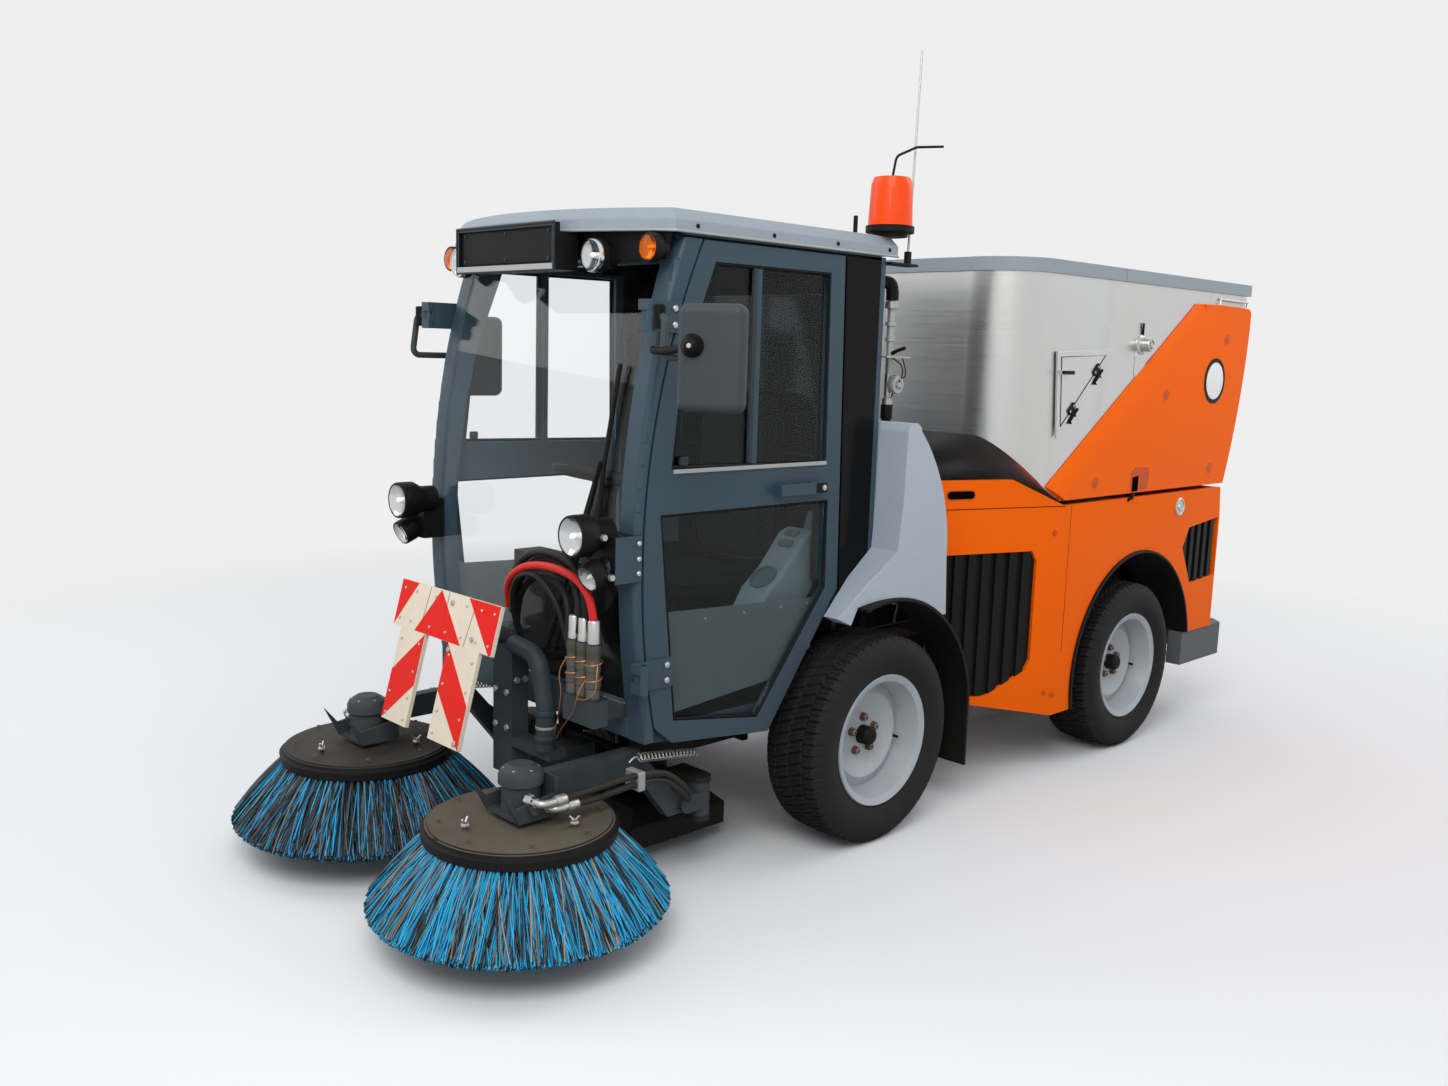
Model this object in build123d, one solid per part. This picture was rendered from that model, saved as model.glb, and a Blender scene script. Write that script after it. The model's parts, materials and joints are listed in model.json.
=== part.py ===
from build123d import *
from math import asin, atan2, cos, degrees, radians, sin, sqrt
import os

# Compact articulated street sweeper, in millimetres.
# Forward is -Y, the machine's left is +X, up is +Z, and the ground is Z 0.
# Places are measured along Y from the front axle, and the whole model is
# shifted once, on export, so that the origin is under the middle of the box.

# Fits and clearances
NEAR_GAP = 0.3
RUNNING_GAP = 0.05
END_GAP = 2
CLEAR = 6
OVERRUN = 40

# Driving sizes
WHEELBASE = 1630
HALF_WIDTH = 655

# Wheels
WHEEL_R = 350
TYRE_W = 235
TYRE_CROWN_W = 176
TYRE_BEAD_W = 196
TYRE_SHOULDER_R = 322
TYRE_BULGE_R = 276
TYRE_CROWN_DROP = 4
TYRE_LEAN_SHARE = 0.72
TYRE_SHOULDER_SHARE = 1 / 24
RIM_SEAT_R = 206
RIM_WALL = 9
RIM_FLANGE_R = 222
RIM_W = 212
RIM_INSET = 118
RIM_DISC_T = 12
RIM_DISC_DISH = 22
HUB_R = 66
RIM_DISH_SHARES = (1.4, 1.5)
HUB_CAP_R = 32
HUB_CAP_OUT = 58
STUD_CIRCLE_R = 60
STUD_R = 8
STUD_OUT = 18
STUD_COUNT = 5
STUD_TURN = 90
SPINDLE_R = 30
WHEEL_X = HALF_WIDTH - TYRE_W / 2
DRUM_R_SHARE = 0.62
DRUM_W_SHARE = 0.36
STUB_R_SHARE = 0.36

# Cab shell
FENDER_REACH = 120
DOOR_X = HALF_WIDTH - FENDER_REACH
DOOR_T = 32
DOOR_GAP = 8
PILLAR_W = 73
PILLAR_IN_X = DOOR_X - PILLAR_W
PILLAR_ROUND_R = 18
FLANGE_T = 26
FLANGE_IN = 34
CAB_REAR_Y = 26
CAB_WALL = 24
CAB_SILL_Z = 440
CAB_FLOOR_Z = 500
CAB_FLOOR_T = 30
CAB_EAVES_Z = 1912
FRONT_BEAM_H = 100
FRONT_BEAM_Z = CAB_FLOOR_Z + FRONT_BEAM_H
WHEEL_BOX_SIDE = 28
WHEEL_BOX_X = WHEEL_X - TYRE_W / 2 - WHEEL_BOX_SIDE
REAR_WINDOW_LOW_Z = 1260
REAR_WINDOW_TOP_Z = 1800
REAR_WINDOW_SIDE = 135
GLASS_T = 6
SCREEN_DROP = 80
SCREEN_TOP_Z = CAB_EAVES_Z - SCREEN_DROP
SCREEN_T = 8
SCREEN_GAP = 0.4

# Front curve of the cab in (y, z): foot, waist and head of one arc
NOSE_FOOT = (-945, 535)
NOSE_WAIST = (-991, 1019)
NOSE_HEAD = (-838, 1905)
# Corners of the door in (y, z), from its head round by the foot to its tail
DOOR_HEAD = (-765, 1903)
DOOR_WAIST = (-957, 1147)
DOOR_FOOT = (-908, 540)
DOOR_TOE = (-841, 485)
DOOR_HEEL = (-444, 443)
DOOR_KNEE = (-145, 862)
DOOR_TAIL = (-173, 1903)

# Roof and brow
ROOF_TOP_Z = 1980
ROOF_OVERHANG = 8
ROOF_NOSE_Y = -1046
ROOF_CORNER_Y = -880
ROOF_REAR_Y = 74
ROOF_BEVEL_H = 30
ROOF_BEVEL_IN = 20
ROOF_SKIN = 20
BROW_SET_BACK = 56
BROW_SIDE = 20
PLATE_W = 490
PLATE_H = 128
PLATE_D = 21
PLATE_X = 8
PLATE_Y = -1068
PLATE_Z = 1875
PLATE_FRAME = 10
PLATE_SINK = 5

# Lamps
LAMP_R = 58
LAMP_X_IN = 77
LAMP_Y = -1142
LAMP_Z = 1100
LOW_LAMP_R = 40
LOW_LAMP_X_IN = 43
LOW_LAMP_Y = -1112
LOW_LAMP_Z = 992
LOW_LAMP_TURN = 24
LAMP_BRACKET_IN = 93
LAMP_BRACKET_SHARE = 1.3
WORK_LAMP = (335, -992, 1851)
WORK_LAMP_R = 46
WORK_LAMP_D = 62
INDICATOR = (492, -922, 1872)
INDICATOR_R = 40
INDICATOR_D = 44
LAMP_WAIST_SHARES = (0.35, 0.6)
LAMP_NECK_SHARE = 0.72

# Inside the cab
SEAT_HALF_W = 230
SEAT_BASE_HALF_W = 190
SEAT_FRONT_Y = -500
SEAT_REAR_Y = -60
SEAT_BASE_IN = 40
SEAT_BASE_H = 230
CUSHION_H = 110
CUSHION_R = 40
BACK_HALF_W = 210
BACK_H = 620
BACK_T = 110
BACK_TOP_T = 76
BACK_FOOT_OUT = 20
BACK_LEAN = 26
BACK_EDGE_R = 8
BINNACLE_HALF_W = 170
BINNACLE_Y = (-900, -800)
BINNACLE_LOW_Z = CAB_FLOOR_Z + CAB_FLOOR_T + NEAR_GAP
BINNACLE_TOP_Z = 960
COLUMN_R = 38
COLUMN_FOOT_Y = -800
STEER_HUB = (-660, 1190)
STEER_R = 170
STEER_RIM_R = 14
STEER_SPOKE_R = 11
STEER_BOSS_R = 48
STEER_BOSS_H = 24
CONSOLE_Y = (-150, -24)
CONSOLE_HEIGHTS = (90, 200, 210)
CONSOLE_NOSE = 40
CONSOLE_W = 104

# Wiper
WIPER_R = 7
WIPER_LINK_R = 6
WIPER_FOOT = (150, -1010, 700)
WIPER_LINK_STEP = 40
WIPER_KNEE = (380, -1010, 1230)
WIPER_HEAD = (389, -1000, 1290)
WIPER_BLADE = ((372, -1003, 1000), (392, -992, 1280), (408, -952, 1560))
WIPER_BOSS_R = 18
WIPER_BOSS_BACK_Y = -973

# Doors
UPPER_PANE = ((-868, 1275), (-835, 1560), (-721, 1847), (-234, 1849), (-223, 1265))
LOWER_PANE = ((-905, 1149), (-207, 1151), (-203, 871), (-493, 497), (-839, 550))
KICK_PANEL = ((-900, 866), (-212, 836), (-384, 600), (-872, 560))
KICK_T = 5
PANE_SPLIT_Y = -539
PANE_BAR = 18
PANE_BAR_INSET = 4
HANDLE_Y = (-456, -246)
HANDLE_Z = 1196
HANDLE_H = 34
HANDLE_OUT = 34
HANDLE_GRIP_T = 12
HANDLE_ENDS = (30, 60)
HINGE_OUT = 34
HINGE_BACK = 24
HINGE_R = 13
HINGE_PIN_R = 6
HINGE_ZS = (700, 1690)
HINGE_H = 84
HINGE_LEAF_T = 7
HINGE_LEAF_W = 130
HINGE_X = DOOR_X + HINGE_OUT
HINGE_Y = DOOR_WAIST[0] - HINGE_BACK

# Mirrors
MIRROR_W = 176
MIRROR_D = 62
MIRROR_H = 272
MIRROR_R = 26
MIRROR_ARM_R = 10
MIRROR_ARM_BEND = 24
MIRROR_OUT = 277
MIRROR_Y = -985
MIRROR_Z = 1583
MIRROR_TURN = 32
FOLDED_MIRROR_OUT = 88
FOLDED_MIRROR_Y = -742
FOLDED_MIRROR_Z = 1560

# Fenders and mudguards
GUARD_R = 462
GUARD_Z = 366
GUARD_W = 159
GUARD_OUT = 4
GUARD_T = 12
GUARD_FOOT_Z = 172
GUARD_ANGLES = (107, 8)
FENDER_IN = 103
FENDER_NOSE = ((-206, 776), (-96, 892), (16, 980), (32, 1138), (38, 1360))
FENDER_HEAD = ((62, 1392), (104, 1366))
FENDER_BACK = ((214, 1214), (276, 940))
FENDER_HEEL_Y = 290
FENDER_TOE_Y = -136
FENDER_TOE_DROP = 24
FENDER_TOE_END_Y = -300
FENDER_TOE_X_IN = 99
FENDER_FULL_Y = 120

# Articulation and frames
PIVOT_AHEAD = 815
PIVOT_Y = WHEELBASE - PIVOT_AHEAD
PIVOT_PIN_R = 30
PIVOT_EYE_R = 72
FRAME_Z = 300
FRAME_H = 150
FRAME_TOP_Z = FRAME_Z + FRAME_H
FRAME_FRONT_Y = -700
FRAME_BEND_Y = 110
RAIL_X = 190
RAIL_T = 26
CLEVIS_T = 24
CLEVIS_GAP = 1.5
POST_DEPTH = 44
LUG_T = 16
TIP_PIN_REACH = 42
TIP_LUG_STEP = 30

# Rear body
BODY_TOP_Z = 1068
BODY_BAND_Z = 1170
BODY_BOTTOM_Z = 250
BODY_WALL = 26
BODY_TAPER = 180
BODY_NOSE_X = HALF_WIDTH - BODY_TAPER
BODY_NOSE_AHEAD = 1175
BODY_BAND_AHEAD = 860
BODY_CORNER_AHEAD = 620
BODY_TAIL_REACH = 790
BODY_TAIL_LEAN = 88
BODY_NOSE_Y = WHEELBASE - BODY_NOSE_AHEAD
BODY_BAND_Y = WHEELBASE - BODY_BAND_AHEAD
BODY_CORNER_Y = WHEELBASE - BODY_CORNER_AHEAD
BODY_REAR_Y = WHEELBASE + BODY_TAIL_REACH
BODY_REAR_TOP_Y = BODY_REAR_Y - BODY_TAIL_LEAN
BODY_REAR_R = 70
BODY_FOOT_RISE = 130
TAIL_NOTCH_HALF_W = 330
TAIL_NOTCH_Z = 1030
ARCH_R = 492
LINER_T = 12
LINER_OUT = 10
LINER_W = 223
NOSE_GRILLE_Z = (380, 900)
NOSE_GRILLE_IN = 30
NOSE_GRILLE_CUTS = (20, 60, 100, 40)
NOSE_GRILLE_SHARES = (0.46, 0.76, 0.80)
REAR_GRILLE_STEPS = ((380, 820), (430, 905), (705, 932), (715, 668), (475, 652))
GRILLE_RIB = 62
GRILLE_RIB_SHARE = 0.55
GRILLE_BACK_T = 6
GRILLE_RIB_T = 12
NOSE_RIB_COUNT = 7
REAR_RIB_COUNT = 5
REAR_RIB_IN = 20

# Bumper, tow jaw and tail lamps
BUMPER_REACH = 900
BUMPER_REAR_Y = WHEELBASE + BUMPER_REACH
BUMPER_WRAP = 462
BUMPER_FRONT_Y = WHEELBASE + BUMPER_WRAP
BUMPER_Z = 280
BUMPER_H = 148
BUMPER_T = 66
BUMPER_BEVEL = 60
BUMPER_BACK_T = 80
BUMPER_SPLIT = 80
TOW_BORE_R = 16
TOW_IN = 60
TOW_JAW_W_SHARE = 5
TOW_CHEEK_SHARE = 1.4
TOW_Y = BUMPER_REAR_Y - TOW_IN
TAIL_LAMP_IN = 135
TAIL_LAMP_ZS = (860, 752)
TAIL_LAMP_RS = (52, 44)
TAIL_LAMP_D = 28
TAIL_LAMP_PLATE = (40, 12)

# Engine
ENGINE_HALF_W = 250
ENGINE_AHEAD = 190
ENGINE_BEHIND = 560
ENGINE_TOP_Z = 980

# Hopper
PANEL_T = 25
HOPPER_X = HALF_WIDTH - PANEL_T
HOPPER_WALL = 22
HOPPER_BOTTOM_Z = 1084
HOPPER_TOP_Z = 1918
HOPPER_TAPER = 240
HOPPER_NOSE_X = HOPPER_X - HOPPER_TAPER
HOPPER_NOSE_AHEAD = 962
HOPPER_CORNER_AHEAD = 780
HOPPER_BEND_AHEAD = 830
HOPPER_FLAT_AHEAD = 620
HOPPER_NOSE_Y = WHEELBASE - HOPPER_NOSE_AHEAD
HOPPER_CORNER_Y = WHEELBASE - HOPPER_CORNER_AHEAD
HOPPER_BEND_Y = WHEELBASE - HOPPER_BEND_AHEAD
HOPPER_FLAT_Y = WHEELBASE - HOPPER_FLAT_AHEAD
HOPPER_NOSE_Z = 1330
HOPPER_BEND_Z = 1200
HOPPER_CORNER_SWELL = (52, 44)
HOPPER_TAIL_REACH = 866
HOPPER_FOOT_REACH = 722
HOPPER_REAR_Y = WHEELBASE + HOPPER_TAIL_REACH
HOPPER_REAR_FOOT_Y = WHEELBASE + HOPPER_FOOT_REACH
INLET_R = 94
INLET_COLLAR = 10
COVER_H = 49
COVER_OUT = 9
COVER_SKIN = 8
LID_SPLIT_AHEAD = 260
LID_SPLIT_Y = WHEELBASE - LID_SPLIT_AHEAD
LID_SPLIT_GAP = 4
TIP_PIVOT_REACH = 758
TIP_PIVOT_Y = WHEELBASE + TIP_PIVOT_REACH
TIP_PIVOT_Z = 1122
TIP_PIN_R = 16
TIP_LUG_IN = 130
TIP_LUG_R = 32
REAR_DOOR_T = 34
REAR_DOOR_GAP = 6
REAR_DOOR_FOOT_H = 104
REAR_DOOR_FOOT_OUT = 12

# Orange hopper panels in (distance behind the rear axle, z)
PANEL_TOE = (-620, 1086)
PANEL_TIP = (-730, 1142)
PANEL_SHOULDER = (355, 1862)
PANEL_CROWN = ((600, 1866), (836, 1862))
PANEL_HORN = ((858, 1844), (858, 1780))
PANEL_BACK = ((812, 1420), (720, 1086))
PANEL_BEVEL_W = 62
PANEL_BEVEL_T = 19

# Filler and inspection doors, in (distance behind the rear axle, z)
FILLER_STEP = (-86, 1680)
FILLER_R = 27
FILLER_OUT = 42
INSPECTION_STEPS = ((-725, 1640), (-330, 1655), (-695, 1322))
INSPECTION_GAP = 5
INSPECTION_LAP = 10
INSPECTION_T = 8
INSPECTION_FLANGE = 22
INSPECTION_HINGE_OUT = 16
INSPECTION_HINGE_SET = 8
INSPECTION_END_GAP = 0.5
INSPECTION_HINGE_SHARES = (0.28, 0.72)
INSPECTION_PIN_R = 3
INSPECTION_EYE_R = 6
INSPECTION_KNUCKLE = 20
LATCH_DROP = 76
LATCH_IN = 14
LATCH_W = 60
LATCH_H = 18
LATCH_T = 14

# Small knuckle hinges of the rear door and the front lid
GATE_HINGE_BACK = 22
GATE_HINGE_DROP = 30
GATE_HINGE_Y = HOPPER_REAR_Y + GATE_HINGE_BACK
GATE_HINGE_Z = HOPPER_TOP_Z - GATE_HINGE_DROP
GATE_HINGE_X = 380
LID_HINGE_RISE = 12
LID_HINGE_Z = HOPPER_TOP_Z + COVER_H + LID_HINGE_RISE
LID_HINGE_X = 440
LID_STRAP = 60
KNUCKLE_R = 12
KNUCKLE_PIN_R = 6
KNUCKLE_W = 26

# Beacon and aerials
BEACON = (515, 60)
BEACON_BASE_R = 58
BEACON_BASE_H = 12
BEACON_FOOT_R = 78
BEACON_FOOT_H = 22
BEACON_DRUM_R = 72
BEACON_TOP_R = 66
BEACON_H = 172
GOOSENECK = ((515, 60, 2165), (520, 70, 2232), (560, 120, 2262), (620, 180, 2266))
GOOSENECK_R = 4
GOOSENECK_BEND = 24
WHIP_FOOT = (530, 140, 1900)
WHIP_TIP = (530, 160, 2567)
WHIP_R = 4
WHIP_BASE_R = 12
WHIP_BASE_H = 40
WHIP_SHELF = (26, 8)
STUB_AERIAL = (463, -49)
STUB_AERIAL_R = 7
STUB_AERIAL_H = 60

# Brooms
BROOM_TIP_R = 418
BROOM_BETWEEN = 6
BROOM_X = BROOM_TIP_R + BROOM_BETWEEN
BROOM_Y = -1285
BROOM_TIP_Z = 88
BROOM_TIP_T = 78
BROOM_PLATE_Z = 338
BROOM_RIM_R = 268
BROOM_RIM_H = 42
BROOM_ROOT_T = 64
BROOM_RIM_STEPS = (4, 10, 12, 18, 20)
BROOM_RIM_RISES = (16, 14, 4)
BROOM_SHAFT_R = 16
BROOM_SHAFT_IN = 24
BROOM_SHAFT_UP = 30
CLAMP_CIRCLE_R = 165
CLAMP_R = 6
CLAMP_H = 22
CLAMP_COUNT = 3
CLAMP_TURN = 24

# Broom arms and carrier
ARM_PIVOT_OUT = 16
ARM_PIVOT_X = BROOM_X + ARM_PIVOT_OUT
ARM_PIVOT_Y = -640
ARM_PIN_R = 20
CARRIER_Y = (-690, -610)
CARRIER_EAR_R = 36
CARRIER_EAR_IN = 110
CARRIER_CHEEK_IN = 80
CARRIER_CHEEK_T = 30
BEAM_LOW_Z = 210
BEAM_TOP_Z = 290
EAR_T = 16
EAR_GAP = 1
BRACKET_BOSS_R = 34
BRACKET_EAR_IN = 20
LIFT_Y = -712
LIFT_Z = 250
LIFT_PIN_R = 12
LIFT_EYE_R = 28
ARM_HALF_T = 19
ARM_TOP_Z = 460
ARM_H = 74
ARM_RISE = 10
ARM_BEND_Y = -902
ARM_TOE = 70
YOKE_LIFT = 14
YOKE_T = 10
YOKE_HALF_W = 78
YOKE_FRONT = 60
YOKE_BACK = 66
YOKE_HORN = (110, 96)
YOKE_CHEEK_HEIGHTS = (64, 44)
MOTOR_R = 62
MOTOR_H = 128
MOTOR_H_SHARES = (0.55, 0.6, 0.78, 0.89)
MOTOR_R_SHARES = (0.86, 1, 0.9, 0.55)
PORT_R = 13
PORT_OUT = 96
PORT_SLANT = 20
PORT_HEIGHTS = (48, 26)

# Tool plate
TOOL_PLATE = (0, -730, 250)
TOOL_PLATE_HALF_W = 150
TOOL_PLATE_HALF_H = 60
TOOL_PLATE_T = 16
TOOL_BACK_HALF_W = 120
TOOL_BACK_HALF_H = 36
TOOL_HOLES = (200, 60)
TOOL_HOLE_R = 7

# Suction gear
DUCT_R = 88
DUCT_WALL = 5
DUCT_Y = -500
DUCT_LOW_Z = 400
DUCT_HIGH_Z = 680
DUCT_TOP_Z = 1094
DUCT_RISE_Y = 120
DUCT_CREST_AHEAD = 395
DUCT_BENDS = (110, 140, 140, 130)
HOOD_HALF_W = 300
HOOD_Y = (-790, -390)
HOOD_Z = (62, 180)
HOOD_WALL = 14
HOOD_TOP_T = 54
HOOD_BEVEL = 46

# Warning board, post and front hoses
BOARD_X = (-328, 211)
BOARD_H = 144
BOARD_LEG_H = 286
BOARD_LEGS = ((-281, -139), (-11, 152))
BOARD_T = 14
BOARD_LEAN = 14.7
BOARD_PLACE = (-1236, 732)
POST_HALF_W = 50
POST_Y = (-1060, -1000)
POST_Z = (300, 760)
TIE_HALF_W = 40
TIE_Z = (270, 340)
BRACE_R = 16
BRACE_SHARE = 0.25
BOOM_TUBE = ((50, -1054, 716), (176, -1054, 700), (214, -1054, 560), (214, -1054, 426))
BOOM_TUBE_R = 28
BOOM_TUBE_BENDS = (70, 90)
BOOM_FOOT_Z = (396, 426)
BOOM_FOOT_X = 242
HOSE_RS = (13, 12, 12)
HOSE_STEP = 44
HOSE_BENDS = (110, 90)
HOSE_START_X = 470
HOSE_Y = -1080
HOSE_CREST_Z = 1010
HOSE_FAR = (30, -1110, 1030)
HOSE_END = (20, -1040, 764)
HOSE_FAR_STEPS = (20, 14)
HOSE_END_STEPS = (24, 10)
HOSE_CREST_STEP = 12
COUPLER_R = 19
COUPLER_Z = (640, 800)
RACK_X = (360, 500)
RACK_Y = (-1100, -1050)
RACK_STEM_X = (380, 455)
RACK_Z = 566

FRONT_REACH = BROOM_TIP_R - BROOM_Y
SHIFT_Y = (FRONT_REACH - BUMPER_REAR_Y) / 2

PARTS = {}


def keep(name, *solids):
    """File solids under a node's name, shifted to the model's origin."""
    for solid in solids:
        pieces = solid if isinstance(solid, (list, tuple)) else [solid]
        PARTS.setdefault(name, []).extend(Pos(0, SHIFT_Y, 0) * piece for piece in pieces)


def both(shape):
    """A shape on the left side and its mirror on the right."""
    return [shape, mirror(shape, about=Plane.YZ)]


def outline(start, *steps):
    """Closed face of straight and arc steps: a step is an end, or (middle, end)."""
    edges, here = [], start
    for step in steps:
        if isinstance(step[0], tuple):
            edges.append(ThreePointArc(here, step[0], step[1]))
            here = step[1]
        else:
            edges.append(Line(here, step))
            here = step
    if here != start:
        edges.append(Line(here, start))
    return make_face(edges)


def side_prism(face, x_from, x_to):
    """A face drawn in (y, z), extruded along X."""
    return extrude(Pos(x_from, 0, 0) * (Plane.YZ * face), x_to - x_from, dir=(1, 0, 0))


def plan_prism(face, z_from, z_to):
    """A face drawn in (x, y), extruded up."""
    return extrude(Pos(0, 0, z_from) * face, z_to - z_from, dir=(0, 0, 1))


def block(x_span, y_span, z_span):
    """A box between three pairs of limits."""
    size = [span[1] - span[0] for span in (x_span, y_span, z_span)]
    low = [span[0] for span in (x_span, y_span, z_span)]
    return Pos(*low) * Box(*size, align=(Align.MIN, Align.MIN, Align.MIN))


def rod(start, end, radius):
    """A round bar between two points."""
    line = Vector(*end) - Vector(*start)
    plane = Plane(origin=start, z_dir=line)
    return extrude(plane * Circle(radius), line.length, dir=line)


def upright(x, y, z_from, z_to, radius):
    """A round bar that stands up from one height to another."""
    return rod((x, y, z_from), (x, y, z_to), radius)


def crossbar(x_from, x_to, y, z, radius):
    """A round bar along X."""
    return rod((x_from, y, z), (x_to, y, z), radius)


def pipe(points, radii, radius, bore=0):
    """A round pipe along straight runs joined by arcs."""
    path = FilletPolyline(*points, radius=radii) if radii else Polyline(*points)
    start = Plane(origin=path @ 0, z_dir=path % 0)
    body = sweep(start * Circle(radius), path=path)
    if bore:
        body -= sweep(start * Circle(bore), path=path)
    return body


def turned(points, axis_point, axis="X"):
    """A profile of (along, radius) pairs turned about a line along X or Z."""
    if axis == "X":
        face = make_face(Polyline(*points, close=True))
        return Pos(*axis_point) * revolve(face, Axis.X)
    face = Plane.XZ * make_face(Polyline(*[(r, a) for a, r in points], close=True))
    return Pos(*axis_point) * revolve(face, Axis.Z)


def behind_axle(point):
    """A point given as (distance behind the rear axle, z), in (y, z)."""
    return WHEELBASE + point[0], point[1]


def tyre_solid():
    """The tyre about X at the origin, with a domed crown and round sidewalls."""
    bead, crown, bulge = TYRE_BEAD_W / 2, TYRE_CROWN_W / 2, TYRE_W / 2
    foot = RIM_SEAT_R + NEAR_GAP
    heel = RIM_FLANGE_R + NEAR_GAP * 2
    knee = (heel + TYRE_BULGE_R) / 2
    lean = bead + (bulge - bead) * TYRE_LEAN_SHARE
    shoulder = (bulge + crown) / 2 + TYRE_W * TYRE_SHOULDER_SHARE
    edge_r = WHEEL_R - TYRE_CROWN_DROP
    face = outline(
        (-bead, foot),
        (bead, foot),
        (bead, heel),
        ((lean, knee), (bulge, TYRE_BULGE_R)),
        ((shoulder, TYRE_SHOULDER_R), (crown, edge_r)),
        ((0, WHEEL_R), (-crown, edge_r)),
        ((-shoulder, TYRE_SHOULDER_R), (-bulge, TYRE_BULGE_R)),
        ((-lean, knee), (-bead, heel)),
        (-bead, foot),
    )
    return revolve(face, Axis.X)


def rim_solid():
    """The deep dished rim about X at the origin, with its outer side at +X."""
    half = RIM_W / 2
    bead = TYRE_BEAD_W / 2 + NEAR_GAP
    disc_x = TYRE_W / 2 - RIM_INSET
    face_x = disc_x + RIM_DISC_T
    inner = RIM_SEAT_R - RIM_WALL
    well = inner - RIM_WALL * 2
    barrel = [
        (-half, RIM_FLANGE_R - RIM_WALL / 3),
        (-bead, RIM_FLANGE_R),
        (-bead, RIM_SEAT_R),
        (bead, RIM_SEAT_R),
        (bead, RIM_FLANGE_R),
        (half, RIM_FLANGE_R - RIM_WALL / 3),
        (half - RIM_WALL, inner),
        (disc_x + RIM_WALL * 3, well),
        (disc_x - RIM_WALL * 3, well),
        (-half + RIM_WALL, inner),
    ]
    dish = [
        (disc_x, well + RIM_WALL / 2),
        (face_x, well + RIM_WALL / 2),
        (face_x + RIM_DISC_DISH, well - RIM_WALL * 4),
        (face_x, HUB_R * RIM_DISH_SHARES[1]),
        (face_x, SPINDLE_R + RUNNING_GAP),
        (disc_x - HUB_CAP_OUT / 2, SPINDLE_R + RUNNING_GAP),
        (disc_x - HUB_CAP_OUT / 2, HUB_R),
        (disc_x, HUB_R),
        (disc_x, HUB_R * RIM_DISH_SHARES[0]),
        (disc_x + RIM_DISC_DISH, well - RIM_WALL * 4),
    ]
    cap = [
        (face_x, 0),
        (face_x, HUB_CAP_R),
        (disc_x + HUB_CAP_OUT - RIM_WALL, HUB_CAP_R),
        (disc_x + HUB_CAP_OUT, HUB_CAP_R - RIM_WALL),
        (disc_x + HUB_CAP_OUT, 0),
    ]
    body = turned(barrel, (0, 0, 0)) + turned(dish, (0, 0, 0)) + turned(cap, (0, 0, 0))
    for index in range(STUD_COUNT):
        angle = radians(STUD_TURN + 360 * index / STUD_COUNT)
        y, z = STUD_CIRCLE_R * cos(angle), STUD_CIRCLE_R * sin(angle)
        body += crossbar(disc_x + RIM_WALL, face_x + STUD_OUT, y, z, STUD_R)
    return body


def wheels():
    """Four wheels, each a tyre node and a rim node."""
    tyre, rim = tyre_solid(), rim_solid()
    for end, y in (("front", 0), ("rear", WHEELBASE)):
        for side, x in (("left", WHEEL_X), ("right", -WHEEL_X)):
            turn = Rot(0, 0, 0 if x > 0 else 180)
            place = Pos(x, y, WHEEL_R) * turn
            keep(f"tyre_{end}_{side}", place * tyre)
            keep(f"rim_{end}_{side}", place * rim)


def axle(y):
    """Two wheel motors on stub tubes, with the spindles that carry the rims."""
    disc_x = WHEEL_X + TYRE_W / 2 - RIM_INSET
    drum_out = disc_x - HUB_CAP_OUT / 2 - END_GAP
    drum_in = drum_out - TYRE_W * DRUM_W_SHARE
    left = crossbar(RAIL_X + RAIL_T / 2, drum_out, y, WHEEL_R, FRAME_H * STUB_R_SHARE)
    left += crossbar(drum_in, drum_out, y, WHEEL_R, RIM_SEAT_R * DRUM_R_SHARE)
    left += crossbar(drum_out, disc_x + RIM_DISC_T - END_GAP, y, WHEEL_R, SPINDLE_R)
    return both(left)


def front_frame():
    """Two rails that carry the cab, and a V of plates back to the hinge eye."""
    half = RAIL_T / 2
    frame = None
    for side in (1, -1):
        rail_x = sorted((side * (RAIL_X - half), side * (RAIL_X + half)))
        rail = block(rail_x, (FRAME_FRONT_Y, FRAME_BEND_Y), (FRAME_Z, FRAME_TOP_Z))
        eye_x = PIVOT_EYE_R - RAIL_T
        vee = [
            (side * (RAIL_X + half), FRAME_BEND_Y),
            (side * (RAIL_X + half), FRAME_BEND_Y - RAIL_T * 2),
            (side * (RAIL_X - half), FRAME_BEND_Y - RAIL_T * 2),
            (side * eye_x, PIVOT_Y - RAIL_T * 2),
            (side * (eye_x + RAIL_T), PIVOT_Y),
        ]
        plate = plan_prism(make_face(Polyline(*vee, close=True)), FRAME_Z, FRAME_TOP_Z)
        frame = rail + plate if frame is None else frame + rail + plate
    for y in (FRAME_FRONT_Y + RAIL_T, -RAIL_X, FRAME_BEND_Y - RAIL_T):
        low = FRAME_Z if y < -RAIL_X else FRAME_Z - RAIL_T
        frame += block((-RAIL_X, RAIL_X), (y - half, y + half), (low, low + RAIL_T))
    for y in (-RAIL_X, FRAME_BEND_Y - RAIL_T):
        saddle = (FRAME_Z - half, DUCT_LOW_Z - DUCT_R - NEAR_GAP)
        frame += block((-RAIL_T, RAIL_T), (y - half, y + half), saddle)
    frame += upright(0, PIVOT_Y, FRAME_Z, FRAME_TOP_Z, PIVOT_EYE_R)
    bore_r = PIVOT_PIN_R + RUNNING_GAP
    frame -= upright(0, PIVOT_Y, FRAME_Z - OVERRUN, FRAME_TOP_Z + OVERRUN, bore_r)
    for x in (RAIL_X, -RAIL_X):
        for y in (FRAME_FRONT_Y + OVERRUN, -OVERRUN):
            post = (FRAME_TOP_Z, CAB_FLOOR_Z - NEAR_GAP)
            frame += block((x - RAIL_T, x + RAIL_T), (y - RAIL_T, y + RAIL_T), post)
    return frame


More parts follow.
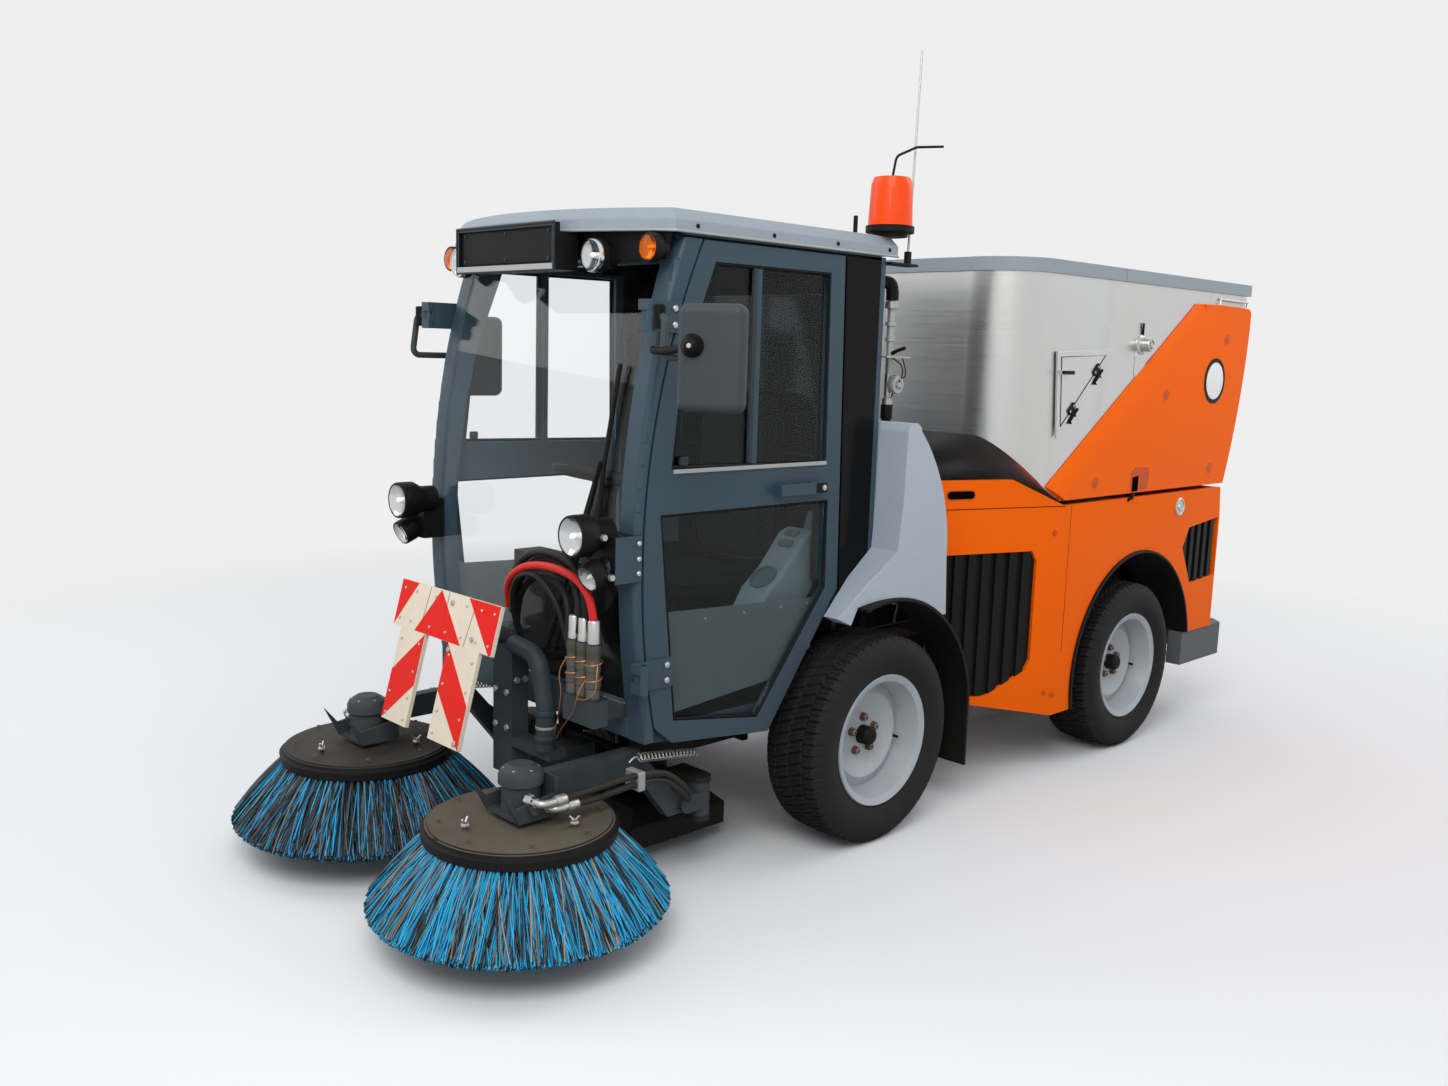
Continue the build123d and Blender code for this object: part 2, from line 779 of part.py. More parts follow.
def rear_frame():
    """Ladder frame with the hinge clevis and the posts of the hopper's hinge."""
    half = RAIL_T / 2
    head_y = PIVOT_Y + PIVOT_EYE_R + OVERRUN
    tail_y = BODY_REAR_Y - OVERRUN
    frame = None
    for x in (RAIL_X, -RAIL_X):
        rail = block((x - half, x + half), (head_y, tail_y), (FRAME_Z, FRAME_TOP_Z))
        frame = rail if frame is None else frame + rail
    for y in (head_y + half, WHEELBASE - RAIL_X, WHEELBASE + RAIL_X, tail_y - half):
        frame += block((-RAIL_X, RAIL_X), (y - half, y + half), (FRAME_Z, FRAME_TOP_Z))
    for z in (FRAME_Z - CLEVIS_GAP - CLEVIS_T, FRAME_TOP_Z + CLEVIS_GAP):
        eye_x = (-PIVOT_EYE_R, PIVOT_EYE_R)
        frame += block(eye_x, (PIVOT_Y, head_y + RAIL_T), (z, z + CLEVIS_T))
        frame += upright(0, PIVOT_Y, z, z + CLEVIS_T, PIVOT_EYE_R)
        web_z = (z, z + CLEVIS_T + CLEVIS_GAP) if z < FRAME_Z else (z - CLEVIS_GAP, z + CLEVIS_T)
        frame += block(eye_x, (head_y, head_y + RAIL_T), web_z)
    reach = CLEVIS_GAP + CLEVIS_T
    frame += upright(0, PIVOT_Y, FRAME_Z - reach, FRAME_TOP_Z + reach, PIVOT_PIN_R)
    for side in (1, -1):
        for piece in hopper_post(side):
            frame += piece
    return frame


def hopper_post(side):
    """One post of the hopper's hinge: upright, arm, lug, pin and tie."""
    x = side * (RAIL_X + RAIL_T * 3)
    half = RAIL_T / 2
    post_y = BODY_REAR_TOP_Y - BODY_WALL - NEAR_GAP * 10 - POST_DEPTH
    span = (post_y, post_y + POST_DEPTH)
    arm_top = HOPPER_BOTTOM_Z - CLEAR
    notch_z = TAIL_NOTCH_Z + CLEAR
    post = block((x - RAIL_T, x + RAIL_T), span, (FRAME_Z, arm_top))
    tie = block(sorted((side * RAIL_X, x)), span, (FRAME_Z, FRAME_TOP_Z))
    arm_face = outline(
        (post_y, notch_z),
        (TIP_PIVOT_Y - TIP_PIN_R * 3, notch_z),
        (TIP_PIVOT_Y + TIP_PIN_R, TIP_PIVOT_Z),
        (TIP_PIVOT_Y - TIP_PIN_R * 2, TIP_PIVOT_Z),
        (TIP_PIVOT_Y - TIP_PIN_R * 4, arm_top),
        (post_y, arm_top),
    )
    arm = side_prism(arm_face, x - half, x + half)
    lug = crossbar(x - half, x + half, TIP_PIVOT_Y, TIP_PIVOT_Z, TIP_LUG_R)
    pin = crossbar(x - TIP_PIN_REACH, x + TIP_PIN_REACH, TIP_PIVOT_Y, TIP_PIVOT_Z, TIP_PIN_R)
    return post, arm, lug, pin, tie


def tow_jaw():
    """Rear towing jaw: two cheeks with a vertical pin bore through both."""
    back_y, half = BODY_REAR_Y - OVERRUN, TOW_BORE_R * TOW_JAW_W_SHARE / 2
    thick = TOW_BORE_R * TOW_CHEEK_SHARE
    low = BUMPER_Z + TOW_BORE_R
    high = low + thick * TOW_JAW_W_SHARE
    jaw = block((-half, half), (back_y, back_y + thick), (low, high))
    for z in (low, high - thick):
        jaw += block((-half, half), (back_y, TOW_Y + TOW_BORE_R * 2), (z, z + thick))
    return jaw - upright(0, TOW_Y, low - OVERRUN, high + OVERRUN, TOW_BORE_R)


def nose_arc(shift=0):
    """Foot, middle and head of the cab's front curve, moved back by a distance."""
    return [(y + shift, z) for y, z in (NOSE_FOOT, NOSE_WAIST, NOSE_HEAD)]


def door_arc(shift=0):
    """Foot, middle and head of the door's front edge, moved back by a distance."""
    return [(y + shift, z) for y, z in (DOOR_FOOT, DOOR_WAIST, DOOR_HEAD)]


def cab_pillars():
    """Left front pillar with its door flange and the head rail."""
    foot, mid, head = nose_arc()
    back_foot, back_mid, back_head = door_arc(-DOOR_GAP)
    skin = outline(
        foot,
        (mid, head),
        (back_head[0], CAB_EAVES_Z - DOOR_GAP),
        back_head,
        (back_mid, back_foot),
        (foot[0] + FLANGE_IN, CAB_FLOOR_Z),
        (foot[0], CAB_FLOOR_Z),
    )
    pillar = side_prism(skin, PILLAR_IN_X, DOOR_X)
    outer = [
        edge
        for edge in pillar.edges().filter_by(GeomType.CIRCLE)
        if edge.center().X > (PILLAR_IN_X + DOOR_X) / 2
    ]
    nose_edge = min(outer, key=lambda edge: edge.center().Y)
    pillar = fillet([nose_edge], PILLAR_ROUND_R)
    in_foot, in_mid, in_head = door_arc(FLANGE_IN)
    flange = outline(
        foot,
        (mid, head),
        (in_head[0], CAB_EAVES_Z - DOOR_GAP),
        in_head,
        (in_mid, in_foot),
        (in_foot[0], CAB_FLOOR_Z),
        (foot[0], CAB_FLOOR_Z),
    )
    inside = DOOR_X - DOOR_T - DOOR_GAP
    pillar += side_prism(flange, PILLAR_IN_X, inside)
    along = (NOSE_HEAD[0], CAB_REAR_Y - CAB_WALL)
    rail = block((inside - FLANGE_T, inside), along, (CAB_EAVES_Z - FLANGE_T * 2, CAB_EAVES_Z))
    cap_z = (DOOR_TAIL[1] + DOOR_GAP, CAB_EAVES_Z + DOOR_GAP)
    return pillar + rail + block((inside, DOOR_X), along, cap_z)


def cab_head():
    """The cross rail over the windscreen, between the two pillars."""
    y, low = NOSE_HEAD[0], SCREEN_TOP_Z + CLEAR
    face = outline(
        (y - FLANGE_T, low),
        (y + FLANGE_IN, low),
        (y + FLANGE_IN, CAB_EAVES_Z),
        (y - OVERRUN / 8, CAB_EAVES_Z),
    )
    return side_prism(face, -PILLAR_IN_X, PILLAR_IN_X)


def cab_floor():
    """Floor pan with a front beam, sills and the boxes over the front wheels."""
    foot_y = NOSE_FOOT[0]
    low, high = CAB_FLOOR_Z, CAB_FLOOR_Z + CAB_FLOOR_T
    heel_y, knee_y, knee_z = DOOR_HEEL[0], DOOR_KNEE[0], DOOR_KNEE[1]
    inner = DOOR_X - DOOR_T - DOOR_GAP
    sill_y = DOOR_FOOT[0] + FLANGE_IN + NEAR_GAP
    front_x = PILLAR_IN_X - NEAR_GAP
    rear_y = CAB_REAR_Y - CAB_WALL
    floor = block((-inner, inner), (sill_y, heel_y), (low, high))
    floor += block((-front_x, front_x), (foot_y, sill_y), (low, high))
    floor += block((-WHEEL_BOX_X, WHEEL_BOX_X), (heel_y, rear_y), (low, high))
    floor += block((-front_x, front_x), (foot_y, foot_y + FLANGE_IN), (low, FRONT_BEAM_Z))
    sill = outline(
        (sill_y, low),
        (sill_y, high),
        (heel_y, high),
        (heel_y, CAB_SILL_Z + CLEAR),
        (sill_y, CAB_SILL_Z + OVERRUN),
    )
    slope = outline(
        (heel_y, low),
        (heel_y + FLANGE_T, low),
        (knee_y + FLANGE_T, knee_z),
        (rear_y, knee_z),
        (rear_y, knee_z + FLANGE_T),
        (knee_y, knee_z + FLANGE_T),
        (heel_y, high + FLANGE_T),
    )
    wall = outline(
        (heel_y, low),
        (rear_y, low),
        (rear_y, knee_z + FLANGE_T),
        (knee_y, knee_z + FLANGE_T),
        (heel_y, high + FLANGE_T),
    )
    for side in (1, -1):
        floor += side_prism(sill, *sorted((side * (inner - FLANGE_T), side * inner)))
        floor += side_prism(slope, *sorted((side * WHEEL_BOX_X, side * inner)))
        wall_in = WHEEL_BOX_X - FLANGE_T / 2
        floor += side_prism(wall, *sorted((side * wall_in, side * WHEEL_BOX_X)))
    return floor


def cab_rear_wall():
    """Rear wall with its window cut, and the corner posts beside the quarters."""
    y_in, y_out = CAB_REAR_Y - CAB_WALL, CAB_REAR_Y
    shelf_z = DOOR_KNEE[1] + FLANGE_T
    wall = block((-DOOR_X, DOOR_X), (y_in, y_out), (shelf_z, CAB_EAVES_Z))
    wall += block((-WHEEL_BOX_X, WHEEL_BOX_X), (y_in, y_out), (CAB_FLOOR_Z, shelf_z))
    half = DOOR_X - REAR_WINDOW_SIDE
    window_z = (REAR_WINDOW_LOW_Z, REAR_WINDOW_TOP_Z)
    wall -= block((-half, half), (y_in - OVERRUN, y_out + OVERRUN), window_z)
    inner = DOOR_X - DOOR_T - DOOR_GAP
    post_z = (shelf_z + NEAR_GAP, CAB_EAVES_Z - FLANGE_T * 2 - NEAR_GAP)
    post = block((inner - FLANGE_T, inner), (DOOR_TAIL[0] - FLANGE_IN, y_in), post_z)
    return wall + post + mirror(post, about=Plane.YZ)


def quarter_panel():
    """Gloss black panel between the left door and the cab's rear wall."""
    rear = CAB_REAR_Y - CAB_WALL - NEAR_GAP
    face = outline(
        (DOOR_TAIL[0] + DOOR_GAP, DOOR_TAIL[1]),
        (rear, DOOR_TAIL[1]),
        (rear, DOOR_KNEE[1] + FLANGE_T * 2),
        (DOOR_KNEE[0] + DOOR_GAP, DOOR_KNEE[1]),
    )
    return side_prism(face, DOOR_X - DOOR_T - DOOR_GAP + NEAR_GAP, DOOR_X)


def rear_window():
    """The pane in the cab's rear wall."""
    half = DOOR_X - REAR_WINDOW_SIDE - SCREEN_GAP
    mid = CAB_REAR_Y - CAB_WALL / 2
    pane_z = (REAR_WINDOW_LOW_Z + SCREEN_GAP, REAR_WINDOW_TOP_Z - SCREEN_GAP)
    return block((-half, half), (mid - GLASS_T / 2, mid + GLASS_T / 2), pane_z)


def windscreen():
    """One curved pane between the pillars, from the front beam to the head rail."""
    foot, mid, head = nose_arc(1)
    back_foot, back_mid, back_head = nose_arc(1 + SCREEN_T)
    face = outline(foot, (mid, head), back_head, (back_mid, back_foot))
    pane = side_prism(face, -PILLAR_IN_X + SCREEN_GAP, PILLAR_IN_X - SCREEN_GAP)
    window_z = (FRONT_BEAM_Z + SCREEN_GAP, SCREEN_TOP_Z + CLEAR - SCREEN_GAP)
    return pane & block((-DOOR_X, DOOR_X), (NOSE_WAIST[0] - OVERRUN, 0), window_z)


def roof_plan(grow=0):
    """The roof's outline from above: a bowed front and square rear corners."""
    side = DOOR_X + ROOF_OVERHANG + grow
    return outline(
        (side, ROOF_CORNER_Y - grow),
        (side, ROOF_REAR_Y + grow),
        (-side, ROOF_REAR_Y + grow),
        (-side, ROOF_CORNER_Y - grow),
        ((0, ROOF_NOSE_Y - grow), (side, ROOF_CORNER_Y - grow)),
    )


def cab_roof():
    """Moulded roof cap: a shallow tray upside down, with a bevelled top edge."""
    low = CAB_EAVES_Z + DOOR_GAP + NEAR_GAP
    bevel_z = ROOF_TOP_Z - ROOF_BEVEL_H
    slant = degrees(atan2(ROOF_BEVEL_IN, ROOF_BEVEL_H))
    cap = plan_prism(roof_plan(), low, bevel_z)
    cap += extrude(Pos(0, 0, bevel_z) * roof_plan(), ROOF_BEVEL_H, taper=slant)
    hollow = plan_prism(roof_plan(-ROOF_SKIN), low - OVERRUN, ROOF_TOP_Z - ROOF_SKIN)
    rest_y = (NOSE_HEAD[0], CAB_REAR_Y)
    rest = block((-DOOR_X, DOOR_X), rest_y, (low, ROOF_TOP_Z - ROOF_SKIN / 2))
    return cap - (hollow - (rest & hollow))


def lamp_panel():
    """Bowed panel under the roof's brow, with a hole for each lamp's neck."""
    low, top = SCREEN_TOP_Z + CLEAR * 2, CAB_EAVES_Z + DOOR_GAP
    side, back = DOOR_X - BROW_SIDE, NOSE_HEAD[0] - FLANGE_T - CLEAR
    front, corner = ROOF_NOSE_Y + BROW_SET_BACK, ROOF_CORNER_Y - CLEAR
    face = outline(
        (side, corner),
        (side, back),
        (-side, back),
        (-side, corner),
        ((0, front), (side, corner)),
    )
    panel = plan_prism(face, low, top)
    work, side_lamp = (WORK_LAMP, WORK_LAMP_R, WORK_LAMP_D), (INDICATOR, INDICATOR_R, INDICATOR_D)
    for (x, y, z), radius, depth in (work, side_lamp):
        neck = rod((x, y, z), (x, back + OVERRUN, z), radius * LAMP_NECK_SHARE + NEAR_GAP)
        seat_y = y + depth * LAMP_WAIST_SHARES[1] + NEAR_GAP
        neck += rod((x, y - OVERRUN, z), (x, seat_y, z), radius + NEAR_GAP)
        for hole in both(neck):
            panel -= hole
    return panel


def plate_box():
    """Open fronted frame on the middle of the brow, with a board inside it."""
    x_span = (PLATE_X - PLATE_W / 2, PLATE_X + PLATE_W / 2)
    z_span = (PLATE_Z - PLATE_H / 2, PLATE_Z + PLATE_H / 2)
    box = block(x_span, (PLATE_Y, PLATE_Y + PLATE_D), z_span)
    pocket_x = (x_span[0] + PLATE_FRAME, x_span[1] - PLATE_FRAME)
    pocket_z = (z_span[0] + PLATE_FRAME, z_span[1] - PLATE_FRAME)
    box -= block(pocket_x, (PLATE_Y - OVERRUN, PLATE_Y + PLATE_D / 2), pocket_z)
    back_y = (PLATE_Y + PLATE_D, ROOF_NOSE_Y + BROW_SET_BACK + PLATE_SINK)
    return box + block(x_span, back_y, (z_span[0], CAB_EAVES_Z))


def lamp(place, radius, depth, turn=(0, 0, 0)):
    """A round lamp that faces forward: lens ring, bowl and neck."""
    waist, neck = LAMP_WAIST_SHARES
    profile = [
        (0, 0),
        (0, radius),
        (depth * waist, radius),
        (depth * neck, radius * LAMP_NECK_SHARE),
        (depth, radius * LAMP_NECK_SHARE),
        (depth, 0),
    ]
    body = revolve(make_face(Polyline(*profile, close=True)), Axis.X)
    return Pos(*place) * Rot(*turn) * Rot(0, 0, 90) * body


def headlamps():
    """Two lamps a side on a box bracket that is bolted to the pillar."""
    upper_place = (DOOR_X - LAMP_X_IN, LAMP_Y, LAMP_Z)
    lower_place = (DOOR_X - LOW_LAMP_X_IN, LOW_LAMP_Y, LOW_LAMP_Z)
    upper = lamp(upper_place, LAMP_R, LAMP_R * 2)
    lower = lamp(lower_place, LOW_LAMP_R, LOW_LAMP_R * 2, (LOW_LAMP_TURN, 0, 0))
    foot_z = LOW_LAMP_Z - LOW_LAMP_R / 2
    bracket_x = (DOOR_X - LAMP_BRACKET_IN, DOOR_X + CLEAR)
    bracket_y = (LAMP_Y + LAMP_R * LAMP_BRACKET_SHARE, NOSE_WAIST[0] - NEAR_GAP)
    bracket = block(bracket_x, bracket_y, (foot_z, LAMP_Z))
    strap_y = (NOSE_WAIST[0] - OVERRUN, DOOR_WAIST[0] - DOOR_GAP * 2)
    strap = block((DOOR_X + NEAR_GAP, DOOR_X + CLEAR), strap_y, (foot_z, LAMP_Z))
    return both(upper + bracket + lower + strap)


def roof_lamps():
    """A work lamp and an indicator on each side of the brow."""
    work = lamp(WORK_LAMP, WORK_LAMP_R, WORK_LAMP_D)
    side = lamp(INDICATOR, INDICATOR_R, INDICATOR_D)
    return both(work) + both(side)


def seat():
    """Base box, cushion and reclined back of the driver's seat."""
    floor = CAB_FLOOR_Z + CAB_FLOOR_T + NEAR_GAP
    base_y = (SEAT_FRONT_Y + SEAT_BASE_IN * 2, SEAT_REAR_Y - SEAT_BASE_IN)
    cushion_z = (floor + SEAT_BASE_H, floor + SEAT_BASE_H + CUSHION_H)
    base = block((-SEAT_BASE_HALF_W, SEAT_BASE_HALF_W), base_y, (floor, cushion_z[0]))
    cushion = block((-SEAT_HALF_W, SEAT_HALF_W), (SEAT_FRONT_Y, SEAT_REAR_Y), cushion_z)
    cushion = fillet(cushion.edges().filter_by(Axis.Z), CUSHION_R)
    foot_y = SEAT_REAR_Y + BACK_FOOT_OUT
    head_z = cushion_z[1] + BACK_H
    back = outline(
        (foot_y - BACK_T, cushion_z[1]),
        (foot_y, cushion_z[1]),
        (foot_y + BACK_LEAN, head_z - BACK_EDGE_R * 2),
        (foot_y + BACK_LEAN - BACK_TOP_T, head_z),
    )
    rest = side_prism(back, -BACK_HALF_W, BACK_HALF_W)
    top_edges = rest.edges().group_by(Axis.Z)[-1].filter_by(Axis.Y, reverse=True)
    return base + cushion + fillet(top_edges, BACK_EDGE_R)


def steering():
    """Column, binnacle and wheel."""
    floor = CAB_FLOOR_Z + CAB_FLOOR_T + NEAR_GAP
    hub_y, hub_z = STEER_HUB
    foot, head = (0, COLUMN_FOOT_Y, floor + COLUMN_R), (0, hub_y, hub_z)
    axis = Vector(*head) - Vector(*foot)
    hub = Plane(origin=head, z_dir=axis)
    wheel = hub * Torus(STEER_R, STEER_RIM_R)
    wheel += crossbar(-STEER_R, STEER_R, hub_y, hub_z, STEER_SPOKE_R)
    wheel += extrude(hub * Circle(STEER_BOSS_R), STEER_BOSS_H, dir=axis, both=True)
    binnacle_x = (-BINNACLE_HALF_W, BINNACLE_HALF_W)
    binnacle = block(binnacle_x, BINNACLE_Y, (BINNACLE_LOW_Z, BINNACLE_TOP_Z))
    return rod(foot, head, COLUMN_R) + wheel + binnacle


def console():
    """Moulded side consoles over the wheel boxes."""
    base_z = DOOR_KNEE[1] + FLANGE_T + NEAR_GAP
    front, rear = CONSOLE_Y
    face = outline(
        (front, base_z),
        (rear, base_z),
        (rear, base_z + CONSOLE_HEIGHTS[2]),
        (front + CONSOLE_NOSE, base_z + CONSOLE_HEIGHTS[1]),
        (front, base_z + CONSOLE_HEIGHTS[0]),
    )
    inner = DOOR_X - DOOR_T - DOOR_GAP - FLANGE_T - NEAR_GAP
    return both(side_prism(face, inner - CONSOLE_W, inner))


def wiper():
    """Two parallel arms on their bosses, and the blade that they carry."""
    x, y, z = WIPER_FOOT
    arm = rod(WIPER_FOOT, WIPER_HEAD, WIPER_R)
    arm += rod((x + WIPER_LINK_STEP, y, z), WIPER_KNEE, WIPER_LINK_R)
    for boss_x in (x, x + WIPER_LINK_STEP):
        arm += rod((boss_x, WIPER_BOSS_BACK_Y, z), (boss_x, y - WIPER_R, z), WIPER_BOSS_R)
    low, mid, high = WIPER_BLADE
    return arm + rod(low, mid, WIPER_R) + Pos(*mid) * Sphere(WIPER_R) + rod(mid, high, WIPER_R)


def door_face():
    """The door's outline in (y, z)."""
    foot, mid, head = door_arc()
    return outline(foot, (mid, head), DOOR_TAIL, DOOR_KNEE, DOOR_HEEL, DOOR_TOE)


def pane_face(points, shrink=0):
    """A window's outline, pulled in on all sides by a distance."""
    face = make_face(Polyline(*points, close=True))
    return offset(face, -shrink, kind=Kind.INTERSECTION) if shrink else face


def door_frame():
    """The left door's frame with its windows cut, kick panel and handle."""
    inner, outer = DOOR_X - DOOR_T, DOOR_X
    frame = side_prism(door_face(), inner, outer)
    frame -= side_prism(pane_face(UPPER_PANE), inner - OVERRUN, outer + OVERRUN)
    frame -= side_prism(pane_face(LOWER_PANE), inner - OVERRUN, outer + OVERRUN)
    bar_y = (PANE_SPLIT_Y - PANE_BAR / 2, PANE_SPLIT_Y + PANE_BAR / 2)
    bar_z = (UPPER_PANE[-1][1] - NEAR_GAP, UPPER_PANE[3][1] + NEAR_GAP)
    frame += block((inner + PANE_BAR_INSET, outer - PANE_BAR_INSET), bar_y, bar_z)
    frame += side_prism(outline(*KICK_PANEL), inner, inner + KICK_T)
    half = HANDLE_H / 2
    handle = block((outer, outer + HANDLE_OUT), HANDLE_Y, (HANDLE_Z - half, HANDLE_Z + half))
    grip_x = (outer - NEAR_GAP, outer + HANDLE_OUT - HANDLE_GRIP_T)
    grip_y = (HANDLE_Y[0] + HANDLE_ENDS[0], HANDLE_Y[1] - HANDLE_ENDS[1])
    handle -= block(grip_x, grip_y, (HANDLE_Z - OVERRUN, HANDLE_Z + OVERRUN))
    return frame + handle


def door_glass():
    """Three panes of the left door."""
    mid = DOOR_X - DOOR_T / 2
    low, high = mid - GLASS_T / 2, mid + GLASS_T / 2
    upper = side_prism(pane_face(UPPER_PANE, SCREEN_GAP), low, high)
    bar = PANE_BAR / 2 + SCREEN_GAP
    bar_y = (PANE_SPLIT_Y - bar, PANE_SPLIT_Y + bar)
    upper -= block((0, DOOR_X), bar_y, (CAB_FLOOR_Z, ROOF_TOP_Z))
    lower = side_prism(pane_face(LOWER_PANE, SCREEN_GAP), low, high)
    return [*upper.solids(), lower]


def hinge_leaf_door(z):
    """Door half of a hinge: a plate on the door and the middle knuckle."""
    half = (HINGE_H / 3 - NEAR_GAP) / 2
    plate_z = (z - HINGE_H / 2, z + HINGE_H / 2)
    plate = block((DOOR_X, DOOR_X + HINGE_LEAF_T), (HINGE_Y, HINGE_Y + HINGE_LEAF_W), plate_z)
    web_y = (HINGE_Y - HINGE_R / 2, HINGE_Y + HINGE_R / 2)
    web = block((DOOR_X, HINGE_X), web_y, (z - half, z + half))
    eye = upright(HINGE_X, HINGE_Y, z - half, z + half, HINGE_R)
    bore = upright(HINGE_X, HINGE_Y, z - HINGE_H, z + HINGE_H, HINGE_PIN_R + RUNNING_GAP)
    return plate + (web + eye - bore)


def hinge_pillar_side(z):
    """Pillar half of a hinge: two outer knuckles with their webs, and the pin."""
    third = HINGE_H / 3
    pieces = [upright(HINGE_X, HINGE_Y, z - HINGE_H / 2, z + HINGE_H / 2, HINGE_PIN_R)]
    for low in (z - HINGE_H / 2, z + third / 2):
        ring = upright(HINGE_X, HINGE_Y, low, low + third, HINGE_R)
        web_x = (DOOR_X - CLEAR, HINGE_X)
        web = block(web_x, (HINGE_Y - HINGE_R, HINGE_Y), (low, low + third))
        pieces.append(ring + web)
    return pieces


def mirror_shell(place, turn):
    """A mirror's rounded shell."""
    head = Pos(*place) * Rot(0, 0, turn) * Box(MIRROR_W, MIRROR_D, MIRROR_H)
    return fillet(head.edges(), MIRROR_R)


def mirror_arm(end):
    """The bent arm from the left door's upper hinge out to a mirror's shell."""
    root_x, z = HINGE_X + HINGE_R + NEAR_GAP, HINGE_ZS[1]
    knee_x = root_x + OVERRUN
    points = [
        (root_x, HINGE_Y, z),
        (knee_x, HINGE_Y, z),
        (knee_x + CLEAR * 2, HINGE_Y - CLEAR * 2, end[2]),
        end,
    ]
    return pipe(points, [MIRROR_ARM_BEND, MIRROR_ARM_BEND], MIRROR_ARM_R)


def mirrors():
    """The left mirror swung out, and the right one folded back on its door."""
    out_x = DOOR_X + MIRROR_OUT
    left = mirror_shell((out_x, MIRROR_Y, MIRROR_Z), MIRROR_TURN)
    left += mirror_arm((out_x - MIRROR_D / 2, MIRROR_Y, MIRROR_Z))
    fold_x = DOOR_X + FOLDED_MIRROR_OUT
    folded = mirror_shell((fold_x, FOLDED_MIRROR_Y, FOLDED_MIRROR_Z), 90)
    folded += mirror_arm((fold_x, FOLDED_MIRROR_Y, FOLDED_MIRROR_Z))
    return left, mirror(folded, about=Plane.YZ)


def doors():
    """Left and right doors with their hinges, glass and mirrors."""
    frame, glass = door_frame(), door_glass()
    pillar_side = []
    for z in HINGE_ZS:
        frame = frame + hinge_leaf_door(z)
        pillar_side.extend(hinge_pillar_side(z))
    left_mirror, right_mirror = mirrors()
    keep("door_left", frame)
    keep("door_right", mirror(frame, about=Plane.YZ))
    keep("door_glass_left", glass)
    keep("door_glass_right", [mirror(pane, about=Plane.YZ) for pane in glass])
    keep("mirror_left", left_mirror)
    keep("mirror_right", right_mirror)
    return pillar_side


def front_fenders():
    """Silver shoulders behind the doors, hollow over the wheels."""
    arch_r = GUARD_R + NEAR_GAP
    toe_z = GUARD_Z + sqrt(arch_r * arch_r - FENDER_TOE_Y * FENDER_TOE_Y)
    heel_y = FENDER_BACK[1][0] - CLEAR
    heel_z = GUARD_Z + sqrt(arch_r * arch_r - heel_y * heel_y)
    face = outline(
        *FENDER_NOSE,
        FENDER_HEAD,
        FENDER_BACK,
        (FENDER_HEEL_Y, heel_z),
        (heel_y, heel_z),
        ((0, GUARD_Z + arch_r), (FENDER_TOE_Y, toe_z)),
        (FENDER_NOSE[0][0] + GUARD_T * 4, FENDER_NOSE[0][1] - FENDER_TOE_DROP),
    )
    inner = DOOR_X - FENDER_IN
    shell = side_prism(face, inner, HALF_WIDTH)
    tall = (FENDER_NOSE[0][1] - FENDER_REACH, ROOF_TOP_Z)
    shell -= block((0, DOOR_X + 1), (DOOR_HEEL[0], CAB_REAR_Y + NEAR_GAP), tall)
    run = FENDER_FULL_Y - FENDER_TOE_END_Y
    bow_r = (FENDER_TOE_X_IN ** 2 + run ** 2) / (2 * FENDER_TOE_X_IN)
    half = asin(run / bow_r) / 2
    bow = (HALF_WIDTH - bow_r * (1 - cos(half)), FENDER_FULL_Y - bow_r * sin(half))
    plan = outline(
        (0, FENDER_TOE_END_Y),
        (HALF_WIDTH - FENDER_TOE_X_IN, FENDER_TOE_END_Y),
        (bow, (HALF_WIDTH, FENDER_FULL_Y)),
        (HALF_WIDTH, FENDER_FULL_Y + run),
        (0, FENDER_FULL_Y + run),
    )
    return both(shell & plan_prism(plan, *tall))


def front_mudguards():
    """Black arch strips over the front wheels, with a flap behind each."""
    inner_r = GUARD_R - GUARD_T
    start, end = (radians(angle) for angle in GUARD_ANGLES)
    mid = (start + end) / 2

    def on(radius, angle):
        return radius * cos(angle), GUARD_Z + radius * sin(angle)

    face = outline(
        on(inner_r, start),
        (on(inner_r, mid), on(inner_r, end)),
        (inner_r * cos(end), GUARD_FOOT_Z),
        (GUARD_R * cos(end), GUARD_FOOT_Z),
        on(GUARD_R, end),
        (on(GUARD_R, mid), on(GUARD_R, start)),
    )
    return both(side_prism(face, HALF_WIDTH - GUARD_W, HALF_WIDTH + GUARD_OUT))


def broom_carrier():
    """Cross beam under the cab, with a pivot post at each end."""
    end_x, ear_x = ARM_PIVOT_X - CARRIER_CHEEK_IN, ARM_PIVOT_X - CARRIER_EAR_IN
    foot_z = BEAM_LOW_Z - CARRIER_CHEEK_T
    head_z = BEAM_TOP_Z + CARRIER_CHEEK_T
    beam = block((-end_x, end_x), CARRIER_Y, (BEAM_LOW_Z, BEAM_TOP_Z))
    saddle_x = RAIL_X + OVERRUN
    beam += block((-saddle_x, saddle_x), CARRIER_Y, (BEAM_TOP_Z, FRAME_Z - NEAR_GAP))
    ear_y = (ARM_PIVOT_Y - CARRIER_EAR_R, ARM_PIVOT_Y + CARRIER_EAR_R)
    for side in (1, -1):
        x = side * ARM_PIVOT_X
        for z in (foot_z, head_z - EAR_T):
            beam += block(sorted((side * ear_x, x)), ear_y, (z, z + EAR_T))
            beam += upright(x, ARM_PIVOT_Y, z, z + EAR_T, CARRIER_EAR_R)
        beam += block(sorted((side * ear_x, side * end_x)), CARRIER_Y, (foot_z, head_z))
        beam += upright(x, ARM_PIVOT_Y, foot_z, head_z, ARM_PIN_R)
    return beam


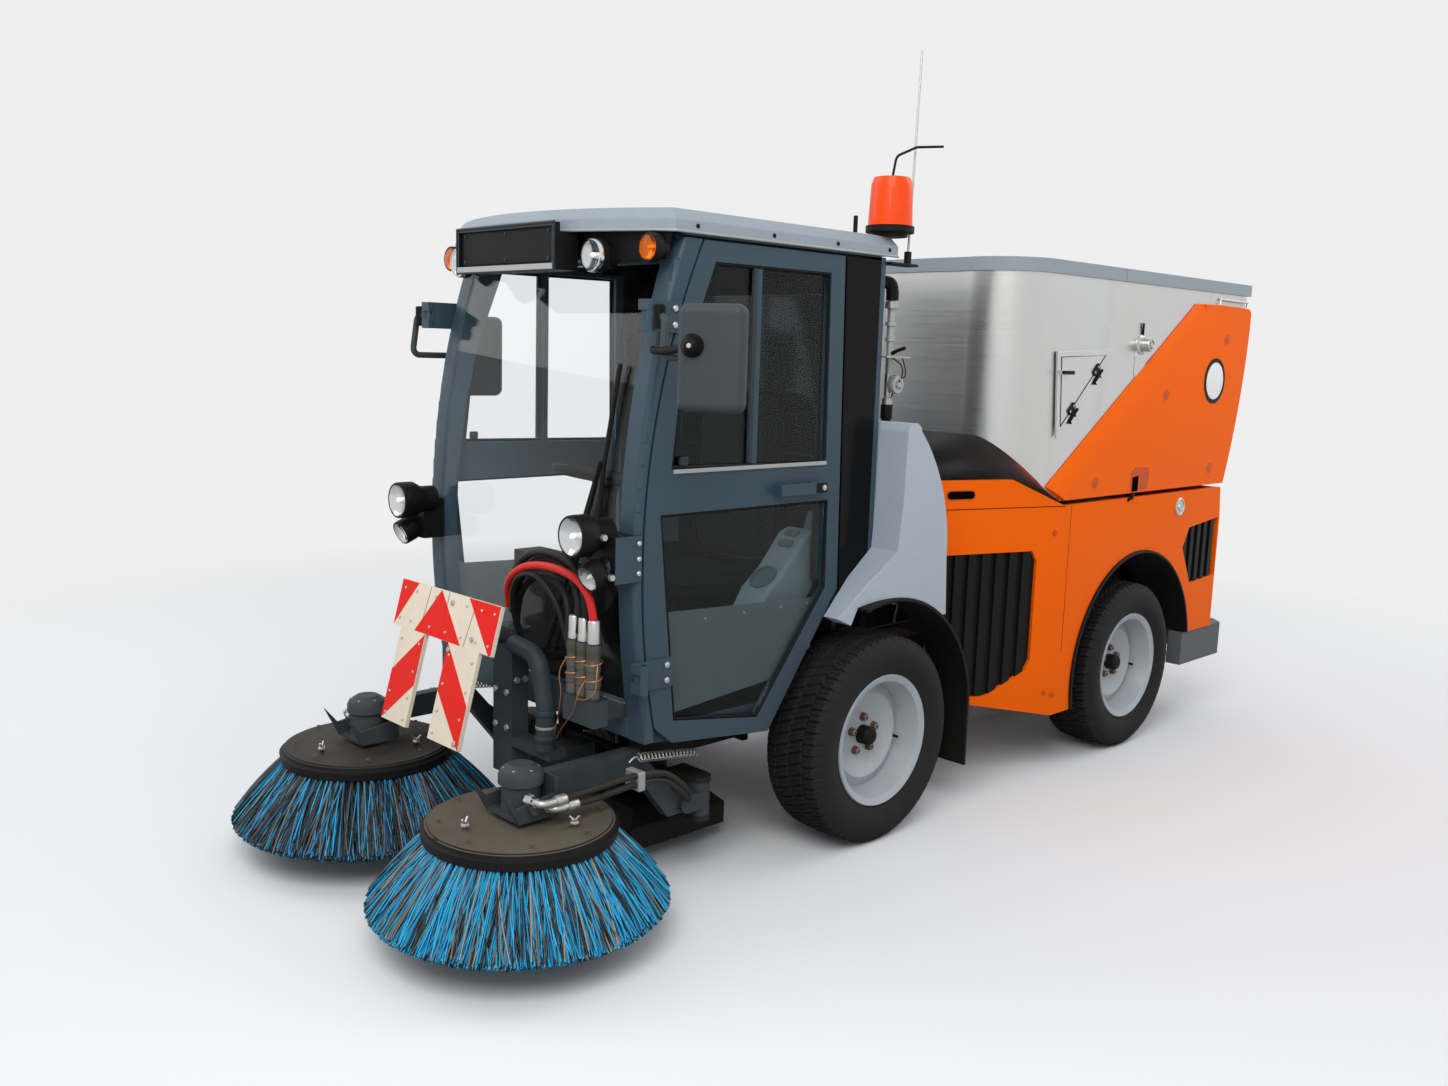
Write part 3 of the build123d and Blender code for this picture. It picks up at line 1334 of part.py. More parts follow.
def tool_plate():
    """Front plate of the carrier, drilled for a third tool."""
    x, y, z = TOOL_PLATE
    half_w, half_h = TOOL_PLATE_HALF_W, TOOL_PLATE_HALF_H
    plate = block((-half_w, half_w), (y, y + TOOL_PLATE_T), (z - half_h, z + half_h))
    half_w, half_h = TOOL_BACK_HALF_W, TOOL_BACK_HALF_H
    back_y = (y + TOOL_PLATE_T, CARRIER_Y[0] - NEAR_GAP)
    plate += block((-half_w, half_w), back_y, (z - half_h, z + half_h))
    for hole_x in (x - TOOL_HOLES[0] / 2, x + TOOL_HOLES[0] / 2):
        for hole_z in (z - TOOL_HOLES[1] / 2, z + TOOL_HOLES[1] / 2):
            mouth = (hole_x, y - OVERRUN, hole_z)
            plate -= rod(mouth, (hole_x, y + TOOL_PLATE_T, hole_z), TOOL_HOLE_R)
    return plate


def broom_bracket():
    """Left swing bracket: a boss on the carrier's pin, and ears for the lift pin."""
    z_low = BEAM_LOW_Z - CARRIER_CHEEK_T + EAR_T + EAR_GAP
    z_high = BEAM_TOP_Z + CARRIER_CHEEK_T - EAR_T - EAR_GAP
    boss = upright(ARM_PIVOT_X, ARM_PIVOT_Y, z_low, z_high, BRACKET_BOSS_R)
    eye_z = (LIFT_Z - LIFT_EYE_R, LIFT_Z + LIFT_EYE_R)
    for side in (1, -1):
        near, far = BRACKET_EAR_IN, BRACKET_BOSS_R
        span = sorted((ARM_PIVOT_X + side * near, ARM_PIVOT_X + side * far))
        boss += block(span, (LIFT_Y, ARM_PIVOT_Y), eye_z)
        boss += crossbar(*span, LIFT_Y, LIFT_Z, LIFT_EYE_R)
    bore_r = ARM_PIN_R + RUNNING_GAP
    boss -= upright(ARM_PIVOT_X, ARM_PIVOT_Y, z_low - OVERRUN, z_high + OVERRUN, bore_r)
    near, far = ARM_PIVOT_X - BRACKET_BOSS_R, ARM_PIVOT_X + BRACKET_BOSS_R
    return boss + crossbar(near, far, LIFT_Y, LIFT_Z, LIFT_PIN_R)


def broom_arm():
    """Left arm: an eye on the lift pin, a boxed beam, and the motor yoke."""
    arm_in, arm_out = ARM_PIVOT_X - ARM_HALF_T, ARM_PIVOT_X + ARM_HALF_T
    eye_r = LIFT_EYE_R - END_GAP
    yoke_z = BROOM_PLATE_Z + YOKE_LIFT
    deck_z = yoke_z + YOKE_T
    back_y = BROOM_Y + YOKE_BACK
    side_in, side_out = BROOM_X - YOKE_HALF_W, BROOM_X + YOKE_HALF_W
    path = outline(
        (LIFT_Y, LIFT_Z - eye_r),
        (LIFT_Y, LIFT_Z + eye_r),
        (LIFT_Y - OVERRUN, LIFT_Z + LIFT_EYE_R + ARM_RISE),
        (ARM_BEND_Y, ARM_TOP_Z),
        (back_y, ARM_TOP_Z),
        (back_y, ARM_TOP_Z - ARM_H),
        (ARM_BEND_Y - ARM_RISE, ARM_TOP_Z - ARM_H),
        (LIFT_Y - ARM_TOE, LIFT_Z - eye_r),
    )
    arm = side_prism(path, arm_in, arm_out)
    arm += crossbar(arm_in, arm_out, LIFT_Y, LIFT_Z, eye_r)
    arm += block((side_in, side_out), (BROOM_Y - YOKE_FRONT, back_y), (yoke_z, deck_z))
    cheek = outline(
        (BROOM_Y - YOKE_HORN[0], yoke_z + YOKE_HORN[1]),
        (BROOM_Y - YOKE_FRONT, yoke_z),
        (back_y, yoke_z),
        (back_y, yoke_z + YOKE_CHEEK_HEIGHTS[0]),
        (BROOM_Y - YOKE_BACK, yoke_z + YOKE_CHEEK_HEIGHTS[1]),
    )
    arm += side_prism(cheek, side_in, side_in + YOKE_T)
    arm += side_prism(cheek, side_out - YOKE_T, side_out)
    arm += block((side_in, side_out), (back_y - YOKE_T, back_y), (yoke_z, ARM_TOP_Z))
    arm -= crossbar(arm_in - END_GAP, arm_out + END_GAP, LIFT_Y, LIFT_Z, LIFT_PIN_R + RUNNING_GAP)
    slim, wide, narrow, head = (MOTOR_R * share for share in MOTOR_R_SHARES)
    low, mid, high, top = (MOTOR_H * share for share in MOTOR_H_SHARES)
    profile = [
        (0, 0),
        (0, slim),
        (low, slim),
        (mid, wide),
        (high, wide),
        (top, narrow),
        (MOTOR_H, head),
        (MOTOR_H, 0),
    ]
    arm += turned(profile, (BROOM_X, BROOM_Y, deck_z), "Z")
    for height in PORT_HEIGHTS:
        start = (BROOM_X, BROOM_Y, deck_z + height)
        arm += rod(start, (BROOM_X + PORT_OUT, BROOM_Y - PORT_SLANT, deck_z + height), PORT_R)
    shaft_r = BROOM_SHAFT_R + RUNNING_GAP
    return arm - upright(BROOM_X, BROOM_Y, yoke_z - END_GAP, deck_z + BROOM_SHAFT_UP, shaft_r)


def broom_disc():
    """Left broom's plate with its rim, drive shaft and clamp bolts."""
    top, height, edge = BROOM_PLATE_Z, BROOM_RIM_H, BROOM_RIM_R
    profile = [
        (0, 0),
        (0, edge - BROOM_RIM_STEPS[0]),
        (height - BROOM_RIM_RISES[0], edge),
        (height - BROOM_RIM_RISES[1], edge - BROOM_RIM_STEPS[1]),
        (height - BROOM_RIM_RISES[2], edge - BROOM_RIM_STEPS[2]),
        (height - BROOM_RIM_RISES[2], edge - BROOM_RIM_STEPS[3]),
        (height, edge - BROOM_RIM_STEPS[4]),
        (height, 0),
    ]
    plate = turned(profile, (BROOM_X, BROOM_Y, top - height), "Z")
    plate += upright(BROOM_X, BROOM_Y, top, top + YOKE_LIFT + YOKE_T + BROOM_SHAFT_IN, BROOM_SHAFT_R)
    for index in range(CLAMP_COUNT):
        angle = radians(CLAMP_TURN + 360 * index / CLAMP_COUNT)
        x, y = BROOM_X + CLAMP_CIRCLE_R * cos(angle), BROOM_Y + CLAMP_CIRCLE_R * sin(angle)
        plate += upright(x, y, top - END_GAP, top + CLAMP_H, CLAMP_R)
    return plate


def broom_bristles():
    """Left broom's skirt of bristles as one flared ring."""
    depth = BROOM_PLATE_Z - BROOM_RIM_H - BROOM_TIP_Z
    root_r = BROOM_RIM_R - BROOM_RIM_STEPS[1]
    ring = [
        (0, BROOM_TIP_R - BROOM_TIP_T),
        (0, BROOM_TIP_R),
        (depth, root_r),
        (depth, root_r - BROOM_ROOT_T),
    ]
    return turned(ring, (BROOM_X, BROOM_Y, BROOM_TIP_Z), "Z")


def suction_nozzle():
    """Low hood behind the brooms, open underneath, with a throat on top."""
    half, wall = HOOD_HALF_W, HOOD_WALL
    low, high = HOOD_Z
    hood = block((-half, half), HOOD_Y, HOOD_Z)
    hood = chamfer(hood.edges().group_by(Axis.Z)[-1], HOOD_BEVEL)
    inside_y = (HOOD_Y[0] + wall, HOOD_Y[1] - wall)
    hood -= block((-half + wall, half - wall), inside_y, (low - OVERRUN, high - HOOD_TOP_T))
    return hood - upright(0, DUCT_Y, low, high + OVERRUN, DUCT_R - DUCT_WALL)


def suction_duct():
    """Pipe from the hood, between the rails, up the hinge line to the hopper."""
    points = [
        (0, DUCT_Y, HOOD_Z[1] + NEAR_GAP),
        (0, DUCT_Y, DUCT_LOW_Z),
        (0, DUCT_RISE_Y, DUCT_LOW_Z),
        (0, PIVOT_Y - DUCT_CREST_AHEAD, DUCT_HIGH_Z),
        (0, PIVOT_Y, DUCT_HIGH_Z),
        (0, PIVOT_Y, DUCT_TOP_Z),
    ]
    return pipe(points, list(DUCT_BENDS), DUCT_R, DUCT_R - DUCT_WALL)


def body_plan(pull=0):
    """Plan of the rear body: tapered nose, straight sides and rounded tail."""
    x, nose_x = HALF_WIDTH - pull, BODY_NOSE_X - pull
    rear = BODY_REAR_Y - pull
    return outline(
        (nose_x, BODY_NOSE_Y),
        (x, BODY_CORNER_Y),
        (x, rear - BODY_REAR_R),
        (x - BODY_REAR_R, rear),
        (-(x - BODY_REAR_R), rear),
        (-x, rear - BODY_REAR_R),
        (-x, BODY_CORNER_Y),
        (-nose_x, BODY_NOSE_Y),
    )


def rear_grille_face(pull=0):
    """Outline of the grille behind the rear wheel, in (y, z)."""
    face = make_face(Polyline(*[behind_axle(step) for step in REAR_GRILLE_STEPS], close=True))
    return offset(face, -pull, kind=Kind.INTERSECTION) if pull else face


def rear_body():
    """Orange shell: sides, tapered nose panels and tail, open below and ahead."""
    low, high, past = BODY_BOTTOM_Z - OVERRUN, BODY_BAND_Z + OVERRUN, BODY_REAR_Y + OVERRUN
    shell = plan_prism(body_plan(), BODY_BOTTOM_Z, BODY_BAND_Z)
    shell -= plan_prism(body_plan(BODY_WALL), low, high)
    mouth = BODY_NOSE_X - BODY_WALL
    shell -= block((-mouth, mouth), (BODY_NOSE_Y - OVERRUN, BODY_NOSE_Y + BODY_WALL), (low, high))
    top_cut = outline(
        (BODY_BAND_Y, BODY_BAND_Z),
        (BODY_CORNER_Y, BODY_TOP_Z),
        (past, BODY_TOP_Z),
        (past, high),
        (BODY_BAND_Y, high),
    )
    bumper_top = BUMPER_Z + BUMPER_H
    tail_cut = outline(
        (BODY_REAR_TOP_Y, BODY_TOP_Z + OVERRUN),
        (BODY_REAR_TOP_Y, BODY_TOP_Z),
        (BODY_REAR_Y, bumper_top),
        (past, bumper_top),
        (past, BODY_TOP_Z + OVERRUN),
    )
    foot_cut = outline(
        (BODY_NOSE_Y - OVERRUN, low),
        (BODY_NOSE_Y - OVERRUN, BODY_BOTTOM_Z + BODY_FOOT_RISE),
        (BODY_CORNER_Y, BODY_BOTTOM_Z),
        (BODY_CORNER_Y, low),
    )
    rear_foot_cut = outline(
        (BUMPER_FRONT_Y, low),
        (BUMPER_FRONT_Y, bumper_top + END_GAP),
        (past, bumper_top + END_GAP),
        (past, low),
    )
    wide = HALF_WIDTH + OVERRUN
    for face in (top_cut, tail_cut, foot_cut, rear_foot_cut):
        shell -= side_prism(face, -wide, wide)
    shell -= crossbar(-wide, wide, WHEELBASE, WHEEL_R, ARCH_R)
    for cutter in both(side_prism(rear_grille_face(), HALF_WIDTH - BODY_WALL * 2, wide)):
        shell -= cutter
    for cutter in both(extrude(nose_plane() * nose_grille_face(), BODY_WALL * 2, both=True)):
        shell -= cutter
    inner = HALF_WIDTH - BODY_WALL
    tail_y = (BODY_REAR_TOP_Y - BODY_WALL, BODY_REAR_TOP_Y - END_GAP)
    tail = block((-inner, inner), tail_y, (FRAME_TOP_Z + NEAR_GAP, BODY_TOP_Z))
    notch_y = (tail_y[0] - OVERRUN, tail_y[1] + OVERRUN)
    notch_x = (-TAIL_NOTCH_HALF_W, TAIL_NOTCH_HALF_W)
    return shell + (tail - block(notch_x, notch_y, (TAIL_NOTCH_Z, BODY_BAND_Z)))


def nose_direction():
    """Unit vector along the left nose panel, front end first, and its length."""
    dx, dy = HALF_WIDTH - BODY_NOSE_X, BODY_CORNER_Y - BODY_NOSE_Y
    length = sqrt(dx * dx + dy * dy)
    return dx / length, dy / length, length


def nose_plane():
    """Plane of the left nose panel: x runs back along it, y up, z outwards."""
    ux, uy, _ = nose_direction()
    return Plane(origin=(BODY_NOSE_X, BODY_NOSE_Y, 0), x_dir=(ux, uy, 0), z_dir=(uy, -ux, 0))


def nose_grille_face(pull=0):
    """The grille's outline on the nose panel, in (along, z)."""
    _, _, length = nose_direction()
    low, high = NOSE_GRILLE_Z
    heel, knee, end = (length * share for share in NOSE_GRILLE_SHARES)
    drop, step, rise, crown = NOSE_GRILLE_CUTS
    return outline(
        (NOSE_GRILLE_IN + pull, low - drop + pull),
        (heel, low - drop + pull),
        (knee - pull, low + step + pull),
        (end - pull, low + rise + pull),
        (end - pull, high - crown - pull),
        (knee - pull, high - pull),
        (NOSE_GRILLE_IN + pull, high - pull),
    )


def nose_grille():
    """Ribbed black grille set in the left nose panel."""
    plane = nose_plane()
    mid_z = (NOSE_GRILLE_Z[0] + NOSE_GRILLE_Z[1]) / 2
    tall = NOSE_GRILLE_Z[1] - NOSE_GRILLE_Z[0] + OVERRUN * 4
    slot = plane * Pos(0, 0, -BODY_WALL + GRILLE_BACK_T)
    backing = extrude(slot * nose_grille_face(NEAR_GAP), GRILLE_BACK_T)
    bars = None
    for index in range(NOSE_RIB_COUNT):
        along = NOSE_GRILLE_IN + GRILLE_RIB * index + GRILLE_RIB * GRILLE_RIB_SHARE / 2
        place = plane * Pos(along, mid_z, -BODY_WALL + GRILLE_BACK_T * 2)
        bar = extrude(place * Rectangle(GRILLE_RIB * GRILLE_RIB_SHARE, tall), GRILLE_RIB_T)
        bars = bar if bars is None else bars + bar
    mask = extrude(plane * Pos(0, 0, -BODY_WALL) * nose_grille_face(NEAR_GAP), BODY_WALL)
    return backing + (bars & mask)


def rear_grille():
    """Ribbed black grille behind the left rear wheel."""
    deep = HALF_WIDTH - BODY_WALL
    face = rear_grille_face(NEAR_GAP)
    grille = side_prism(face, deep, deep + GRILLE_BACK_T)
    tall = (REAR_GRILLE_STEPS[4][1] - OVERRUN, REAR_GRILLE_STEPS[2][1] + OVERRUN)
    slats = None
    for index in range(REAR_RIB_COUNT):
        y = WHEELBASE + REAR_GRILLE_STEPS[0][0] + REAR_RIB_IN + GRILLE_RIB * index
        rib_x = (deep + GRILLE_BACK_T, HALF_WIDTH - GRILLE_BACK_T)
        slat = block(rib_x, (y, y + GRILLE_RIB / 2), tall)
        slats = slat if slats is None else slats + slat
    return grille + (slats & side_prism(face, deep, HALF_WIDTH))


def rear_liners():
    """Black arch liners over the rear wheels."""
    outer, past = ARCH_R - NEAR_GAP, HALF_WIDTH + OVERRUN
    inner_x = HALF_WIDTH - LINER_W
    ring = crossbar(inner_x, HALF_WIDTH + LINER_OUT, WHEELBASE, WHEEL_R, outer)
    ring -= crossbar(inner_x - OVERRUN, past, WHEELBASE, WHEEL_R, outer - LINER_T)
    reach = (WHEELBASE - ARCH_R - 1, WHEELBASE + ARCH_R)
    ring -= block((0, past), reach, (-ARCH_R, BODY_BOTTOM_Z))
    return both(ring - block((0, past), (WHEELBASE, reach[1]), (0, BUMPER_Z + BUMPER_H + END_GAP * 2)))


def rear_bumper():
    """Grey bumper that wraps the rear corners, with its stays."""
    x, corner_y = HALF_WIDTH - CLEAR, BUMPER_REAR_Y - BUMPER_BEVEL
    back_y = BUMPER_REAR_Y - BUMPER_BACK_T
    outer = outline(
        (x, BUMPER_FRONT_Y),
        (x, corner_y),
        (x - BUMPER_BEVEL, BUMPER_REAR_Y),
        (-x + BUMPER_BEVEL, BUMPER_REAR_Y),
        (-x, corner_y),
        (-x, BUMPER_FRONT_Y),
        (-x + BUMPER_T, BUMPER_FRONT_Y),
        (-x + BUMPER_T, back_y),
        (x - BUMPER_T, back_y),
        (x - BUMPER_T, BUMPER_FRONT_Y),
    )
    top = BUMPER_Z + BUMPER_H
    bar = plan_prism(outer, BUMPER_Z, top)
    split = (-BUMPER_SPLIT, BUMPER_SPLIT)
    gap = block(split, (back_y - OVERRUN, BUMPER_REAR_Y + OVERRUN), (BUMPER_Z - 1, top + 1))
    stay_x = RAIL_X + RAIL_T / 2 + NEAR_GAP
    stay = block((stay_x, stay_x + RAIL_T * 2), (BODY_REAR_Y - OVERRUN * 2, back_y), (FRAME_Z, top))
    return bar - gap + stay + mirror(stay, about=Plane.YZ)


def tail_lamps():
    """A round cluster on each side of the tail."""
    x, y = HALF_WIDTH - TAIL_LAMP_IN, BODY_REAR_TOP_Y - END_GAP + NEAR_GAP
    half, thick = TAIL_LAMP_PLATE
    plate_z = (TAIL_LAMP_ZS[1], TAIL_LAMP_ZS[0])
    body = block((x - half, x + half), (y, y + thick), plate_z)
    for z, radius in zip(TAIL_LAMP_ZS, TAIL_LAMP_RS):
        body += rod((x, y, z), (x, y + TAIL_LAMP_D, z), radius)
    return both(body)


def engine_block():
    """The engine and pump as one plain heavy block behind the rear axle."""
    x_span = (-ENGINE_HALF_W, ENGINE_HALF_W)
    y_span = (WHEELBASE - ENGINE_AHEAD, WHEELBASE + ENGINE_BEHIND)
    return block(x_span, y_span, (FRAME_TOP_Z + NEAR_GAP, ENGINE_TOP_Z))


def hopper_plan(pull=0):
    """Plan of the hopper: a bevelled nose with soft corners."""
    x, y = HOPPER_X - pull, HOPPER_NOSE_Y + pull
    rear = HOPPER_REAR_Y + OVERRUN * 3
    nose_x = HOPPER_NOSE_X - pull / 2
    swell_x, swell_y = HOPPER_CORNER_SWELL
    mid_x, mid_y = (x + nose_x) / 2 + swell_x, (HOPPER_CORNER_Y + y) / 2 - swell_y
    return outline(
        (nose_x, y),
        ((mid_x, mid_y), (x, HOPPER_CORNER_Y)),
        (x, rear),
        (-x, rear),
        (-x, HOPPER_CORNER_Y),
        ((-mid_x, mid_y), (-nose_x, y)),
    )


def hopper_side(pull=0):
    """Side view of the hopper in (y, z): raised nose and slanted tail."""
    ahead, low = HOPPER_NOSE_Y - OVERRUN, HOPPER_BOTTOM_Z + pull
    back = REAR_DOOR_T + REAR_DOOR_GAP
    return outline(
        (ahead, HOPPER_NOSE_Z + pull),
        (HOPPER_NOSE_Y, HOPPER_NOSE_Z + pull),
        ((HOPPER_BEND_Y, HOPPER_BEND_Z + pull), (HOPPER_FLAT_Y, low)),
        (HOPPER_REAR_FOOT_Y - back, low),
        (HOPPER_REAR_Y - back, HOPPER_TOP_Z),
        (ahead, HOPPER_TOP_Z),
    )


def hopper_hollow():
    """The room inside the bin, open at the top and the tail."""
    wide = (-HOPPER_X, HOPPER_X)
    past = HOPPER_REAR_Y + OVERRUN * 2
    inner = side_prism(hopper_side(HOPPER_WALL), *wide)
    floor_z = HOPPER_BOTTOM_Z + HOPPER_WALL
    inner += block(wide, (HOPPER_REAR_FOOT_Y - REAR_DOOR_T * 3, past), (floor_z, HOPPER_TOP_Z))
    inner += block(wide, (HOPPER_NOSE_Y, past), (HOPPER_TOP_Z - 1, HOPPER_TOP_Z + OVERRUN))
    return plan_prism(hopper_plan(HOPPER_WALL), HOPPER_BOTTOM_Z, HOPPER_TOP_Z + OVERRUN) & inner


def tip_lug(x):
    """One plate of the bin's tipping hinge, with the bore for its pin."""
    floor_z = HOPPER_BOTTOM_Z + HOPPER_WALL
    face = outline(
        (TIP_PIVOT_Y - TIP_LUG_IN, floor_z),
        (TIP_PIVOT_Y - TIP_LUG_IN, HOPPER_BOTTOM_Z),
        (TIP_PIVOT_Y - TIP_PIN_R * 2, HOPPER_BOTTOM_Z),
        (TIP_PIVOT_Y + TIP_PIN_R, HOPPER_BOTTOM_Z + TIP_PIN_R),
        (TIP_PIVOT_Y + TIP_PIN_R, TIP_PIVOT_Z),
        (TIP_PIVOT_Y, TIP_PIVOT_Z + TIP_PIN_R * 2),
        (TIP_PIVOT_Y - TIP_PIN_R * 4, floor_z + TIP_PIN_R),
    )
    lug = side_prism(face, x - LUG_T / 2, x + LUG_T / 2)
    bore_r = TIP_PIN_R + RUNNING_GAP
    return lug - crossbar(x - LUG_T, x + LUG_T, TIP_PIVOT_Y, TIP_PIVOT_Z, bore_r)


def hopper_tank():
    """Stainless bin: walls and raised nose, open at the top and the tail."""
    tank = plan_prism(hopper_plan(), HOPPER_BOTTOM_Z - OVERRUN, HOPPER_TOP_Z)
    tank &= side_prism(hopper_side(), -HOPPER_X - OVERRUN, HOPPER_X + OVERRUN)
    hollow = hopper_hollow()
    tank -= hollow
    collar_low = DUCT_TOP_Z + CLEAR
    collar_r = INLET_R + INLET_COLLAR
    tank += upright(0, PIVOT_Y, collar_low, HOPPER_BEND_Z + OVERRUN, collar_r) - hollow
    lip_y = HOPPER_REAR_FOOT_Y - REAR_DOOR_T - REAR_DOOR_GAP
    lip_x = HOPPER_X - HOPPER_WALL / 2
    lip_z = (HOPPER_BOTTOM_Z, HOPPER_BOTTOM_Z + REAR_DOOR_FOOT_H - CLEAR)
    tank += block((-lip_x, lip_x), (lip_y - HOPPER_WALL, lip_y), lip_z)
    tank -= upright(0, PIVOT_Y, collar_low - OVERRUN, HOPPER_NOSE_Z, INLET_R)
    wall_x = (HOPPER_X - HOPPER_WALL - 1, HOPPER_X + OVERRUN)
    for opening in both(side_prism(inspection_face(-INSPECTION_LAP), *wall_x)):
        tank -= opening
    for piece in inspection_hinges()[0]:
        for copy in both(piece):
            tank += copy
    tank += crossbar(HOPPER_X - 1, HOPPER_X + FILLER_OUT, *behind_axle(FILLER_STEP), FILLER_R)
    lug_x = RAIL_X + RAIL_T * 3
    for side in (1, -1):
        for dx in (-TIP_LUG_STEP, TIP_LUG_STEP):
            tank += tip_lug(side * lug_x + dx)
    return tank


def inspection_face(grow=0):
    """The inspection door's outline in (y, z), grown on all sides by a distance."""
    face = make_face(Polyline(*[behind_axle(step) for step in INSPECTION_STEPS], close=True))
    return offset(face, grow, kind=Kind.INTERSECTION) if grow else face


def inspection_hinges():
    """Left inspection door's hinges, on the line of its slanted edge."""
    (y1, z1), (y2, z2) = (behind_axle(step) for step in INSPECTION_STEPS[1:])
    length = sqrt((y1 - y2) ** 2 + (z1 - z2) ** 2)
    line = Vector(0, (y1 - y2) / length, (z1 - z2) / length)
    away = Vector(0, line.Z, -line.Y)
    base = Vector(HOPPER_X + INSPECTION_HINGE_OUT, y2, z2) + away * INSPECTION_HINGE_SET
    fixed, moving = [], []
    for share in INSPECTION_HINGE_SHARES:
        centre = base + line * (length * share)
        for piece in hinge_rings(centre, line, away):
            fixed.append(piece)
        moving.append(hinge_middle(centre, line, away))
    return fixed, moving


def hinge_strip(centre, line, away, low, high, side, depth):
    """A flat leaf under a hinge line, between two places on it."""
    corners = [
        centre + line * low,
        centre + line * high,
        centre + line * high + away * side,
        centre + line * low + away * side,
    ]
    face = make_face(Polyline(*corners, close=True))
    return extrude(face, depth, dir=(-1, 0, 0))


def hinge_rings(centre, line, away):
    """Two outer rings of a small hinge with their leaves, and the pin."""
    width = INSPECTION_KNUCKLE
    reach = width + width / 2
    rings = [rod(centre - line * reach, centre + line * reach, INSPECTION_PIN_R)]
    for low in (-reach, width / 2):
        ring = rod(centre + line * low, centre + line * (low + width), INSPECTION_EYE_R)
        places = (low, low + width, INSPECTION_FLANGE, INSPECTION_HINGE_OUT)
        rings.append(ring + hinge_strip(centre, line, away, *places))
    return rings


def hinge_middle(centre, line, away):
    """The middle ring of a small hinge, with the leaf that carries the door."""
    half = INSPECTION_KNUCKLE / 2 - INSPECTION_END_GAP
    ring = rod(centre - line * half, centre + line * half, INSPECTION_EYE_R)
    reach = -INSPECTION_FLANGE - INSPECTION_HINGE_SET
    depth = INSPECTION_HINGE_OUT - INSPECTION_GAP
    ring += hinge_strip(centre, line, away, -half, half, reach, depth)
    bore_r = INSPECTION_PIN_R + RUNNING_GAP
    return ring - rod(centre - line * OVERRUN, centre + line * OVERRUN, bore_r)


def inspection_door():
    """Left inspection door with its two hinge knuckles and latch lever."""
    low = HOPPER_X + INSPECTION_GAP
    high = low + INSPECTION_T
    door = side_prism(inspection_face(), low, high)
    y, z = behind_axle(INSPECTION_STEPS[0])
    latch_z = (z - LATCH_DROP - LATCH_H / 2, z - LATCH_DROP + LATCH_H / 2)
    latch = block((high, high + LATCH_T), (y + LATCH_IN, y + LATCH_IN + LATCH_W), latch_z)
    for piece in inspection_hinges()[1]:
        door += piece
    return door + latch


def hopper_side_panel():
    """Left orange cheek of the hopper, bevelled along its slanted front edge."""
    toe, tip, shoulder, horn = (
        behind_axle(step) for step in (PANEL_TOE, PANEL_TIP, PANEL_SHOULDER, PANEL_HORN[1])
    )
    face = outline(
        toe,
        tip,
        shoulder,
        tuple(behind_axle(step) for step in PANEL_CROWN),
        behind_axle(PANEL_HORN[0]),
        horn,
        tuple(behind_axle(step) for step in PANEL_BACK),
    )
    panel = side_prism(face, HOPPER_X + NEAR_GAP, HALF_WIDTH)
    rise = Vector(0, shoulder[0] - tip[0], shoulder[1] - tip[1]).normalized()
    inward = Vector(0, rise.Z, -rise.Y)
    start = Vector(0, *tip) - rise * OVERRUN
    length = Vector(0, shoulder[0] - tip[0], shoulder[1] - tip[1]).length
    slope = PANEL_BEVEL_T / PANEL_BEVEL_W
    corners = [
        start + inward * PANEL_BEVEL_W + Vector(HALF_WIDTH, 0, 0),
        start - inward * OVERRUN + Vector(HALF_WIDTH - PANEL_BEVEL_T - slope * OVERRUN, 0, 0),
        start - inward * OVERRUN + Vector(HALF_WIDTH + OVERRUN, 0, 0),
        start + inward * PANEL_BEVEL_W + Vector(HALF_WIDTH + OVERRUN, 0, 0),
    ]
    wedge = make_face(Polyline(*corners, close=True))
    return panel - extrude(wedge, length + OVERRUN * 2, dir=rise)


def cover_piece(y_from, y_to):
    """A slice of the grey cover between two places along Y."""
    low, high = HOPPER_TOP_Z + NEAR_GAP, HOPPER_TOP_Z + COVER_H
    slab = plan_prism(hopper_plan(-COVER_OUT), low, high)
    slab -= plan_prism(hopper_plan(HOPPER_WALL), low - OVERRUN, high - COVER_SKIN * 2)
    return slab & block((-HALF_WIDTH, HALF_WIDTH), (y_from, y_to), (low - 1, high + 1))


def hopper_cover():
    """Rear half of the grey cover, fixed to the bin."""
    cover = cover_piece(LID_SPLIT_Y + LID_SPLIT_GAP, HOPPER_REAR_Y + COVER_OUT)
    for piece in gate_hinges()[0] + lid_hinges()[0]:
        cover += piece
    return cover


def front_lid():
    """Front half of the cover, hinged at the split."""
    lid = cover_piece(HOPPER_NOSE_Y - OVERRUN, LID_SPLIT_Y)
    for piece in lid_hinges()[1]:
        lid += piece
    return lid


def knuckle_spans(x):
    """Where the two outer rings of a hinge at x lie along X."""
    reach = KNUCKLE_W + KNUCKLE_W / 2
    return (x - reach, x - KNUCKLE_W / 2), (x + KNUCKLE_W / 2, x + reach)


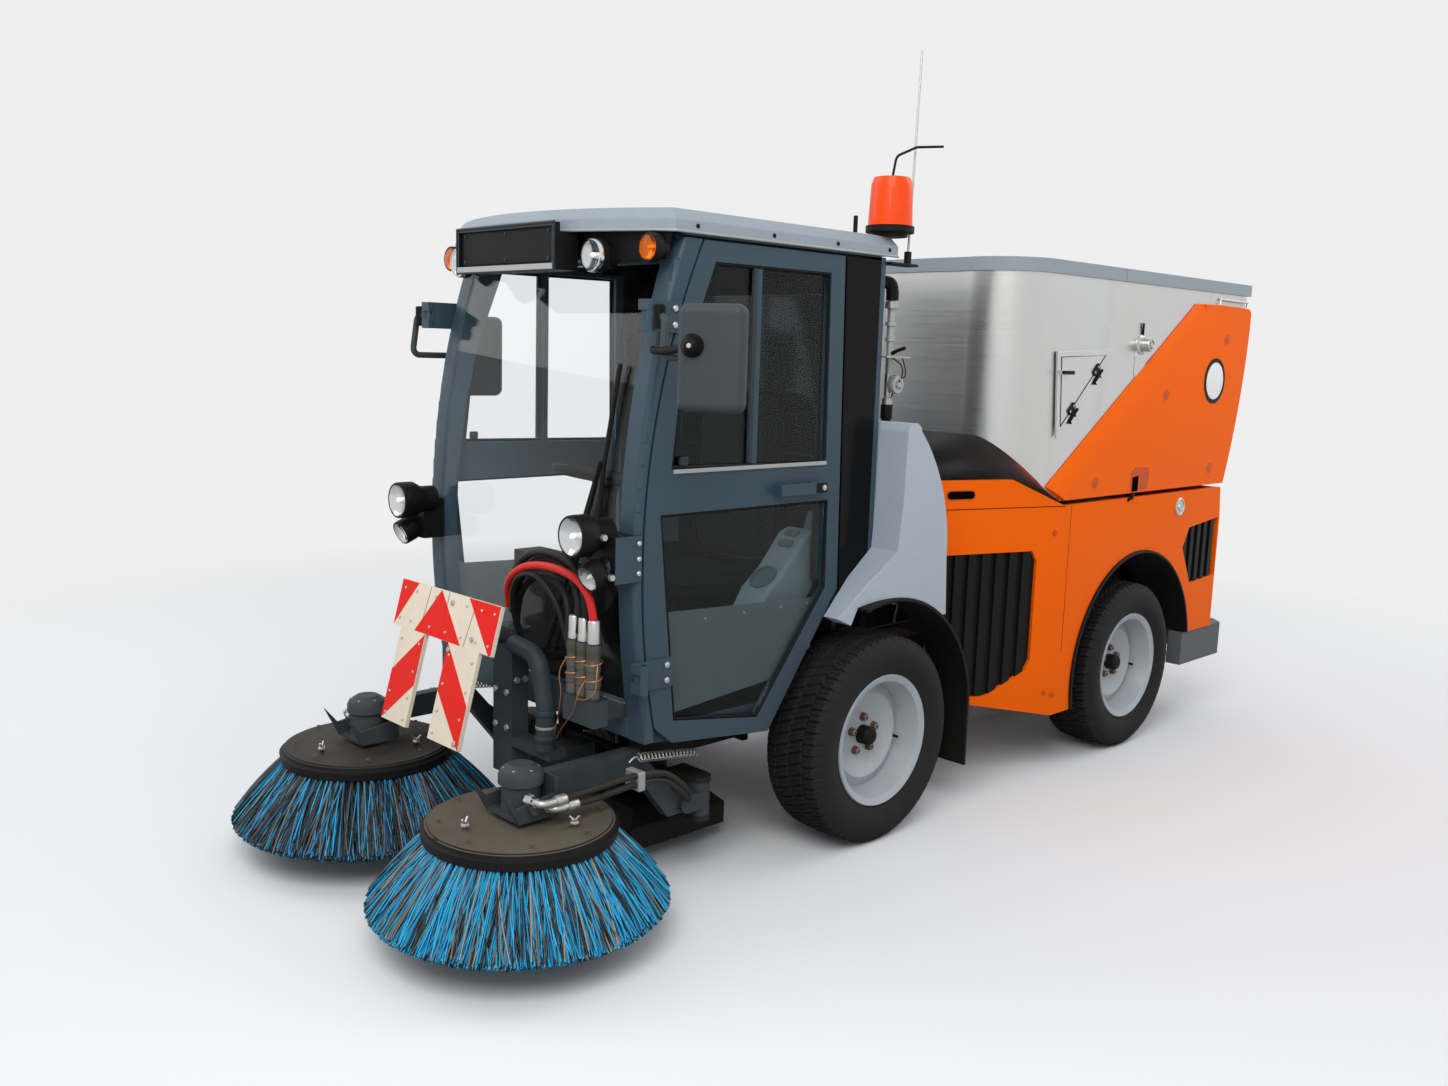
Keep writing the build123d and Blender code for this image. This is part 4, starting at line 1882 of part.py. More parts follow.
def gate_hinges():
    """Rear door hinges: brackets under the cover's tail, and rings on the door."""
    y, z, past = GATE_HINGE_Y, GATE_HINGE_Z, GATE_HINGE_Y + KNUCKLE_R
    top, foot = HOPPER_TOP_Z + COVER_H / 2, HOPPER_TOP_Z + NEAR_GAP
    half = KNUCKLE_W / 2 - NEAR_GAP
    fixed, moving = [], []
    for x in (-GATE_HINGE_X, GATE_HINGE_X):
        for span in knuckle_spans(x):
            ring = crossbar(*span, y, z, KNUCKLE_R)
            ring += block(span, (y - KNUCKLE_R, past), (z, top))
            fixed.append(ring + block(span, (HOPPER_REAR_Y, past), (foot, top)))
        reach = KNUCKLE_W + KNUCKLE_W / 2
        fixed.append(crossbar(x - reach, x + reach, y, z, KNUCKLE_PIN_R))
        leaf_y = (HOPPER_REAR_Y - REAR_DOOR_T, y)
        middle = block((x - half, x + half), leaf_y, (z - KNUCKLE_R, z + KNUCKLE_R / 2))
        middle += crossbar(x - half, x + half, y, z, KNUCKLE_R)
        moving.append(middle - crossbar(x - reach, x + reach, y, z, KNUCKLE_PIN_R + RUNNING_GAP))
    return fixed, moving


def lid_hinges():
    """Front lid hinges on top of the cover at its split."""
    low = HOPPER_TOP_Z + COVER_H - COVER_SKIN
    y, z = LID_SPLIT_Y + LID_SPLIT_GAP / 2, LID_HINGE_Z
    half = KNUCKLE_W / 2 - NEAR_GAP
    fixed, moving = [], []
    for x in (-LID_HINGE_X, LID_HINGE_X):
        for span in knuckle_spans(x):
            strap_y = (LID_SPLIT_Y + LID_SPLIT_GAP, LID_SPLIT_Y + LID_STRAP)
            fixed.append(crossbar(*span, y, z, KNUCKLE_R) + block(span, strap_y, (low, z)))
        reach = KNUCKLE_W + KNUCKLE_W / 2
        fixed.append(crossbar(x - reach, x + reach, y, z, KNUCKLE_PIN_R))
        strap = block((x - half, x + half), (LID_SPLIT_Y - LID_STRAP, LID_SPLIT_Y), (low, z))
        middle = crossbar(x - half, x + half, y, z, KNUCKLE_R) + strap
        moving.append(middle - crossbar(x - reach, x + reach, y, z, KNUCKLE_PIN_R + RUNNING_GAP))
    return fixed, moving


def rear_door():
    """Tail gate of the hopper, hinged at its top edge."""
    foot, head = HOPPER_REAR_FOOT_Y + REAR_DOOR_FOOT_OUT, HOPPER_REAR_Y
    low, high = HOPPER_BOTTOM_Z + REAR_DOOR_FOOT_H, HOPPER_TOP_Z - CLEAR
    face = outline(
        (foot - REAR_DOOR_T, low),
        (foot, low),
        (head, high),
        (head - REAR_DOOR_T, high),
    )
    door = side_prism(face, -HOPPER_X + CLEAR, HOPPER_X - CLEAR)
    for piece in gate_hinges()[1]:
        door += piece
    return door


def beacon():
    """Amber beacon on its black base at the cab's left rear corner."""
    x, y = BEACON
    low = ROOF_TOP_Z + NEAR_GAP
    foot_z = low + BEACON_BASE_H
    base = upright(x, y, low, foot_z, BEACON_BASE_R)
    foot = upright(x, y, foot_z, foot_z + BEACON_FOOT_H, BEACON_FOOT_R)
    drum = [
        (0, 0),
        (0, BEACON_DRUM_R),
        (BEACON_H - BEACON_FOOT_H, BEACON_TOP_R),
        (BEACON_H, BEACON_BASE_R),
        (BEACON_H, 0),
    ]
    return base + foot + turned(drum, (x, y, foot_z), "Z")


def antennas():
    """Gooseneck on the beacon, whip aerial behind the cab and a short mast."""
    neck = pipe(GOOSENECK, [GOOSENECK_BEND, GOOSENECK_BEND], GOOSENECK_R)
    x, y, z = WHIP_FOOT
    whip = rod(WHIP_FOOT, WHIP_TIP, WHIP_R)
    whip += upright(x, y, z, z + WHIP_BASE_H, WHIP_BASE_R)
    half, thick = WHIP_SHELF
    shelf_y = (CAB_REAR_Y + NEAR_GAP, y + half)
    whip += block((x - half, x + half), shelf_y, (z - thick, z))
    mast_x, mast_y = STUB_AERIAL
    mast_z = ROOF_TOP_Z + NEAR_GAP
    mast = upright(mast_x, mast_y, mast_z, mast_z + STUB_AERIAL_H, STUB_AERIAL_R)
    return [neck, whip, mast]


def warning_board():
    """Striped board in front: a cross bar and two legs, leaning back."""
    left, right = BOARD_X
    half = BOARD_T / 2
    board = block((left, right), (-half, half), (0, BOARD_H))
    for leg in BOARD_LEGS:
        board += block(leg, (-half, half), (-BOARD_LEG_H, 0))
    return Pos(0, *BOARD_PLACE) * Rot(-BOARD_LEAN, 0, 0) * board


def front_boom():
    """Central post, its tie and brace, and the bent tube beside it."""
    post = block((-POST_HALF_W, POST_HALF_W), POST_Y, POST_Z)
    tie_y = (POST_Y[1] - OVERRUN, TOOL_PLATE[1] - NEAR_GAP)
    tie = block((-TIE_HALF_W, TIE_HALF_W), tie_y, TIE_Z)
    lean = radians(BOARD_LEAN)
    up, back = Vector(0, sin(lean), cos(lean)), Vector(0, cos(lean), -sin(lean))
    end = Vector(0, *BOARD_PLACE) + up * (BOARD_H * BRACE_SHARE) + back * (BOARD_T / 2 + NEAR_GAP)
    brace = rod(end, end + back * ((POST_Y[0] + BRACE_R - end.Y) / cos(lean)), BRACE_R)
    tube = pipe(BOOM_TUBE, list(BOOM_TUBE_BENDS), BOOM_TUBE_R)
    foot = block((0, BOOM_FOOT_X), (POST_Y[0], POST_Y[1]), BOOM_FOOT_Z)
    return post + tie + brace + tube + foot


def front_hoses():
    """Three hydraulic hoses that arch from the couplers over to the post."""
    hoses, couplers = [], []
    for index, radius in enumerate(HOSE_RS):
        x = HOSE_START_X - HOSE_STEP * index
        points = [
            (x, HOSE_Y, COUPLER_Z[1]),
            (x, HOSE_Y, HOSE_CREST_Z + HOSE_CREST_STEP * index),
            (HOSE_FAR[0] + HOSE_FAR_STEPS[0] * index, HOSE_FAR[1], HOSE_FAR[2] + HOSE_FAR_STEPS[1] * index),
            (HOSE_END[0] + HOSE_END_STEPS[0] * index, HOSE_END[1] + HOSE_END_STEPS[1] * index, HOSE_END[2]),
        ]
        hoses.append(pipe(points, list(HOSE_BENDS), radius))
        couplers.append(upright(x, HOSE_Y, COUPLER_Z[0], COUPLER_Z[1] - NEAR_GAP, COUPLER_R))
    rack = block(RACK_X, RACK_Y, (RACK_Z, COUPLER_Z[0] - NEAR_GAP))
    stem_y = (RACK_Y[0], NOSE_FOOT[0] - NEAR_GAP)
    rack += block(RACK_STEM_X, stem_y, (RACK_Z, FRONT_BEAM_Z - END_GAP))
    return hoses, couplers, rack


def build():
    """Make every node."""
    wheels()
    keep("front_frame", front_frame(), axle(0))
    keep("rear_frame", rear_frame(), axle(WHEELBASE))
    hinges = [copy for piece in doors() for copy in both(piece)]
    keep("cab_pillars", both(cab_pillars()), cab_head(), hinges)
    keep("cab_tub", cab_floor(), cab_rear_wall())
    keep("quarter_panels", both(quarter_panel()))
    keep("cab_glass", windscreen(), rear_window())
    keep("cab_roof", cab_roof())
    keep("roof_brow", lamp_panel(), plate_box())
    keep("lamps", roof_lamps(), headlamps())
    keep("wiper", wiper())
    keep("seat", seat())
    keep("cab_controls", steering(), console())
    keep("front_fenders", front_fenders())
    keep("front_mudguards", front_mudguards())
    keep("beacon", beacon(), antennas())
    keep("broom_carrier", broom_carrier(), tool_plate())
    keep("suction_gear", suction_nozzle(), suction_duct())
    keep("warning_board", warning_board())
    hoses, couplers, rack = front_hoses()
    keep("front_boom", front_boom(), rack, couplers)
    keep("front_hoses", hoses)
    for node, make in (
        ("broom_bracket", broom_bracket),
        ("broom_arm", broom_arm),
        ("broom_disc", broom_disc),
        ("broom_bristles", broom_bristles),
        ("inspection_door", inspection_door),
    ):
        left, right = both(make())
        keep(f"{node}_left", left)
        keep(f"{node}_right", right)
    keep("rear_body", rear_body())
    keep("rear_grilles", both(nose_grille()), both(rear_grille()))
    keep("rear_liners", rear_liners())
    keep("rear_bumper", rear_bumper(), tow_jaw(), tail_lamps())
    keep("engine_block", engine_block())
    keep("hopper_tank", hopper_tank())
    keep("hopper_side_panels", both(hopper_side_panel()))
    keep("hopper_cover", hopper_cover())
    keep("hopper_front_lid", front_lid())
    keep("hopper_rear_door", rear_door())


if __name__ == "__main__":
    build()
    os.makedirs("parts", exist_ok=True)
    for node, solids in PARTS.items():
        bodies = [body for piece in solids for body in piece.solids()]
        shape = bodies[0] if len(bodies) == 1 else Compound(children=bodies)
        export_step(shape, f"parts/{node}.step")
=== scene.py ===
import json
from math import cos, pi, radians, sin

import bmesh
import bpy
import numpy as np
from mathutils import Matrix, Vector

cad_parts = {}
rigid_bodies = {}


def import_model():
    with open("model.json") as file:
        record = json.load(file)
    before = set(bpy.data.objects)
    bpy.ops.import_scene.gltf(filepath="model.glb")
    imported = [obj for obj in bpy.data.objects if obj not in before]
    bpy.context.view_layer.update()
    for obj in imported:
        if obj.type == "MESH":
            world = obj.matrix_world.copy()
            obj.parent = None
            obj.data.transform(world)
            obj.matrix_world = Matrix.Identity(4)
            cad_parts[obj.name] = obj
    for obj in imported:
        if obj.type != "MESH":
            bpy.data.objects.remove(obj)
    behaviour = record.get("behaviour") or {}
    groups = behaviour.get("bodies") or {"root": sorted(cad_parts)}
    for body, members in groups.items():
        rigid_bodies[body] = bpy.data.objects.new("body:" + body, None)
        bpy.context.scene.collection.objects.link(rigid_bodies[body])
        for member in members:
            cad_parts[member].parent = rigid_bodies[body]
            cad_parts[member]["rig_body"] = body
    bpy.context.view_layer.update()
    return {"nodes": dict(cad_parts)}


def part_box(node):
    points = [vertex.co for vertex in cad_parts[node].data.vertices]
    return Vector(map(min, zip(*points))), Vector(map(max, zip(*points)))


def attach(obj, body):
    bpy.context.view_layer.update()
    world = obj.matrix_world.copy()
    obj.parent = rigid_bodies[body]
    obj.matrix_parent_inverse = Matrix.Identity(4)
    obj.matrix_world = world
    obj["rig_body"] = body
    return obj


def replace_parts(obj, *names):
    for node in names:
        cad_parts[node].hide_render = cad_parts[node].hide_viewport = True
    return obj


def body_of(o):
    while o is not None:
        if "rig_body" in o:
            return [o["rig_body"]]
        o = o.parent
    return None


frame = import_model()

NODES = frame["nodes"]

# Places are measured along Y from the front axle, as the machine's drawing has them
TYRE_LOW, TYRE_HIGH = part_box("tyre_front_left")
AXLE_Y = (TYRE_LOW.y + TYRE_HIGH.y) / 2
REAR_LOW, REAR_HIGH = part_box("tyre_rear_left")
REAR_AXLE_Y = (REAR_LOW.y + REAR_HIGH.y) / 2
WHEEL_R = TYRE_HIGH.z / 2
WHEEL_X = (TYRE_LOW.x + TYRE_HIGH.x) / 2
TYRE_W = TYRE_HIGH.x - TYRE_LOW.x
SIDES = (("left", 1.0), ("right", -1.0))


def at(x, y, z):
    """A place measured from the front axle, in the frame."""
    return np.array([x, y + AXLE_Y, z], float)


# Every dressed node by its name
SKINS = {}

# Mesh tools


def piece(name, verts, faces, material, body, smooth=True):
    """A mesh object from arrays, dressed, declared and riding on its body."""
    mesh = bpy.data.meshes.new(name)
    mesh.from_pydata(np.asarray(verts, float).reshape(-1, 3).tolist(), [], [list(f) for f in faces])
    mesh.update()
    mesh.polygons.foreach_set("use_smooth", [smooth] * len(mesh.polygons))
    return declare(mesh, name, material, body)


def quad_piece(name, verts, quads, material, body, smooth=True, replaces=()):
    """A mesh object of many quads, filled as whole arrays."""
    verts = np.ascontiguousarray(verts, np.float32).reshape(-1, 3)
    quads = np.ascontiguousarray(quads, np.int32).reshape(-1, 4)
    mesh = bpy.data.meshes.new(name)
    mesh.vertices.add(len(verts))
    mesh.vertices.foreach_set("co", verts.ravel())
    mesh.loops.add(quads.size)
    mesh.loops.foreach_set("vertex_index", quads.ravel())
    mesh.polygons.add(len(quads))
    mesh.polygons.foreach_set("loop_start", np.arange(0, quads.size, 4, dtype=np.int32))
    mesh.polygons.foreach_set("use_smooth", [smooth] * len(quads))
    mesh.update(calc_edges=True)
    mesh.validate()
    return declare(mesh, name, material, body, replaces)


def declare(mesh, name, material, body, replaces=()):
    """Links a mesh as an object with its material, slot and body."""
    mesh.materials.append(material)
    obj = bpy.data.objects.new(name, mesh)
    bpy.context.scene.collection.objects.link(obj)
    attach(obj, body)
    if replaces:
        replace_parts(obj, *replaces)
    return obj


EDGE_ANGLE = 30


def bevel(obj, width, segments=2):
    """Rounds an object's sharp edges and shades it by its faces."""
    modifier = obj.modifiers.new("edge", "BEVEL")
    modifier.width = width
    modifier.segments = segments
    modifier.limit_method = "ANGLE"
    modifier.angle_limit = radians(EDGE_ANGLE)
    modifier.harden_normals = True
    return obj


def flip_out(obj):
    """Recalculates a closed mesh's normals so that they point outwards."""
    work = bmesh.new()
    work.from_mesh(obj.data)
    bmesh.ops.remove_doubles(work, verts=work.verts, dist=1e-6)
    bmesh.ops.recalc_face_normals(work, faces=work.faces)
    work.to_mesh(obj.data)
    work.free()
    return obj


def grid_faces(rows, cols, wrap_rows=False, wrap_cols=False):
    """Quads of a grid of rows by cols points, closed round either way."""
    r = np.arange(rows if wrap_rows else rows - 1)
    c = np.arange(cols if wrap_cols else cols - 1)
    r, c = np.meshgrid(r, c, indexing="ij")
    r2, c2 = (r + 1) % rows, (c + 1) % cols
    return np.stack([r * cols + c, r * cols + c2, r2 * cols + c2, r2 * cols + c], -1).reshape(-1, 4)


def basis(direction):
    """Two unit vectors square to a direction."""
    d = np.asarray(direction, float) / np.linalg.norm(direction)
    helper = np.array([0, 0, 1.0]) if abs(d[2]) < 0.9 else np.array([1.0, 0, 0])
    u = np.cross(helper, d)
    u /= np.linalg.norm(u)
    return u, np.cross(d, u), d


def lathe(profile, origin, axis, sides=48):
    """Points (along, radius) turned about an axis through origin: along d plus r (u cos t + v sin t)."""
    u, v, d = basis(axis)
    t = np.linspace(0, 2 * pi, sides, endpoint=False)
    p = np.asarray(profile, float)
    ring = np.cos(t)[None, :, None] * u + np.sin(t)[None, :, None] * v
    verts = np.asarray(origin, float) + p[:, 0, None, None] * d + p[:, 1, None, None] * ring
    quads = grid_faces(len(p), sides, wrap_cols=True)
    return verts.reshape(-1, 3), [list(q) for q in quads]


def turned(name, profile, origin, axis, material, body, sides=48):
    """A closed turned piece: a lathe surface with its two ends capped."""
    verts, faces = lathe(profile, origin, axis, sides)
    n = len(profile)
    faces.append(list(range(sides - 1, -1, -1)))
    faces.append(list(range((n - 1) * sides, n * sides)))
    return shade_by_angle(flip_out(piece(name, verts, faces, material, body)))


def shade_by_angle(obj, angle=32):
    """Marks edges over an angle as sharp, so that smooth faces meet crisply."""
    work = bmesh.new()
    work.from_mesh(obj.data)
    limit = radians(angle)
    for edge in work.edges:
        edge.smooth = len(edge.link_faces) == 2 and edge.calc_face_angle(0) < limit
    for face in work.faces:
        face.smooth = True
    work.to_mesh(obj.data)
    work.free()
    return obj


def smooth_path(points, steps=8):
    """Smooth curve through the points: a cubic for each span, with slopes taken from its neighbours."""
    p = np.asarray(points, float)
    p = np.vstack([2 * p[0] - p[1], p, 2 * p[-1] - p[-2]])
    t = np.linspace(0, 1, steps, endpoint=False)[:, None]
    out = []
    for a, b, c, d in zip(p[:-3], p[1:-2], p[2:-1], p[3:]):
        square, cube = 2 * a - 5 * b + 4 * c - d, 3 * b - a - 3 * c + d
        out.append(0.5 * (2 * b + (c - a) * t + square * t**2 + cube * t**3))
    out.append(p[-2][None])
    return np.vstack(out)


def tube_arrays(path, radius, sides=10, closed=False):
    """Rings square to a path, as path + r (u cos t + v sin t), with v leaning on the path's own plane."""
    path = np.asarray(path, float)
    tangent = np.roll(path, -1, 0) - np.roll(path, 1, 0) if closed else np.gradient(path, axis=0)
    tangent /= np.linalg.norm(tangent, axis=1)[:, None]
    normal = np.linalg.svd(path - path.mean(0))[2][2]
    v = normal - (tangent @ normal)[:, None] * tangent
    v /= np.linalg.norm(v, axis=1)[:, None]
    u = np.cross(v, tangent)
    t = np.linspace(0, 2 * pi, sides, endpoint=False)[None, :, None]
    r = np.broadcast_to(np.asarray(radius, float), (len(path),))[:, None, None]
    verts = path[:, None] + r * (u[:, None] * np.cos(t) + v[:, None] * np.sin(t))
    faces = grid_faces(len(path), sides, wrap_rows=closed, wrap_cols=True).tolist()
    if not closed:
        faces.append(list(range(sides)))
        faces.append(list(range((len(path) - 1) * sides, len(path) * sides))[::-1])
    return verts.reshape(-1, 3), faces


def tube(name, points, radius, material, body, sides=12, steps=8, closed=False):
    """A round hose, bar or bead along a smooth curve, or straight from point to point."""
    path = smooth_path(points, steps) if steps else np.asarray(points, float)
    verts, faces = tube_arrays(path, radius, sides, closed)
    return shade_by_angle(flip_out(piece(name, verts, faces, material, body)), 50)


def paint_solids(obj, material, where):
    """Gives a second material to every separate solid whose lowest and highest corners fit the test."""
    mesh = obj.data
    ends = np.empty(len(mesh.edges) * 2, np.int64)
    mesh.edges.foreach_get("vertices", ends)
    a, b = ends.reshape(-1, 2).T
    label, before = np.arange(len(mesh.vertices)), None
    while before is None or (label != before).any():
        before = label.copy()
        lowest = np.minimum(label[a], label[b])
        np.minimum.at(label, a, lowest)
        np.minimum.at(label, b, lowest)
        label = label[label]
    points = np.empty(len(mesh.vertices) * 3)
    mesh.vertices.foreach_get("co", points)
    points = points.reshape(-1, 3) - (0, AXLE_Y, 0)
    names, solid = np.unique(label, return_inverse=True)
    low, high = np.full((len(names), 3), np.inf), np.full((len(names), 3), -np.inf)
    np.minimum.at(low, solid, points)
    np.maximum.at(high, solid, points)
    chosen = where(low, high)
    first = np.empty(len(mesh.polygons), np.int64)
    mesh.polygons.foreach_get("loop_start", first)
    corner = np.empty(len(mesh.loops), np.int64)
    mesh.loops.foreach_get("vertex_index", corner)
    index = np.empty(len(mesh.polygons), np.int32)
    mesh.polygons.foreach_get("material_index", index)
    mesh.materials.append(material)
    index[chosen[solid[corner[first]]]] = len(mesh.materials) - 1
    mesh.polygons.foreach_set("material_index", index)
    mesh.update()


def box_arrays(low, high):
    """The eight corners of a box and its six faces."""
    low, high = np.minimum(low, high), np.maximum(low, high)
    pick = np.array([[i & 1, i >> 1 & 1, i >> 2 & 1] for i in range(8)])
    faces = [[0, 2, 3, 1], [4, 5, 7, 6], [0, 1, 5, 4], [2, 6, 7, 3], [0, 4, 6, 2], [1, 3, 7, 5]]
    return np.where(pick, high, low), faces


def slab(name, spans, material, body, edge=0.002):
    """A box between two places measured from the front axle, with rounded edges."""
    low, high = (at(*corner) for corner in spans)
    verts, faces = box_arrays(low, high)
    return bevel(flip_out(piece(name, verts, faces, material, body, False)), edge)


def bolts(name, places, axis, radius, height, material, body, dome=True):
    """Bolt heads at places measured from the front axle, all facing one way."""
    parts = [bolt_arrays(at(*place), axis, radius, height, dome) for place in places]
    return join(name, parts, material, body)


def paint(obj, material, where):
    """Gives a second material to the faces whose centres lie where asked."""
    mesh = obj.data
    centres = np.empty(len(mesh.polygons) * 3)
    mesh.polygons.foreach_get("center", centres)
    x, y, z = (centres.reshape(-1, 3) - (0, AXLE_Y, 0)).T
    index = np.empty(len(mesh.polygons), np.int32)
    mesh.polygons.foreach_get("material_index", index)
    mesh.materials.append(material)
    index[where(x, y, z)] = len(mesh.materials) - 1
    mesh.polygons.foreach_set("material_index", index)
    mesh.update()


def cut_away(obj, where):
    """Takes out the faces of a skin whose middles fit the test; other pieces replace them."""
    mesh = bmesh.new()
    mesh.from_mesh(obj.data)
    middles = np.array([face.calc_center_median() for face in mesh.faces])
    x, y, z = middles[:, 0], middles[:, 1] - AXLE_Y, middles[:, 2]
    faces = [face for face, gone in zip(list(mesh.faces), where(x, y, z)) if gone]
    bmesh.ops.delete(mesh, geom=faces, context="FACES")
    mesh.to_mesh(obj.data)
    mesh.free()


def plate(name, outline, origin, x_dir, y_dir, depth, material, body, slot, edge=0.0015, segments=2):
    """A flat outline in its own plane, thickened along the plane's normal."""
    o, xd, yd = (np.asarray(v, float) for v in (origin, x_dir, y_dir))
    normal = np.cross(xd, yd)
    pts = np.asarray(outline, float)
    base = o + pts[:, :1] * xd + pts[:, 1:] * yd
    verts = np.vstack([base, base + normal * depth])
    n = len(pts)
    faces = [list(range(n))[::-1], list(range(n, 2 * n))]
    faces += [[i, (i + 1) % n, n + (i + 1) % n, n + i] for i in range(n)]
    obj = flip_out(piece(name, verts, faces, material, body, False))
    return bevel(obj, edge, segments) if edge else obj


def rounded(width, height, radius, steps=5):
    """Outline of a rectangle with round corners, about the origin."""
    pts = []
    for cx, cy, start in ((1, 1, 0), (-1, 1, 90), (-1, -1, 180), (1, -1, 270)):
        for a in np.radians(np.linspace(start, start + 90, steps)):
            pts.append(
                (cx * (width / 2 - radius) + radius * cos(a), cy * (height / 2 - radius) + radius * sin(a))
            )
    return pts


def join(name, parts, material, body):
    """Many (verts, faces) pairs as one piece."""
    verts, faces, base = [], [], 0
    for v, f in parts:
        v = np.asarray(v, float).reshape(-1, 3)
        verts.append(v)
        faces += [[i + base for i in face] for face in f]
        base += len(v)
    return shade_by_angle(flip_out(piece(name, np.vstack(verts), faces, material, body)))


def bolt_arrays(place, axis, radius=0.008, height=0.006, dome=True):
    """A small domed bolt head: rings of six or twelve points and a closed cap."""
    sides = 12 if dome else 6
    profile = [(0, radius), (height * 0.6, radius)]
    profile += [(height * 0.9, radius * 0.75), (height, radius * 0.3)] if dome else [(height, radius * 0.86)]
    verts, faces = lathe(profile, place, axis, sides)
    n = len(profile)
    faces.append(list(range((n - 1) * sides, n * sides)))
    faces.append(list(range(sides))[::-1])
    return verts, faces


def dress(node, material, edge=0.002):
    """A clean copy of a node's mesh, with its edges rounded, that stands for the node."""
    source = NODES[node]
    mesh = source.data.copy()
    mesh.name = node + "_skin"
    work = bmesh.new()
    work.from_mesh(mesh)
    bmesh.ops.remove_doubles(work, verts=work.verts, dist=2e-5)
    bmesh.ops.dissolve_degenerate(work, edges=work.edges, dist=1e-5)
    bmesh.ops.dissolve_limit(work, angle_limit=radians(0.6), verts=work.verts, edges=work.edges)
    limit = radians(EDGE_ANGLE)
    for e in work.edges:
        e.smooth = len(e.link_faces) == 2 and e.calc_face_angle(0) < limit
    for f in work.faces:
        f.smooth = True
    work.to_mesh(mesh)
    work.free()
    mesh.materials.clear()
    obj = bpy.data.objects.new(node + "_skin", mesh)
    bpy.context.scene.collection.objects.link(obj)
    mesh.materials.append(material)
    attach(obj, body_of(source)[0])
    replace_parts(obj, node)
    if edge:
        bevel(obj, edge)
    SKINS[node] = obj
    return obj


# Finishes


def new_group(name, inputs, outputs):
    """An empty shader node group with named sockets and their default values."""
    group = bpy.data.node_groups.new(name, "ShaderNodeTree")
    for label, kind, value in inputs:
        socket = group.interface.new_socket(label, in_out="INPUT", socket_type=kind)
        socket.default_value = value
    for label, kind in outputs:
        group.interface.new_socket(label, in_out="OUTPUT", socket_type=kind)
    return group, group.nodes.new("NodeGroupInput"), group.nodes.new("NodeGroupOutput")


def noise_node(tree, vector, scale, detail=4.0, rough=0.6, stretch=None):
    """Noise on the given coordinates, stretched along the axes where asked."""
    if stretch:
        mapping = tree.nodes.new("ShaderNodeMapping")
        mapping.inputs["Scale"].default_value = stretch
        tree.links.new(vector, mapping.inputs["Vector"])
        vector = mapping.outputs["Vector"]
    noise = tree.nodes.new("ShaderNodeTexNoise")
    noise.inputs["Detail"].default_value = detail
    noise.inputs["Roughness"].default_value = rough
    if isinstance(scale, (int, float)):
        noise.inputs["Scale"].default_value = scale
    else:
        tree.links.new(scale, noise.inputs["Scale"])
    tree.links.new(vector, noise.inputs["Vector"])
    return noise.outputs["Fac"]


def ramp(tree, value, stops):
    """A colour ramp through (position, colour) stops."""
    node = tree.nodes.new("ShaderNodeValToRGB")
    while len(node.color_ramp.elements) < len(stops):
        node.color_ramp.elements.new(0.5)
    for element, (position, colour) in zip(node.color_ramp.elements, stops):
        element.position = position
        element.color = colour if len(colour) == 4 else (*colour, 1)
    tree.links.new(value, node.inputs["Fac"])
    return node.outputs["Color"]


def grey(value):
    """A grey colour of the given lightness."""
    return (value, value, value, 1)


def math(tree, kind, a, b=None):
    """A math node of one or two values."""
    node = tree.nodes.new("ShaderNodeMath")
    node.operation = kind
    for socket, value in zip(node.inputs, (a, b)):
        if value is None:
            continue
        if isinstance(value, (int, float)):
            socket.default_value = value
        else:
            tree.links.new(value, socket)
    return node.outputs[0]


def mix(tree, factor, a, b):
    """Colour a to colour b by a factor."""
    node = tree.nodes.new("ShaderNodeMix")
    node.data_type = "RGBA"
    for socket, value in ((node.inputs[0], factor), (node.inputs[6], a), (node.inputs[7], b)):
        if isinstance(value, (int, float)):
            socket.default_value = value
        elif isinstance(value, tuple):
            socket.default_value = value
        else:
            tree.links.new(value, socket)
    return node.outputs[2]


